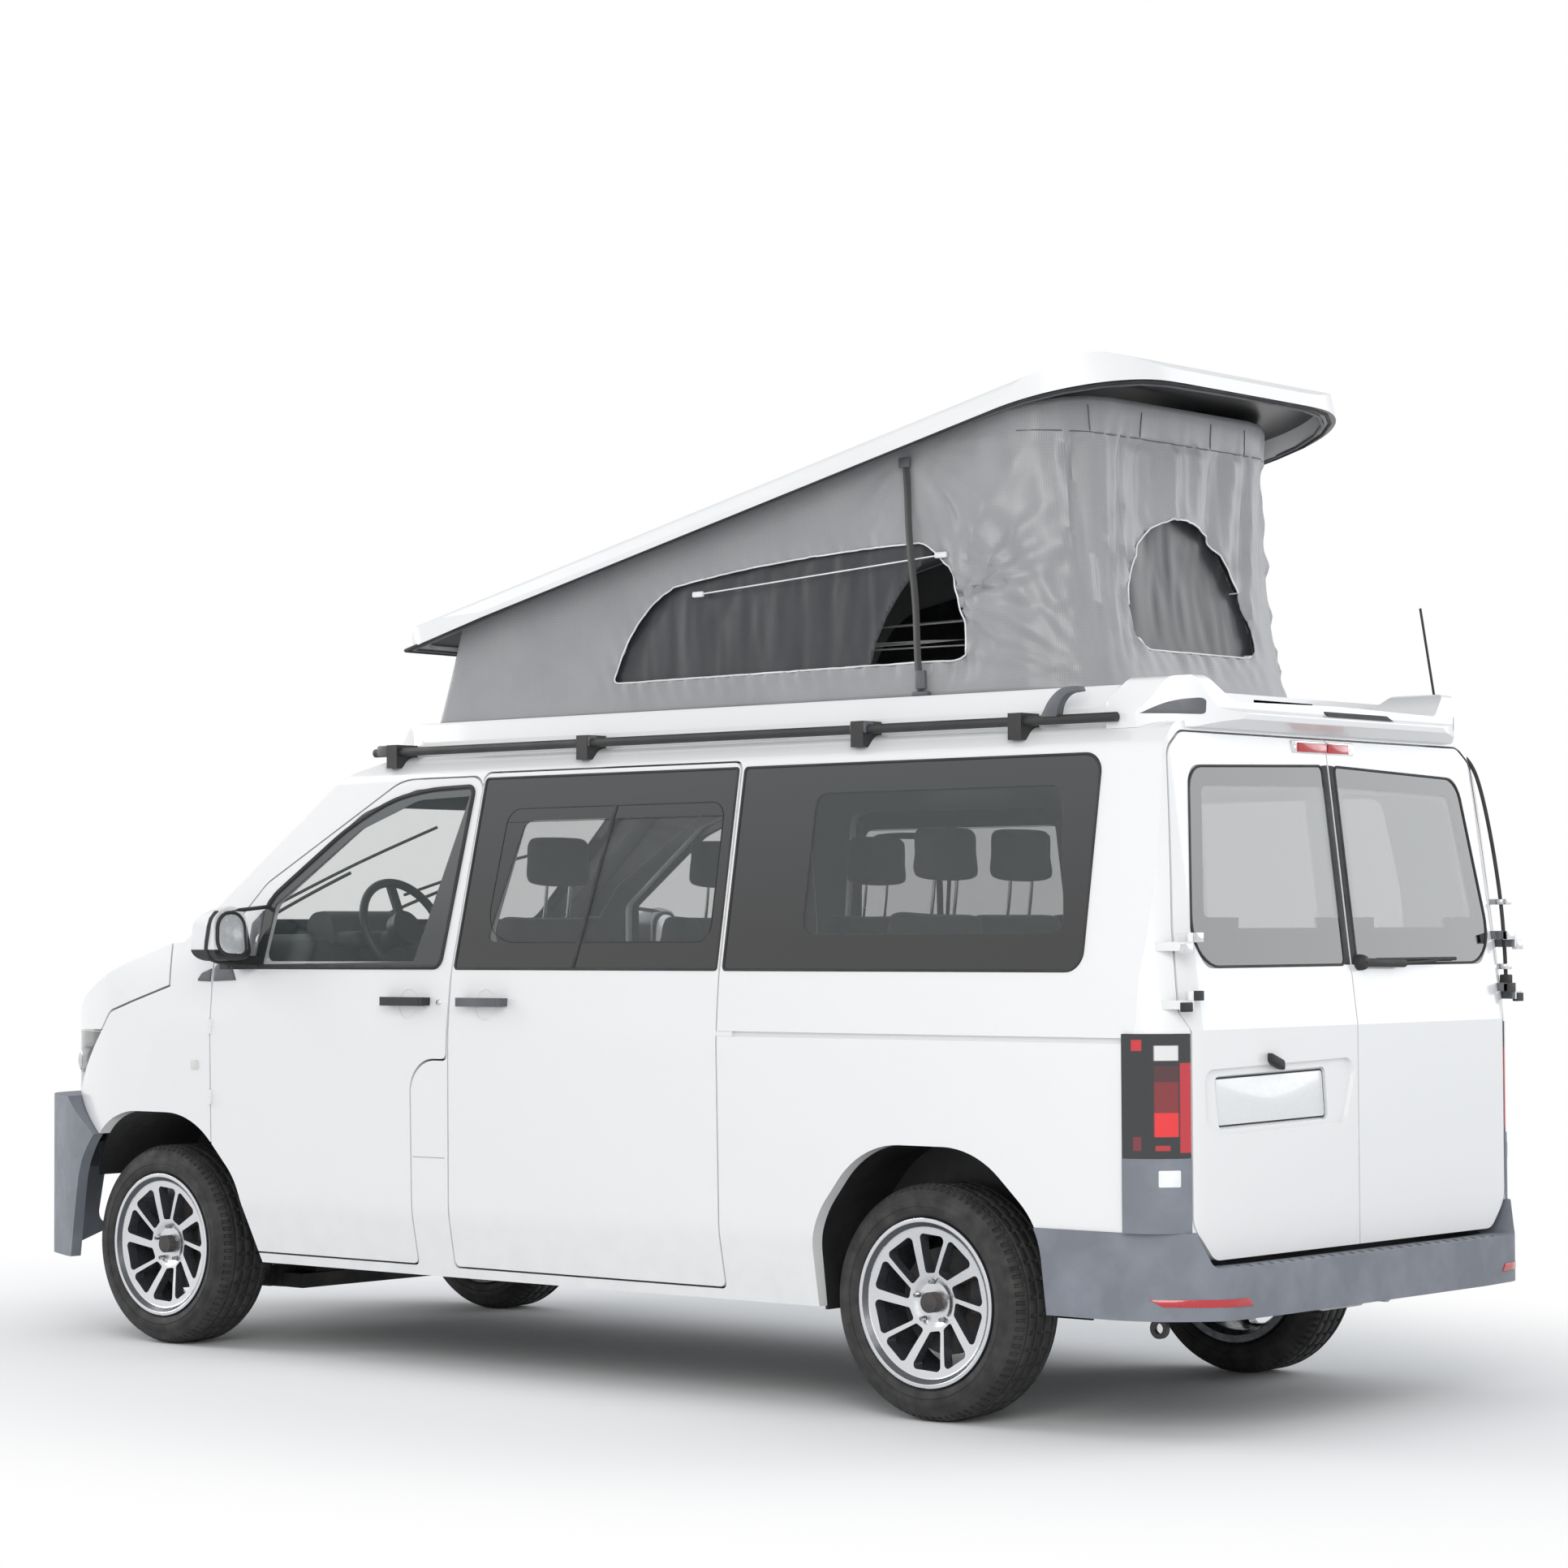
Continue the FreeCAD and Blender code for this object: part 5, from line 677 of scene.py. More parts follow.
def tube_form(points, radius, closed=False, sides=8, order=3):
    """A round bar or piping along a smooth line."""
    curve = bpy.data.curves.new("tube_line", "CURVE")
    curve.dimensions = "3D"
    curve.bevel_depth = radius
    curve.bevel_resolution = max(1, sides // 4)
    curve.use_fill_caps = True
    spline = curve.splines.new("NURBS" if order > 2 else "POLY")
    spline.points.add(len(points) - 1)
    for entry, point in zip(spline.points, points):
        entry.co = (*point, 1)
    spline.use_cyclic_u = closed
    if order > 2:
        spline.order_u = order
        spline.use_endpoint_u = not closed
        spline.resolution_u = 4
    holder = bpy.data.objects.new("tube_holder", curve)
    mesh = bpy.data.meshes.new_from_object(holder)
    bm = bmesh.new()
    bm.from_mesh(mesh)
    bpy.data.objects.remove(holder)
    bpy.data.curves.remove(curve)
    bpy.data.meshes.remove(mesh)
    bmesh.ops.remove_doubles(bm, verts=bm.verts, dist=1e-6)
    bmesh.ops.recalc_face_normals(bm, faces=bm.faces[:])
    return bm


def turned_form(profile, centre, axis, steps=48):
    """A round part: profile of (radius, along) turned about its axis."""
    bm = bmesh.new()
    axis = Vector(axis).normalized()
    side = axis.orthogonal().normalized()
    verts = [bm.verts.new(Vector(centre) + side * radius + axis * along) for radius, along in profile]
    edges = [bm.edges.new(pair) for pair in zip(verts, verts[1:])]
    bmesh.ops.spin(bm, geom=verts + edges, cent=centre, axis=axis, angle=math.tau, steps=steps,
                   use_merge=True)
    bmesh.ops.remove_doubles(bm, verts=bm.verts, dist=1e-5)
    bmesh.ops.recalc_face_normals(bm, faces=bm.faces[:])
    return bm


def merged(*forms):
    """Several forms as one."""
    whole = bmesh.new()
    for form in forms:
        mesh = mesh_of(form, "part")
        whole.from_mesh(mesh)
        bpy.data.meshes.remove(mesh)
    return whole


SURFACES = {}


def skin_of(*names):
    """What a ray meets on those CAD nodes."""
    if names not in SURFACES:
        bm = bmesh.new()
        for name in names:
            bm.from_mesh(NODES[name].data)
        SURFACES[names] = BVHTree.FromBMesh(bm)
        bm.free()
    return SURFACES[names]


# ---- wheels ------------------------------------------------------------------------------

GROOVE_WIDTH = 0.009
GROOVE_DEPTH = 0.0075
GROOVES = (-0.058, -0.020, 0.020, 0.058)
TREAD_PITCHES = 84
BEAD_RADIUS = 0.2285 + 0.0005
SIPE_MARGIN, SIPE_DEPTH = 0.0042, -0.004
WALL = (
    # out from the bead, in from the side, up the tyre's wall
    (0.001, 0.024), (0.018, 0.019), (0.023, 0.010), (0.030, 0.0055), (0.044, 0.0015),
    (0.0455, 0.0030), (0.049, 0.0030), (0.0505, 0.0008), (0.062, 0.0008), (0.072, 0.0045),
    (0.0735, 0.0062), (0.0765, 0.0070),
)


def tyre_profile(radius, half, bead):
    """(radius, along) round the tyre's section, its four tread grooves cut in."""
    tread = [(radius - 0.017, half - 0.016), (radius - 0.006, half - 0.034),
             (radius - 0.0012, half - 0.047)]
    edge = GROOVE_WIDTH / 2
    crown = []
    for groove in reversed(GROOVES):
        top = radius - 0.0004 - (groove / 0.08) ** 2 * 0.0006
        foot = top - GROOVE_DEPTH
        crown += [(top, groove + edge + 0.002), (top - 0.002, groove + edge),
                  (foot, groove + edge - 0.0015), (foot, groove - edge + 0.0015),
                  (top - 0.002, groove - edge), (top, groove - edge - 0.002)]
    near = [(bead + out, half - inward) for out, inward in WALL] + tread
    far = [(turn, -along) for turn, along in reversed(near)]
    inside = [(bead + 0.001, 0.040 - half), (radius - 0.030, 0.040 - half),
              (radius - 0.024, 0.055 - half), (radius - 0.024, half - 0.055),
              (radius - 0.030, half - 0.040), (bead + 0.001, half - 0.040)]
    return near + crown + far + inside + near[:1]


def make_tyre(corner, body):
    """Tyre with four grooves, and sipes across both shoulders and ribs."""
    low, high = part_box(f"tyre_{corner}")
    centre = (low + high) / 2
    radius, half = (high.z - low.z) / 2, (high.y - low.y) / 2
    steps = TREAD_PITCHES * 2
    bm = turned_form(tyre_profile(radius, half, BEAD_RADIUS), centre, (0, 1, 0), steps)
    outer_groove = abs(GROOVES[0])
    lateral = []
    for face in bm.faces:
        middle = face.calc_center_median() - centre
        reach = math.hypot(middle.x, middle.z)
        turns = math.atan2(middle.z, middle.x) / math.tau + 1
        pitch = int(math.floor(turns * TREAD_PITCHES * 2 + 1e-6))
        shoulder = abs(middle.y) > outer_groove + GROOVE_WIDTH and reach > radius - 0.016
        rib = (abs(middle.y) < outer_groove - GROOVE_WIDTH and reach > radius - 0.002
               and face.calc_area() > 1e-4)
        if (shoulder and pitch % 2 == 0) or (rib and pitch % 4 == 1):
            lateral.append(face)
    bmesh.ops.inset_individual(bm, faces=lateral, thickness=SIPE_MARGIN, depth=SIPE_DEPTH)
    bmesh.ops.recalc_face_normals(bm, faces=bm.faces[:])
    piece = piece_of(bm, f"tread_tyre_{corner}", "tyre_rubber", body, 50)
    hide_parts(f"tyre_{corner}")


WHEEL_BOLTS = 5
BOLT_CIRCLE = 0.060
BOLT_TURN = 0.3
HUB_SINK = 0.036
BOLT_HEAD = [(0, 0.006), (0.0045, 0.006), (0.0045, 0.009), (0.0066, 0.009), (0.0072, 0.0075),
             (0.0072, -0.012), (0, -0.012)]
CENTRE_CAP = [(0, 0.0105), (0.012, 0.0105), (0.022, 0.0095), (0.0265, 0.0065), (0.0285, 0.0),
              (0.0285, -0.012), (0, -0.012)]
VALVE = [(0, 0.020), (0.0035, 0.019), (0.0035, 0.010), (0.0048, 0.009), (0.0048, 0), (0, 0)]


def make_wheel_fittings(corner, body, side):
    """Bolt heads, centre cap and valve of one wheel."""
    low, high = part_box(f"rim_{corner}")
    centre = (low + high) / 2
    out = Vector((0, side, 0))
    face_y = high.y if side > 0 else low.y
    seat = Vector((centre.x, face_y - side * HUB_SINK, centre.z))
    bolts = []
    for number in range(WHEEL_BOLTS):
        angle = BOLT_TURN + number * math.tau / WHEEL_BOLTS
        at = seat + Vector((side * math.cos(angle) * BOLT_CIRCLE, 0, math.sin(angle) * BOLT_CIRCLE))
        bolts.append(turned_form(BOLT_HEAD, at, out, 6))
    piece_of(merged(*bolts), f"wheel_bolts_{corner}", "steel", body, 30)
    piece_of(turned_form(CENTRE_CAP, seat, out, 40), f"centre_cap_{corner}", "cap_grey", body,
             40)
    valve_at = centre + Vector((0, side * 0.070, -0.2155))
    piece_of(turned_form(VALVE, valve_at, (0, side * 0.8, 0.6), 12), f"valve_{corner}", "seal", body,
             40)


def make_wheels():
    """Tyre and fittings of all four wheels."""
    for axle in ("front", "rear"):
        for side, name in BOTH:
            corner = f"{axle}_{name}"
            make_tyre(corner, f"wheel_{corner}")
            make_wheel_fittings(corner, f"wheel_{corner}", side)


# ---- raised tent -------------------------------------------------------------------------

TENT_CORNER = 0.285
TENT_STEP = 0.016
TENT_LOW, TENT_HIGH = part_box("tent")
TENT_HALF = (TENT_HIGH.y - TENT_LOW.y) / 2 - 0.005
TENT_FOOT = TENT_LOW.z
TENT_FRONT_TOP = (0.500, 2.437)
TENT_REAR_TOP = (-1.960, 2.999)
TENT_RISE = TENT_REAR_TOP[1] - TENT_FOOT
CLOTH_HEIGHT = 0.884
HEM_SHARE = 0.875
STRAINS = (
    # the point that the creases run from, how many there are round it, their seed and depth
    ((-1.62, 2.40), 3.4, 2.0, 0.030),
    ((-1.43, 2.86), 3.0, 5.0, 0.034),
    ((-2.02, 2.16), 4.5, 9.0, 0.026),
)
SCREEN_EDGE = [(-1.250, 2.205, 0.02), (-0.170, 2.200, 0.02), (-0.310, 2.480, 0.10), (-0.500, 2.535, 0.15),
               (-1.090, 2.600, 0.10), (-1.560, 2.590, 0.02), (-1.290, 2.420, 0.25)]
CURTAIN_EDGE = [(-0.360, 2.232, 0.03), (0.310, 2.232, 0.03), (0.355, 2.510, 0.20), (0.120, 2.680, 0.10),
                (-0.070, 2.690, 0.10), (-0.335, 2.500, 0.20)]
SIDE_WINDOW = [(-1.636, 2.222, 0.04), (-0.193, 2.214, 0.03), (-0.330, 2.462, 0.14), (-0.480, 2.512, 0.20),
               (-1.060, 2.580, 0.40), (-1.500, 2.578, 0.10), (-1.625, 2.400, 0.20)]
REAR_WINDOW = [(-0.335, 2.252, 0.06), (0.285, 2.252, 0.06), (0.335, 2.500, 0.20), (0.110, 2.655, 0.10),
               (-0.060, 2.665, 0.10), (-0.310, 2.490, 0.20)]
PIPING_RADIUS, PIPING_STEP, PIPING_PROUD = 0.0028, 0.03, 0.0015
NETTING_CELL = 0.014


def rounded_outline(corners):
    """The points of an outline after its corners are rounded."""
    bm = bmesh.new()
    face = outline_face(bm, corners, flat_point)
    line = [loop.vert.co.xy.copy() for loop in face.loops]
    bm.free()
    return line


def outside_of(line, where):
    """How far a point lies outside a closed line; nought inside."""
    best = 1e9
    inside = False
    for first, second in zip(line, line[1:] + line[:1]):
        along = second - first
        share = min(1, max(0, (where - first).dot(along) / along.length_squared))
        best = min(best, (where - first - along * share).length)
        if (first.y > where.y) != (second.y > where.y):
            if where.x < (second.x - first.x) * (where.y - first.y) / (second.y - first.y) + first.x:
                inside = not inside
    return 0.0 if inside else best


def ridge(*place):
    """A crease: sharp at the top and soft between."""
    return 0.5 - abs(noise.noise(Vector(place))) * 2.2


def fan(where, centre, spokes, seed):
    """Creases that run out from a point of strain."""
    reach = where - Vector(centre)
    angle = math.atan2(reach.y, reach.x)
    return ridge(angle * spokes, reach.length * 1.6, seed) * math.exp(-reach.length / 0.42)


def tent_drape(ahead, across, up, share, out, windows):
    """How far the cloth leaves its straight pull: belly, corner folds, pleats and gathers."""
    rearward = min(1.0, max(0.0, (-0.55 - ahead) / 0.9))
    taut = 1 - 0.94 * (1 - rearward) ** 0.5
    middle = math.sin(math.pi * share ** 0.8)
    if out.x > 0.3:
        return 0.0
    drop = -0.008 * middle * (0.3 + rearward) - 0.030 * middle * max(0, -out.x) ** 0.5 * rearward
    where = Vector((ahead, up))
    if abs(out.y) > 0.6:
        for strain, spokes, seed, depth in STRAINS:
            drop += taut * depth * fan(where, strain, spokes, seed) * middle
        drop += taut * 0.010 * ridge(ahead * 7 + up * 4.5, up * 3.2, 4.0) * middle
        gather, near = windows[0], where
    else:
        turn = across + (ahead + 2.0) * 0.9
        hang = 1 - abs(share - 0.78) * 1.5
        seam = min(1, share * 3, max(0, HEM_SHARE - share) * 30)
        drop += 0.038 * max(0.12, hang) * ridge(turn * 6.5, up * 0.5, 1.0) * seam
        below = 1 if share < HEM_SHARE else 0.25
        drop += 0.013 * ridge(turn * 17, up * 1.1, 7.0) * min(1, share * 3) * below
        gather, near = windows[1], Vector((across, up))
    beyond = outside_of(gather, near)
    if 0 < beyond < 0.12:
        ray = near - sum(gather, Vector((0, 0))) / len(gather)
        drop += 0.0045 * math.sin((ray.x - ray.y * 0.4) * 95) * math.exp(-beyond / 0.035)
    drop += taut * 0.0016 * noise.noise(Vector((ahead * 40, across * 40, up * 26)))
    return drop * min(1, share * 14, (1 - share) * 12)


def tent_point(ahead, across, share):
    """Where the cloth goes at that share of the way up from its foot."""
    along = (ahead - TENT_LOW.x) / (TENT_HIGH.x - TENT_LOW.x)
    top = Vector(TENT_REAR_TOP).lerp(Vector(TENT_FRONT_TOP), along)
    rise = (top.y - TENT_FOOT - 0.002) * share
    return Vector((ahead + (top.x - ahead) * share, across, TENT_FOOT + 0.002 + rise))


def tent_out(ahead, across):
    """Which way the wall of the tent faces there."""
    corner = TENT_LOW.x + TENT_CORNER
    if ahead < corner - 1e-4 and abs(across) > TENT_HALF - TENT_CORNER:
        way = Vector((ahead - corner, across - math.copysign(TENT_HALF - TENT_CORNER, across), 0))
        return way.normalized()
    if ahead < TENT_LOW.x + 0.02:
        return Vector((-1, 0, 0))
    if ahead > TENT_HIGH.x - 0.02 and abs(across) < TENT_HALF - 0.005:
        return Vector((1, 0, 0))
    return Vector((0, math.copysign(1, across), 0))


def cut_line(bm, line, lift, faces_near):
    """Cut the sheet along a closed line seen square on, and take out what lies within it."""
    for first, second in zip(line, line[1:] + line[:1]):
        way = (second - first).normalized()
        across = Vector((-way.y, way.x))
        normal = lift(across) - lift(Vector((0, 0)))
        near = []
        for face, middle in faces_near():
            flat = middle - first
            if -0.02 < flat.dot(way) < (second - first).length + 0.02 and abs(flat.dot(across)) < 0.03:
                near.append(face)
        geom = list({item for face in near for item in (face, *face.edges, *face.verts)})
        bmesh.ops.bisect_plane(bm, geom=geom, dist=1e-5, plane_co=lift(first), plane_no=normal)
    gone = [face for face, middle in faces_near() if outside_of(line, middle) == 0]
    bmesh.ops.delete(bm, geom=gone, context="FACES")


def make_tent_sheet():
    """One continuous wall of cloth round the bed, drawn up into the roof, its windows cut out."""
    back, front = TENT_LOW.x + 0.004, TENT_HIGH.x - 0.004
    bm = bmesh.new()
    outline_face(bm, [(back, -TENT_HALF, TENT_CORNER), (front, -TENT_HALF, 0.02),
                      (front, TENT_HALF, 0.02), (back, TENT_HALF, TENT_CORNER)], flat_point)
    bmesh.ops.delete(bm, geom=bm.faces[:], context="FACES_ONLY")
    for edge in bm.edges[:]:
        pieces = int(edge.calc_length() / TENT_STEP)
        if pieces > 1:
            bmesh.ops.subdivide_edges(bm, edges=[edge], cuts=pieces - 1)
    rows = int(TENT_RISE / TENT_STEP)
    row = bm.edges[:]
    for _ in range(rows):
        made = bmesh.ops.extrude_edge_only(bm, edges=row)["geom"]
        fresh = set(verts_in(made))
        bmesh.ops.translate(bm, verts=list(fresh), vec=(0, 0, 1 / rows))
        row = [item for item in made if isinstance(item, bmesh.types.BMEdge) and set(item.verts) <= fresh]
    for vert in bm.verts:
        vert.co = tent_point(vert.co.x, vert.co.y, min(1.0, vert.co.z))

    windows = [rounded_outline(SIDE_WINDOW), rounded_outline(REAR_WINDOW)]
    middle_of = bmesh.types.BMFace.calc_center_median
    for side in (LEFT, RIGHT):
        cut_line(bm, windows[0], lambda flat, side=side: Vector((flat.x, side * TENT_HALF, flat.y)),
                 lambda side=side: [(face, middle_of(face).xz) for face in bm.faces
                                    if abs(middle_of(face).y - side * TENT_HALF) < 0.01])
    cut_line(bm, windows[1], lambda flat: Vector((-2.0, flat.x, flat.y)),
             lambda: [(face, middle_of(face).yz) for face in bm.faces
                      if abs(middle_of(face).y) < TENT_HALF - TENT_CORNER and middle_of(face).x < -1.5])
    lay_weave(bm, lambda face: (lambda at: (at.x, at.z))
              if abs(middle_of(face).y) > TENT_HALF - TENT_CORNER * 0.3 else (lambda at: (at.y, at.z)))
    for vert in bm.verts:
        flat = vert.co.copy()
        top_z = TENT_FRONT_TOP[1] + (0.5 - flat.x) * (TENT_REAR_TOP[1] - TENT_FRONT_TOP[1]) / 2.46
        share = min(1.0, max(0.0, (flat.z - TENT_FOOT) / (top_z - TENT_FOOT)))
        foot_x = flat.x + (back - TENT_REAR_TOP[0]) * share if flat.x < -1.6 else flat.x
        way = tent_out(foot_x, flat.y)
        vert.co += way * tent_drape(flat.x, flat.y, flat.z, share, way, windows)
    bmesh.ops.recalc_face_normals(bm, faces=bm.faces[:])
    return bm, windows


def tent_piece(bm, name, finish, thick=0.0015, smooth=60):
    """A part of the tent, riding on the van, given a thin shell's thickness when asked."""
    piece = piece_of(bm, name, finish, "van", smooth)
    if thick:
        shell = piece.modifiers.new("cloth thickness", "SOLIDIFY")
        shell.thickness = thick
        shell.offset = 0
        solid = bpy.data.meshes.new_from_object(
            piece.evaluated_get(bpy.context.evaluated_depsgraph_get()))
        piece.modifiers.clear()
        piece.data = solid
    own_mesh(piece)
    return piece


def hung_sheet(corners, place, out, depth, folds, seed):
    """Netting that hangs in folds behind a window."""
    bm = bmesh.new()
    outline_face(bm, corners, flat_point)
    cut_up(bm, corners, lambda length: int(length / NETTING_CELL))
    lay_weave(bm, lambda face: lambda at: at.xy)
    heights = [corner[1] for corner in corners]
    top, foot = max(heights), min(heights)
    for vert in bm.verts:
        across, up = vert.co.xy
        share = (up - foot) / (top - foot)
        sway = 0.75 * ridge(across * folds + 0.9 * up, up * 1.6, seed)
        sway += 0.25 * ridge(across * folds * 3, up * 4, seed)
        vert.co = place(across, up) - Vector(out) * (depth + depth * 0.85 * sway * (0.35 + 0.65 * share))
    bmesh.ops.recalc_face_normals(bm, faces=bm.faces[:])
    return bm


def from_behind(find, across, up, start):
    """Where the tent's rear wall is met from behind; None where there is no cloth."""
    return find.ray_cast(Vector((start, across, up)), Vector(ONWARD))[0]


def hem_seams(find):
    """The sewn line under the roof round the tent's back, and the short joins above it."""
    thin = 0.0018
    seat = lambda across, share: from_behind(find, across, TENT_FOOT + share * TENT_RISE, BEHIND)
    reach = TENT_HALF - 0.035
    lines = [[seat(reach * (number / 44 - 0.5) * 2, HEM_SHARE) for number in range(45)]]
    lines += [[seat(across + lean * share, share) for share in (0.88, 0.91, 0.94, 0.965)]
              for across, lean in ((0.36, 0.1), (0.30, -0.1), (-0.16, 0.0), (-0.44, 0.1))]
    forms = [tube_form([point - Vector((thin, 0, 0)) for point in line if point is not None], thin,
                       sides=6, order=2) for line in lines]
    tent_piece(merged(*forms), "tent_hem_seams", "smoke_plastic", thick=0)


def make_tent_side(find, window, side, name):
    """Piping, sewn cord with its end clips, and netting of one side window."""
    proud = Vector((0, side * PIPING_PROUD, 0))
    line = [find.find_nearest(Vector((at.x, side * TENT_HALF, at.y)))[0] + proud
            for at in divided(window, PIPING_STEP)]
    tent_piece(tube_form(line, PIPING_RADIUS, closed=True, sides=6), f"window_piping_{name}", "piping",
               thick=0)
    cord = [Vector((ahead, side * (TENT_HALF + 0.003), up))
            for ahead, up in ((-0.570, 2.478), (-1.0, 2.503), (-1.545, 2.536))]
    tent_piece(tube_form(cord, 0.0024, sides=6), f"window_line_{name}", "piping", thick=0)
    clips = [box_at(at, (-0.022, -0.006, -0.009), (0.022, 0.006, 0.009), 0.004)
             for at in (cord[0], cord[2])]
    tent_piece(merged(*clips), f"window_clips_{name}", "piping", thick=0, smooth=30)
    screen = hung_sheet(SCREEN_EDGE, lambda across, up: Vector((across, side * (TENT_HALF - 0.006), up)),
                        (0, side, 0), 0.014, 7.5, 3.0 + side)
    netting = tent_piece(screen, f"window_screen_{name}", "netting")


def make_rear_screen(find, window):
    """Netting behind the rear window, and the piping round it."""
    back = hung_sheet(CURTAIN_EDGE, lambda across, up: Vector((-2.0, across, up)), REARWARD, 0.02,
                      5.5, 6.0)
    for vert in back.verts:
        rise = vert.co.z - TENT_FOOT
        lean = rise / TENT_RISE * 0.088
        belly = -0.038 * math.sin(math.pi * (rise / CLOTH_HEIGHT) ** 0.8)
        vert.co.x += -0.038 + lean - belly
    curtain = tent_piece(back, "rear_window_screen", "netting")
    line = [(from_behind(find, at.x, at.y, -3.0) or find.find_nearest(Vector((-2.0, at.x, at.y)))[0])
            - Vector((PIPING_PROUD, 0, 0)) for at in divided(window, PIPING_STEP)]
    tent_piece(tube_form(line, PIPING_RADIUS, closed=True, sides=6), "rear_window_piping", "piping",
               thick=0)


def make_tent():
    """The raised roof's cloth with its windows, and all that is sewn to it."""
    bm, windows = make_tent_sheet()
    find = BVHTree.FromBMesh(bm)
    sheet = tent_piece(bm, "tent_wall", "tent_cloth")
    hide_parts("tent")
    for side, name in BOTH:
        make_tent_side(find, windows[0], side, name)
    make_rear_screen(find, windows[1])
    hem_seams(find)


# ---- parts laid on the body --------------------------------------------------------------


def flank(name):
    """The nodes that a ray from that side may meet."""
    return (f"body_side_{name}", "sliding_doors", "side_glass", f"front_door_{name}",
            f"front_door_glass_{name}", "front_fenders", f"front_door_trim_{name}")


BESIDE, BEHIND, BEFORE, ABOVE = 1.3, -3.2, 3.2, 2.5
TAIL = ("rear_door_left", "rear_door_right", "rear_door_glass_left", "rear_door_glass_right",
        "body_side_left", "body_side_right", "tail_lamps", "corner_trims", "rear_bumper", "rear_spoiler")


def hit(nodes, start, way, proud=0.0):
    """Where a ray meets the named nodes, proud of them; None where it misses."""
    point, normal, _, _ = skin_of(*nodes).ray_cast(Vector(start), Vector(way).normalized())
    if point is None:
        return None
    if normal.dot(Vector(way)) > 0:
        normal = -normal
    return point + normal.normalized() * proud


def divided(line, step, closed=True):
    """A line with no run longer than the step."""
    result = []
    pairs = zip(line, line[1:] + line[:1]) if closed else zip(line, line[1:])
    for first, second in pairs:
        count = max(1, math.ceil((second - first).length / step))
        result += [first.lerp(second, number / count) for number in range(count)]
    return result if closed else result + [line[-1]]


def seen_beside(nodes, side, proud=0.0):
    """Drops a point of the side view onto the named nodes."""
    return lambda flat: hit(nodes, (flat.x, side * BESIDE, flat.y), (0, -side, 0), proud)


def side_view(name, side, proud=0.0):
    return seen_beside(flank(name), side, proud)


def tail_hit(across, up, proud=0.0, nodes=TAIL):
    return hit(nodes, (BEHIND, across, up), ONWARD, proud)


def rear_view(proud=0.0, nodes=TAIL):
    return lambda flat: tail_hit(flat.x, flat.y, proud, nodes)


def bead(line, see, radius, closed=True, step=0.03, sides=6):
    """A thin line of rubber or a shut line along the surface."""
    points = [point for point in map(see, divided(line, step, closed)) if point is not None]
    return tube_form(points, radius, closed=closed, sides=sides, order=2)


def patch(corners, see, thick, step=0.03, sink=0.001):
    """A thin part laid on a curved surface: cut to its outline, dropped on and thickened outwards."""
    bm = bmesh.new()
    outline_face(bm, corners, flat_point)
    cut_up(bm, corners, lambda length: int(length / step) + 1)
    low = {vert: see(vert.co.xy) for vert in bm.verts}
    top = verts_in(bmesh.ops.extrude_face_region(bm, geom=bm.faces[:])["geom"])
    met = [point for point in low.values() if point is not None]
    centre = sum(met, Vector()) / len(met)
    for vert in top:
        vert.co = see(vert.co.xy.copy()) or met[0]
    for vert, point in low.items():
        vert.co = met[0] if point is None else point
    bm.normal_update()
    way = outward(centre)
    for vert in low:
        vert.co -= way * sink
    for vert in top:
        vert.co += way * thick
    bmesh.ops.recalc_face_normals(bm, faces=bm.faces[:])
    rim = [edge for edge in bm.edges if all(vert in top for vert in edge.verts)
           and any(not all(vert in top for vert in face.verts) for face in edge.link_faces)]
    soften(bm, rim, min(thick * 0.6, 0.002))
    return bm


def outward(point):
    """Which way is off the body at that point: sideways, to the rear, to the front or up."""
    if point.z > 2.2:
        return Vector((0, 0, 1))
    if point.x < -2.42 and abs(point.y) < 0.94:
        return Vector((-1, 0, 0))
    if point.x > 2.2 and abs(point.y) < 0.88:
        return Vector((1, 0, 0))
    return Vector((0, math.copysign(1, point.y), 0))


def flats(*pairs):
    """Points of a line in a square-on view."""
    return [Vector(pair) for pair in pairs]


SLIDER_EDGE = [(-0.893, 1.304, 0.012), (0.236, 1.304, 0.012), (0.195, 1.916, 0.012),
               (-0.893, 1.916, 0.012)]
QUARTER_EDGE = [(-2.259, 1.304, 0.06), (-0.921, 1.304, 0.012), (-0.921, 1.916, 0.012),
                (-2.259, 1.916, 0.06)]
DOOR_EDGE = [(0.304, 1.308, 0.03), (1.216, 1.308, 0.03), (1.180, 1.528, 0.06), (0.758, 1.816, 0.15),
             (0.520, 1.886, 0.12), (0.246, 1.894, 0.03)]
SASH_EDGE = [(-0.852, 1.388, 0.05), (0.040, 1.388, 0.05), (0.110, 1.450, 0.05), (0.075, 1.815, 0.05),
             (-0.852, 1.815, 0.05)]
SASH_BAR = [(-0.282, 1.310, 0), (-0.298, 1.310, 0), (-0.404, 1.815, 0), (-0.388, 1.815, 0)]
FUEL_FLAP = flats((0.274, 0.696), (0.420, 0.696), (0.430, 0.706), (0.430, 0.900), (0.425, 0.937),
                  (0.408, 0.970), (0.382, 0.994), (0.350, 1.008), (0.318, 1.011), (0.274, 1.011))
SIDE_LAMP = [(1.474, 0.955, 0.008), (1.512, 0.955, 0.008), (1.512, 0.990, 0.008), (1.474, 0.990, 0.008)]
SAIL_FOOT = [(1.292, 1.262, 0), (1.406, 1.258, 0), (1.406, 1.306, 0), (1.345, 1.352, 0.012)]
SAIL_TIP = [(1.421, 1.257, 0), (1.492, 1.259, 0.01), (1.470, 1.286, 0.008), (1.421, 1.302, 0)]
MIRROR_SAIL = [(1.190, 1.500, 0.004), (1.204, 1.320, 0.004), (1.250, 1.312, 0.004), (1.244, 1.455, 0.004)]
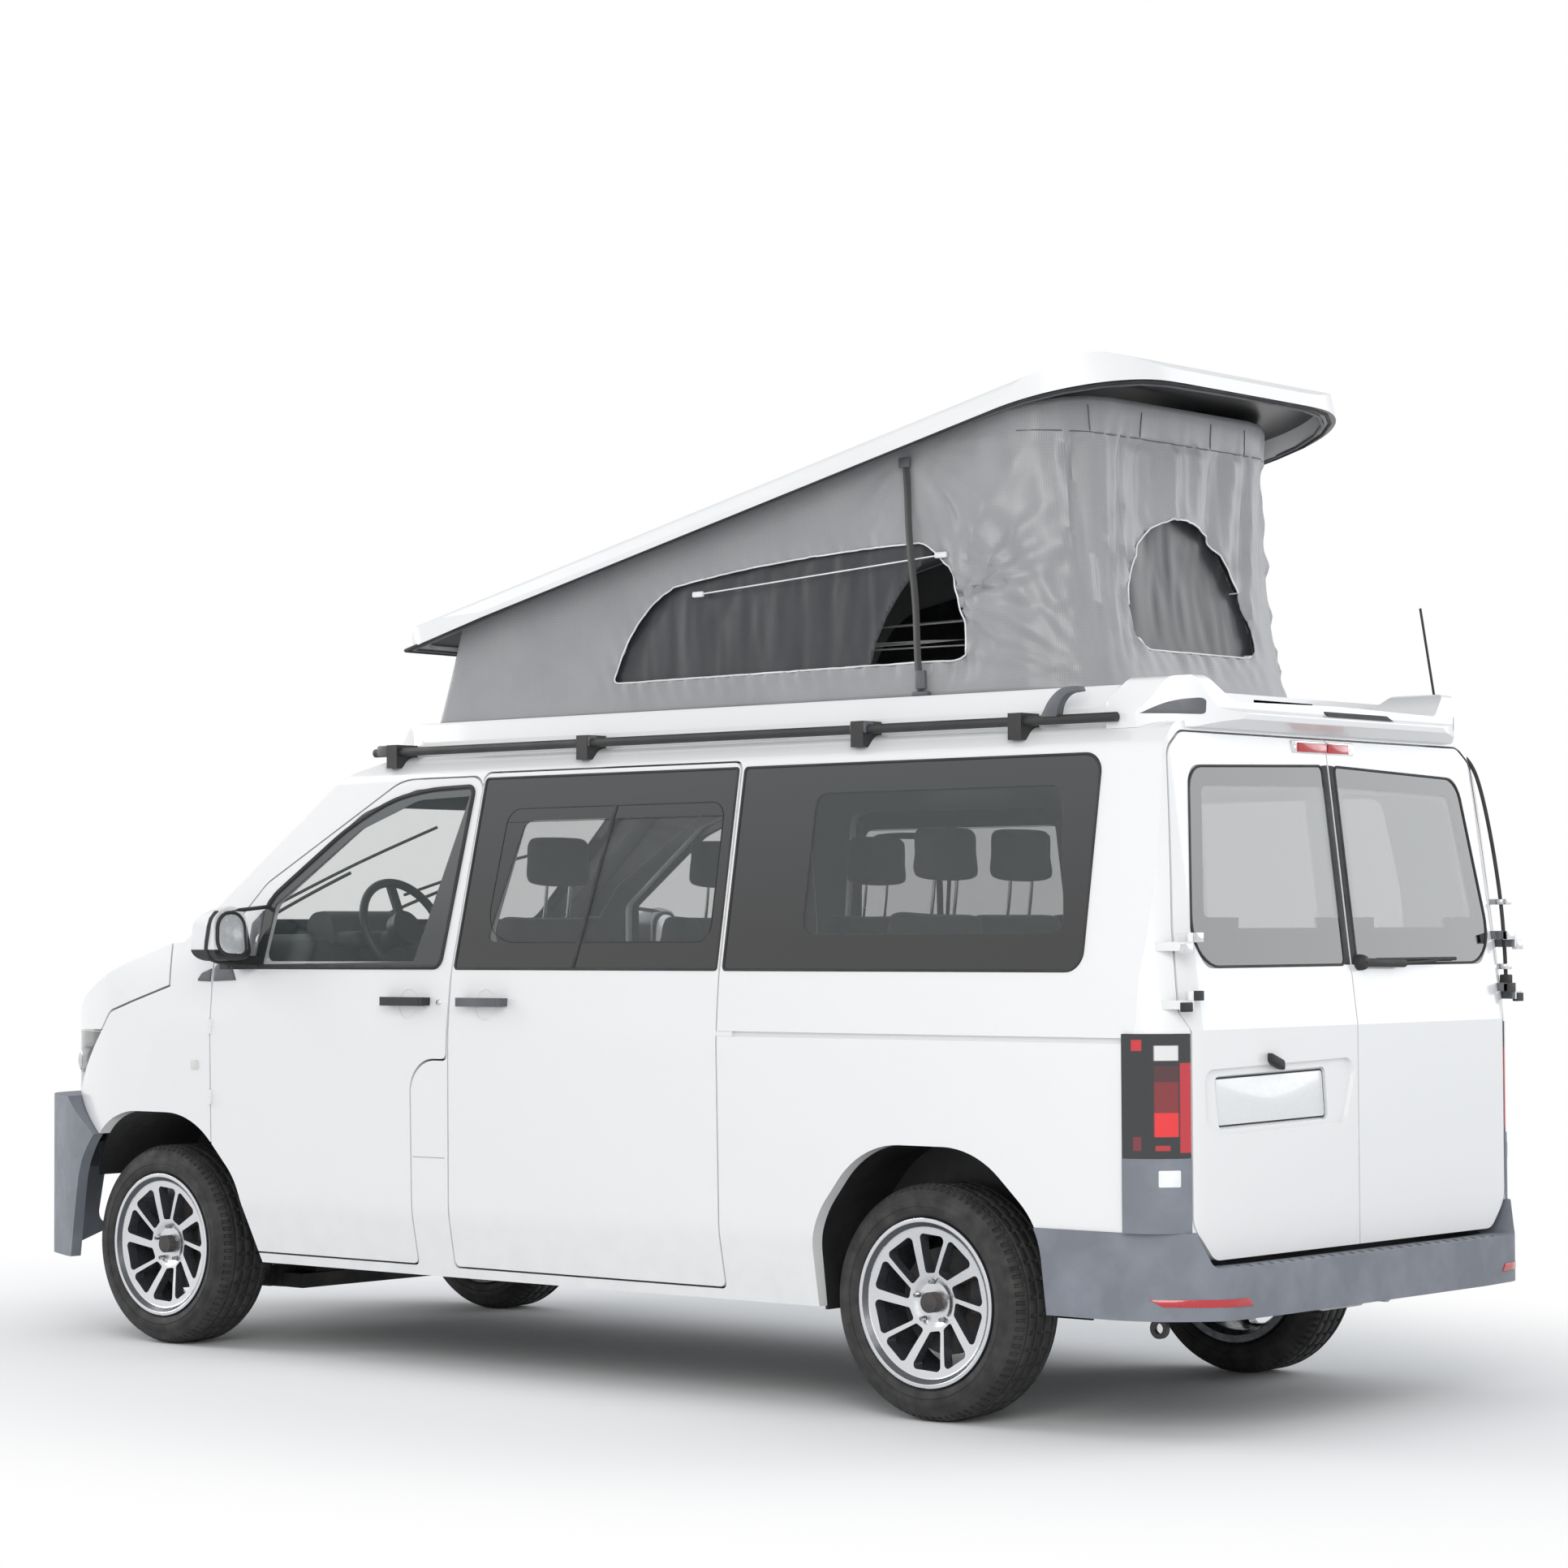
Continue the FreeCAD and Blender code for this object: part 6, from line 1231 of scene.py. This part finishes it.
CUP_HALF = (0.046, 0.050)
CUP_HEIGHT = 1.190
CUP_POINTS = 28


def make_flank_details(side, name):
    """Seals, the window's frame and divider, shut lines, lamps and flaps of one side."""
    van, door = "van", f"front_door_{name}"
    glass, panel_view = side_view(name, side, 0.0005), side_view(name, side)
    seals = [bead(rounded_outline(edge), glass, 0.0042) for edge in (SLIDER_EDGE, QUARTER_EDGE)]
    piece_of(merged(*seals), f"window_seals_{name}", "seal", van)
    piece_of(bead(rounded_outline(DOOR_EDGE), glass, 0.0085), f"door_window_seal_{name}", "seal", door)
    lines = [bead(rounded_outline(SASH_EDGE), glass, 0.0016),
             bead(flats((-0.852, 1.772), (0.083, 1.772)), glass, 0.0012, closed=False)]
    piece_of(merged(*lines), f"sash_lines_{name}", "seal", van)
    piece_of(patch(SASH_BAR, glass, 0.002), f"sash_bar_{name}", "seal", van)
    if side == LEFT:
        line = bead(FUEL_FLAP, panel_view, 0.0013, closed=False)
        piece_of(line, "fuel_flap_line", "seam_grey", door)
    piece_of(patch(SIDE_LAMP, panel_view, 0.004), f"side_lamp_{name}", "clear_lens", van)
    for at, body, label, panel in ((0.438, door, "front", (door,)),
                                   (0.086, van, "rear", ("sliding_doors", f"body_side_{name}"))):
        turns = [turn * math.tau / CUP_POINTS for turn in range(CUP_POINTS)]
        ring = [Vector((at + CUP_HALF[0] * math.cos(turn), CUP_HEIGHT + CUP_HALF[1] * math.sin(turn)))
                for turn in turns]
        cup = bead(ring, seen_beside(panel, side, -0.0006), 0.0026)
        piece_of(cup, f"handle_cup_{label}_{name}", "body_paint", body, 80)
    lock = side_view(name, side, -0.001)(Vector((0.300, 1.196)))
    barrel = turned_form([(0, 0.0045), (0.009, 0.0045), (0.0105, 0.003), (0.011, 0), (0, 0)], lock,
                         (0, side, 0), 24)
    piece_of(barrel, f"door_lock_{name}", "chrome", door)
    door_only = seen_beside((door, f"front_door_glass_{name}"), side)
    for corners, see, thick, label, body in ((SAIL_FOOT, panel_view, 0.003, "sail_foot", door),
                                             (SAIL_TIP, panel_view, 0.003, "sail_tip", van),
                                             (MIRROR_SAIL, door_only, 0.002, "mirror_sail", door)):
        piece_of(patch(corners, see, thick, step=0.02), f"{label}_{name}", "smoke_plastic", body)


def make_mirror(side, name):
    """The reflecting plate and the black rim of an outside mirror."""
    body, trim = f"front_door_{name}", f"front_door_trim_{name}"
    low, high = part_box(trim)
    edge = high.y if side > 0 else low.y
    start = edge - side * 0.140
    corners = [(start, 1.345, 0.03), (edge - side * 0.012, 1.352, 0.05),
               (edge - side * 0.016, 1.490, 0.05), (start + side * 0.012, 1.490, 0.05)]
    line = divided(rounded_outline(corners), 0.02)
    met = [hit((trim,), (0.6, at.x, at.y), ONWARD) for at in line]
    seen = [point for point in met if point is not None and point.x > 1.05]
    if len(seen) < 8:
        return
    back = min(point.x for point in seen) - 0.0015
    glass = plate(corners, lambda across, up: Vector((back, across, up)), REARWARD, 0.002, 0.0008)
    piece_of(glass, f"mirror_glass_{name}", "mirror", body)
    rim = tube_form([Vector((back, at.x, at.y)) for at in line], 0.0065, closed=True, sides=8, order=2)
    piece_of(rim, f"mirror_rim_{name}", "seal", body)


REAR_GLASS_EDGE = [(0.032, 1.314, 0.02), (0.738, 1.314, 0.06), (0.796, 1.402, 0.06), (0.717, 1.876, 0.06),
                   (0.032, 1.896, 0.02)]
GLASS_STRIP = [(0.0045, 1.314, 0), (0.033, 1.314, 0), (0.033, 1.897, 0), (0.0045, 1.899, 0)]
TRIM_SQUARE = [(0.875, 0.712, 0.003), (0.922, 0.712, 0.003), (0.922, 0.758, 0.003), (0.875, 0.758, 0.003)]
REFLECTOR = [(0.672, 0.380, 0.002), (0.905, 0.384, 0.002), (0.923, 0.404, 0.002), (0.690, 0.402, 0.002)]
PLATE_HOLDER = [(0.149, 0.876, 0.012), (0.700, 0.868, 0.012), (0.716, 1.006, 0.012),
                (0.163, 1.016, 0.012)]
BLANK_PLATE = [(0.155, 0.881, 0.009), (0.696, 0.873, 0.009), (0.711, 1.001, 0.009), (0.168, 1.011, 0.009)]
SPOILER_LAMP = [(0.030, 2.078, 0.003), (-0.284, 2.078, 0.003), (-0.284, 2.101, 0.003),
                (0.030, 2.101, 0.003)]
SPOILER_SLOT = [(0.085, 2.035, 0.002), (-0.272, 2.035, 0.008), (-0.262, 2.052, 0.006),
                (0.085, 2.052, 0.002)]
FAIRING_INSET = [(-2.350, 2.026, 0.0), (-2.498, 2.022, 0.008), (-2.500, 2.070, 0.014),
                 (-2.430, 2.062, 0.03)]
SPOILER = ("rear_spoiler", "roof_bed", "roof_frame")
HIGH_LAMP_HEIGHT = 1.948
FITTINGS = ((1.356, "chrome", "steel", "hinge"), (1.196, "seal", "black_plastic", "stop"))


def make_high_lamp(side, name, body):
    """The brake lamp over one rear door: its steel case with a screw, and the red lens."""
    inner, outer = 0.004, 0.185 if side > 0 else 0.146
    face = tail_hit(side * 0.09, HIGH_LAMP_HEIGHT).x
    case = side_box(side, (face - 0.0035, inner, 1.929), (face + 0.010, outer, 1.967), 0.003)
    screw = turned_form([(0, 0.002), (0.004, 0.002), (0.005, 0.001), (0.005, -0.002), (0, -0.002)],
                        (face - 0.0035, side * (outer - 0.014), HIGH_LAMP_HEIGHT), REARWARD, 12)
    piece_of(merged(case, screw), f"high_lamp_case_{name}", "chrome", body, 30)
    lens = side_box(side, (face - 0.008, inner, 1.934), (face, outer - 0.030, 1.962), 0.003)
    piece_of(lens, f"high_lamp_{name}", "red_lens", body, 30)


def make_rear_door_details(side, name):
    """Seal, glass strip, lamp, hinge fittings and small trims of one rear door."""
    body, on_door = f"rear_door_{name}", rear_view()
    seal = bead(rounded_outline(sided(side, REAR_GLASS_EDGE)), rear_view(0.0005), 0.004)
    piece_of(seal, f"rear_window_seal_{name}", "seal", body)
    strip = patch(sided(side, GLASS_STRIP), on_door, 0.0012, step=0.06)
    piece_of(strip, f"rear_glass_strip_{name}", "seal", body)
    make_high_lamp(side, name, body)
    for foot, finish, slot, label in FITTINGS:
        leaf = side_box(side, (-2.592, 0.818, foot + 0.027), (-2.574, 0.863, foot + 0.054), 0.002)
        piece_of(leaf, f"{label}_leaf_{name}", finish, body, 30)
        mount = side_box(side, (-2.592, 0.872, foot - 0.003), (-2.574, 0.910, foot + 0.023), 0.002)
        piece_of(mount, f"{label}_mount_{name}", finish, "van", 30)
    square = patch(sided(side, TRIM_SQUARE), on_door, 0.0022)
    piece_of(square, f"trim_square_{name}", "piping", "van")
    marker = patch(sided(side, REFLECTOR), on_door, 0.003)
    piece_of(marker, f"reflector_{name}", "red_lens", "van")


def make_plate():
    """The blank number plate in its holder."""
    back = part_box("rear_door_left")[0].x + 0.0465
    for corners, at, thick, soft, label, finish, slot in (
            (PLATE_HOLDER, back, 0.0035, 0.001, "plate_holder", "seal", "black_plastic"),
            (BLANK_PLATE, back - 0.0035, 0.0018, 0.0006, "blank_plate", "plate_white", "body_paint")):
        form = plate(corners, lambda across, up, at=at: Vector((at, across, up)), REARWARD, thick, soft)
        piece_of(form, label, finish, "rear_door_left")


def make_rear_wiper():
    """Boss, arm and blade of the wiper on the right rear door."""
    pivot = tail_hit(-0.040, 1.320)
    boss = turned_form([(0, 0.030), (0.014, 0.030), (0.020, 0.026), (0.023, 0.016), (0.024, 0), (0, 0)],
                       pivot, REARWARD, 28)
    arms = [tube_form([pivot + Vector(step) for step in steps], radius, sides=sides)
            for steps, radius, sides in (
                (((-0.020, 0.0, 0), (-0.024, -0.10, -0.002), (-0.021, -0.22, -0.004)), 0.0125, 10),
                (((-0.021, -0.18, -0.003), (-0.018, -0.34, -0.003), (-0.014, -0.42, 0.004)), 0.0045, 8))]
    blade = tube_form([tail_hit(across, 1.326, 0.008) for across in (-0.13, -0.28, -0.43, -0.575)],
                      0.0055)
    piece_of(merged(boss, *arms, blade), "rear_wiper", "seal", "rear_door_right", 45)


def make_tail_details():
    """Everything that is laid on the rear doors and the spoiler."""
    for side, name in BOTH:
        make_rear_door_details(side, name)
    handle = box_form((-2.592, 0.404, 1.030), (-2.552, 0.474, 1.060), 0.009, 3)
    for vert in handle.verts:
        vert.co.z += (vert.co.y - 0.44) * 0.35
        vert.co.y -= (vert.co.x + 2.57) * 0.5
    piece_of(handle, "rear_handle", "seal", "rear_door_left", 40)
    make_plate()
    make_rear_wiper()
    lamp = patch(SPOILER_LAMP, rear_view(0, SPOILER), 0.004)
    piece_of(lamp, "spoiler_lamp", "red_lens", "van")
    slot = patch(SPOILER_SLOT, rear_view(0, SPOILER), 0.0012)
    piece_of(slot, "spoiler_slot", "seal", "van")
    for side, name in BOTH:
        inset = patch(FAIRING_INSET, seen_beside(SPOILER, side), 0.0025, step=0.02)
        piece_of(inset, f"fairing_inset_{name}", "smoke_plastic", "van")


STUD = [(0, 0.003), (0.004, 0.0026), (0.0075, 0.001), (0.0085, -0.001)]
STUD_ROWS, STUDS_IN_ROW, STUD_PITCH = (-2.625, -2.600), 26, 0.052


def make_step_pad():
    """Raised studs in two rows on the rear bumper's step."""
    forms = []
    for row, ahead in enumerate(STUD_ROWS):
        for number in range(STUDS_IN_ROW):
            across = -0.650 + number * STUD_PITCH + row * 0.026
            at = hit(("rear_bumper",), (ahead, across, 0.9), DOWN)
            if at is not None:
                forms.append(turned_form(STUD, at, (0, 0, 1), 10))
    piece_of(merged(*forms), "step_studs", "smoke_plastic", "van", 60)


def make_side_tube():
    """The pipe down the right rear corner from the aerial's bracket, with its two clips."""
    line = [(-2.412, -0.742, 1.985), (-2.440, -0.775, 1.978), (-2.468, -0.812, 1.940),
            (-2.482, -0.840, 1.880), (-2.500, -0.866, 1.750), (-2.526, -0.884, 1.550),
            (-2.538, -0.890, 1.400), (-2.541, -0.892, 1.255)]
    tube = tube_form(line, 0.0065, sides=10, order=4)
    end = box_form((-2.556, -0.908, 1.245), (-2.526, -0.876, 1.275), 0.004)
    hook = tube_form([(-2.541, -0.892, 1.25), (-2.552, -0.900, 1.225), (-2.548, -0.896, 1.205)], 0.005)
    piece_of(merged(tube, end, hook), "side_pipe", "seal", "van", 50)
    clips = [box_form((-2.556, -0.906, up - 0.009), (-2.490, -0.872, up + 0.009), 0.003)
             for up in (1.500, 1.300)]
    piece_of(merged(*clips), "side_pipe_clips", "chrome", "van", 30)


RAIL_ARM = [(-2.030, 2.026, 0.006), (-2.088, 2.026, 0.004), (-2.098, 2.070, 0.02), (-2.128, 2.092, 0.012),
            (-2.172, 2.096, 0.003), (-2.166, 2.110, 0.003), (-2.105, 2.110, 0.022), (-2.062, 2.078, 0.02)]
RAIL_CLAMPS = ((0.700, 0.048), (-0.223, 0.052), (-1.356, 0.060), (-1.944, 0.046))


def make_roof_fittings():
    """Bracket arms and clamps on the roof rails."""
    for side, name in BOTH:
        form = plate(RAIL_ARM, lambda ahead, up, side=side: Vector((ahead, side * 0.784, up)),
                     (0, side, 0), 0.030, 0.004)
        piece_of(form, f"rail_arm_{name}", "smoke_plastic", "van", 30)
        clamps = [side_box(side, (ahead - width / 2, 0.776, 2.006), (ahead + width / 2, 0.821, 2.041),
                           0.006) for ahead, width in RAIL_CLAMPS]
        piece_of(merged(*clamps), f"rail_clamps_{name}", "smoke_plastic", "van", 30)


SHELL_FRONT = Vector((0.700, 0, 2.356))
SHELL_TILT = math.radians(12.9)


def on_shell(ahead, across, up):
    """A point of the closed roof's own frame, on the raised roof."""
    return SHELL_FRONT + Vector((ahead * math.cos(SHELL_TILT) + up * math.sin(SHELL_TILT), across,
                                 up * math.cos(SHELL_TILT) - ahead * math.sin(SHELL_TILT)))


def make_shell_edge():
    """Black rubber lip and grey seal round the underside of the roof."""
    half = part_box("roof_shell")[1].y
    for inset, radius, up, finish, label in ((0.008, 0.0065, 0.001, "seal", "lip"),
                                             (0.026, 0.0055, 0.0, "smoke_plastic", "seal")):
        wide, back = half - inset, -2.961 + inset
        loop = rounded_outline([(-0.014 - inset, -wide + 0.022, 0.11), (-0.42, -wide, 0.4),
                                (back, -wide, 0.38), (-2.975 + inset, 0.0, 0), (back, wide, 0.38),
                                (-0.42, wide, 0.4), (-0.014 - inset, wide - 0.022, 0.11),
                                (0.0 - inset, 0, 0)])
        line = [on_shell(at.x, at.y, up) for at in divided(loop, 0.05)]
        piece_of(tube_form(line, radius, closed=True, order=2), f"roof_{label}", finish, "roof_shell",
                 60)


FRONT = ("grille", "headlamps", "front_bumper", "front_fenders")
SCREEN = ("windscreen", "cowl")
GRILLE_BARS = ((1.036, 0.54), (0.972, 0.54), (0.905, 0.52))
LAMP_BOWLS = ((0.66, 0.050, 0.052), (0.79, 0.075, 0.045))
WIPER_HUB = [(0, 0.018), (0.012, 0.018), (0.016, 0.012), (0.017, 0)]


def make_headlamp_bowls(side, name):
    """Two bright bowls with their bulbs behind one lamp cover."""
    aim = (1, side * 0.25, 0)
    bowls = []
    for across, back, reach in LAMP_BOWLS:
        centre = hit(FRONT, (BEFORE, side * across, 0.972), REARWARD) - Vector((back, 0, 0))
        bowls.append(turned_form([(0, 0), (reach * 0.35, 0.002), (reach * 0.75, 0.014), (reach, 0.034),
                                  (reach + 0.003, 0.034), (reach + 0.003, -0.004), (0, -0.004)], centre,
                                 aim, 32))
        bowls.append(turned_form([(0, 0.026), (reach * 0.28, 0.022), (reach * 0.36, 0.010),
                                  (reach * 0.36, 0)], centre, aim, 24))
    piece_of(merged(*bowls), f"headlamp_bowls_{name}", "chrome", "van", 40)


def make_nose_details():
    """Chrome bars, lamp bowls and wipers at the front."""
    bars = []
    for up, reach in GRILLE_BARS:
        points = [hit(FRONT, (BEFORE, reach * (number / 12 - 1), up), REARWARD, 0.001)
                  for number in range(25)]
        bars.append(tube_form([point for point in points if point is not None], 0.006, order=2))
    piece_of(merged(*bars), "grille_bars", "chrome", "van", 60)
    for side, name in BOTH:
        make_headlamp_bowls(side, name)
    on_screen = lambda ahead, across, proud: hit(SCREEN, (ahead, across, ABOVE), DOWN, proud)
    wipers = []
    for across in (0.58, -0.06):
        start = on_screen(1.66, across, 0.006)
        middle = on_screen(1.52, across - 0.16, 0.014)
        far = on_screen(1.43, across - 0.30, 0.010)
        blade = [on_screen(1.54 - 0.30 * share, across - 0.02 - 0.52 * share, 0.008)
                 for share in (0, 0.33, 0.66, 1)]
        arm = tube_form([start + Vector((0, 0, 0.012)), middle, far], 0.006)
        wipers += [turned_form(WIPER_HUB, start, (0, 0, 1), 20), arm, tube_form(blade, 0.0055)]
    piece_of(merged(*wipers), "screen_wipers", "seal", "van", 50)


STRAP_WIDTH = 0.025
STRAP_RIPPLE = 0.004


def make_straps():
    """The two webbing stays from the bed to the roof, each with its buckle and top clip."""
    low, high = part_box("tent_straps")
    for side, name in BOTH:
        across = side * (high.y - 0.008)
        top, foot = Vector((-1.420, across, high.z - 0.004)), Vector((-1.478, across, low.z + 0.004))
        bm = bmesh.new()
        ripple = [side * STRAP_RIPPLE * math.sin(number * 0.5) for number in range(25)]
        verts = [bm.verts.new(foot.lerp(top, number / 24) + Vector((-STRAP_WIDTH / 2, sway, 0)))
                 for number, sway in enumerate(ripple)]
        edges = [bm.edges.new(pair) for pair in zip(verts, verts[1:])]
        made = bmesh.ops.extrude_edge_only(bm, edges=edges)["geom"]
        bmesh.ops.translate(bm, verts=verts_in(made), vec=(STRAP_WIDTH, 0, 0))
        lay_weave(bm, lambda face: lambda at: (at.x, at.z))
        strap = tent_piece(bm, f"stay_strap_{name}", "webbing", 0.0018)
        if side == LEFT:
            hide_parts("tent_straps")
        parts = [box_at(top, (-0.020, -0.006, -0.030), (0.020, 0.006, 0.0), 0.003),
                 box_at(foot, (-0.018, -0.006, 0.020), (0.018, 0.006, 0.075), 0.003),
                 box_at(foot, (-0.030, -0.010, -0.002), (0.030, 0.010, 0.012), 0.004)]
        tent_piece(merged(*parts), f"strap_fittings_{name}", "smoke_plastic", 0, 30)


# ---- cabin -------------------------------------------------------------------------------

SEATS = ((0.400, 0.400, 0.50), (0.400, -0.400, 0.50), (-0.330, -0.380, 0.48), (-1.230, 0.0, 1.22))
SEAT_FOOT = 0.802
PLACE_PITCH = 0.38
PAD_SOFT = 0.022


def seat_places(across, width):
    """The middle of each place on a seat: one on a chair, three on the bench."""
    return [across] if width < 1 else [across - PLACE_PITCH, across, across + PLACE_PITCH]


def pad_form(corners, low, high, soft):
    """The block that a pad is blown up from."""
    form = plate(corners, lambda ahead, up: Vector((ahead, low, up)), (0, 1, 0), high - low)
    soften(form, form.edges[:], soft)
    return form


def seat_pads(ahead, across, width):
    """Cushion, back and head rest blocks of one seat."""
    cushion = [(ahead + 0.010, SEAT_FOOT + 0.012, 0), (ahead + 0.430, SEAT_FOOT + 0.028, 0),
               (ahead + 0.438, SEAT_FOOT + 0.128, 0), (ahead + 0.030, SEAT_FOOT + 0.118, 0)]
    back = [(ahead - 0.060, SEAT_FOOT + 0.020, 0), (ahead - 0.010, SEAT_FOOT + 0.020, 0),
            (ahead + 0.072, SEAT_FOOT + 0.160, 0), (ahead + 0.045, SEAT_FOOT + 0.330, 0),
            (ahead - 0.040, SEAT_FOOT + 0.680, 0), (ahead - 0.136, SEAT_FOOT + 0.674, 0),
            (ahead - 0.118, SEAT_FOOT + 0.230, 0)]
    head = [(ahead - 0.155, 1.572, 0), (ahead - 0.064, 1.580, 0), (ahead - 0.072, 1.736, 0),
            (ahead - 0.144, 1.732, 0)]
    centres = seat_places(across, width)
    pads = []
    for number in range(len(centres)):
        low = across - width / 2 + number * width / len(centres)
        high = low + width / len(centres)
        pads += [pad_form(form, low + 0.012, high - 0.012, PAD_SOFT) for form in (cushion, back)]
    return pads + [pad_form(head, centre - 0.125, centre + 0.125, PAD_SOFT) for centre in centres]


def blown_up(bm, name, voxel, pressure, cap):
    """Cloth over stuffing: remeshed, blown up a little and held within its cap."""
    holder = placed(name, mesh_of(bm, name))
    final = lambda: bpy.data.meshes.new_from_object(
        holder.evaluated_get(bpy.context.evaluated_depsgraph_get()))
    remesh = holder.modifiers.new("voxels", "REMESH")
    remesh.mode = "VOXEL"
    remesh.voxel_size = voxel
    even = final()
    holder.modifiers.clear()
    holder.data = even
    rest = [vert.co.copy() for vert in even.vertices]
    cloth = holder.modifiers.new("stuffing", "CLOTH")
    cloth.settings.use_pressure = True
    cloth.settings.uniform_pressure_force = pressure
    cloth.settings.effector_weights.gravity = 0
    cloth.settings.quality = 4
    cloth.collision_settings.use_collision = False
    for number in range(1, 21):
        bpy.context.scene.frame_set(number)
    swollen = final()
    holder.modifiers.clear()
    holder.data = swollen
    bpy.context.scene.frame_set(1)
    result = bmesh.new()
    result.from_mesh(holder.data)
    for vert, start in zip(result.verts, rest):
        moved = vert.co - start
        if moved.length > cap:
            vert.co = start + moved.normalized() * cap
    bpy.data.objects.remove(holder)
    for _ in range(2):
        bmesh.ops.smooth_vert(result, verts=result.verts[:], factor=0.4, use_axis_x=True, use_axis_y=True,
                              use_axis_z=True)
    return result


def cut_channel(bm, place, normal, width, depth, near):
    """A sewn line pressed into the pads where a plane crosses them."""
    normal = Vector(normal).normalized()
    for vert in bm.verts:
        if not near(vert.co):
            continue
        off = abs((vert.co - Vector(place)).dot(normal))
        if off < width:
            vert.co -= vert.normal * depth * (1 - off / width) ** 1.5


HOOP = [(-0.500, -0.640, 1.05), (-0.508, -0.640, 1.45), (-0.495, -0.640, 1.735), (-0.330, -0.640, 1.748),
        (-0.150, -0.640, 1.735), (-0.140, -0.640, 1.45), (-0.145, -0.640, 1.05)]
CHANNEL = 0.014


def seat_weave(face):
    """Flat coordinates for the cloth on a seat: the two axes that a face lies along."""
    first, second = sorted(sorted(range(3), key=lambda letter: abs(face.normal[letter]))[:2])
    return lambda at: (at[first], at[second])


def make_seats():
    """Stuffed seats with sewn channels, their head rests' posts and the hoop beside them."""
    pads = [pad for ahead, across, width in SEATS for pad in seat_pads(ahead, across, width)]
    bm = blown_up(merged(*pads), "seat_stuffing", 0.013, 4.0, 0.012)
    bm.normal_update()
    for ahead, across, width in SEATS:
        on_seat = lambda at, a=ahead, c=across: (abs(at.x - a) < 0.5 and abs(at.y - c) < 0.3
                                                 and at.z < 1.52)
        for offset in ((-0.13, 0.13) if width < 1 else ()):
            cut_channel(bm, (ahead, across + offset, 1.2), (0, 1, 0), CHANNEL, 0.006, on_seat)
        cut_channel(bm, (ahead, across, 1.235), (0.15, 0, 1), CHANNEL, 0.006,
                    lambda at, a=ahead: -0.2 < at.x - a < 0.12)
        cut_channel(bm, (ahead + 0.25, across, 0.9), (1, 0, 0), CHANNEL, 0.005,
                    lambda at, a=ahead: 0.87 < at.z < 1.0 and at.x > a + 0.12)
    lay_weave(bm, seat_weave)
    seats = piece_of(bm, "seat_pads", "seat_cloth", "van", 0)
    for face in seats.data.polygons:
        face.use_smooth = True
    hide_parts("seats")
    posts = [tube_form([(ahead - back, centre + offset, up)
                        for back, up in ((0.092, 1.45), (0.105, 1.52), (0.110, 1.60))], 0.006)
             for ahead, across, width in SEATS for centre in seat_places(across, width)
             for offset in (-0.055, 0.055)]
    piece_of(merged(*posts), "head_rest_posts", "chrome", "van", 50)
    piece_of(tube_form(HOOP, 0.011, sides=10), "seat_hoop", "seal", "van", 60)


VENT = [(0, 0.004), (0.028, 0.004), (0.030, 0.010), (0.037, 0.010), (0.040, 0.004), (0.040, -0.004),
        (0, -0.004)]
VENTS = ((0.62, 1.24), (0.16, 1.24), (-0.14, 1.24), (-0.62, 1.24))


def make_dash_details():
    """Instrument hood, vents and screen of the dashboard."""
    dash = ("dashboard",)
    face = lambda across, up: hit(dash, (0.7, across, up), ONWARD)
    forms = []
    hood = hit(dash, (1.20, 0.400, 2.0), DOWN)
    if hood is not None:
        forms.append(box_at(hood, (-0.075, -0.150, -0.020), (0.060, 0.150, 0.035), 0.020, 4))
    for across, up in VENTS:
        at = face(across, up)
        if at is not None:
            forms.append(turned_form(VENT, at, REARWARD, 28))
            forms += [box_at(at, (-0.008, -0.028, offset - 0.0015), (-0.001, 0.028, offset + 0.0015))
                      for offset in (-0.014, 0, 0.014)]
    piece_of(merged(*forms), "dash_fittings", "dash_plastic", "van", 35)
    at = face(0.0, 1.20)
    if at is not None:
        screen = box_at(at, (-0.008, -0.105, -0.060), (0.004, 0.105, 0.060), 0.004)
        piece_of(screen, "dash_screen", "mirror_dark", "van", 30)


set_camera()
set_stage()
make_finishes()
dress_nodes()
make_wheels()
make_tent()
make_straps()
for side, name in BOTH:
    make_flank_details(side, name)
    make_mirror(side, name)
make_tail_details()
make_step_pad()
make_side_tube()
make_roof_fittings()
make_shell_edge()
make_nose_details()
make_seats()
make_dash_details()
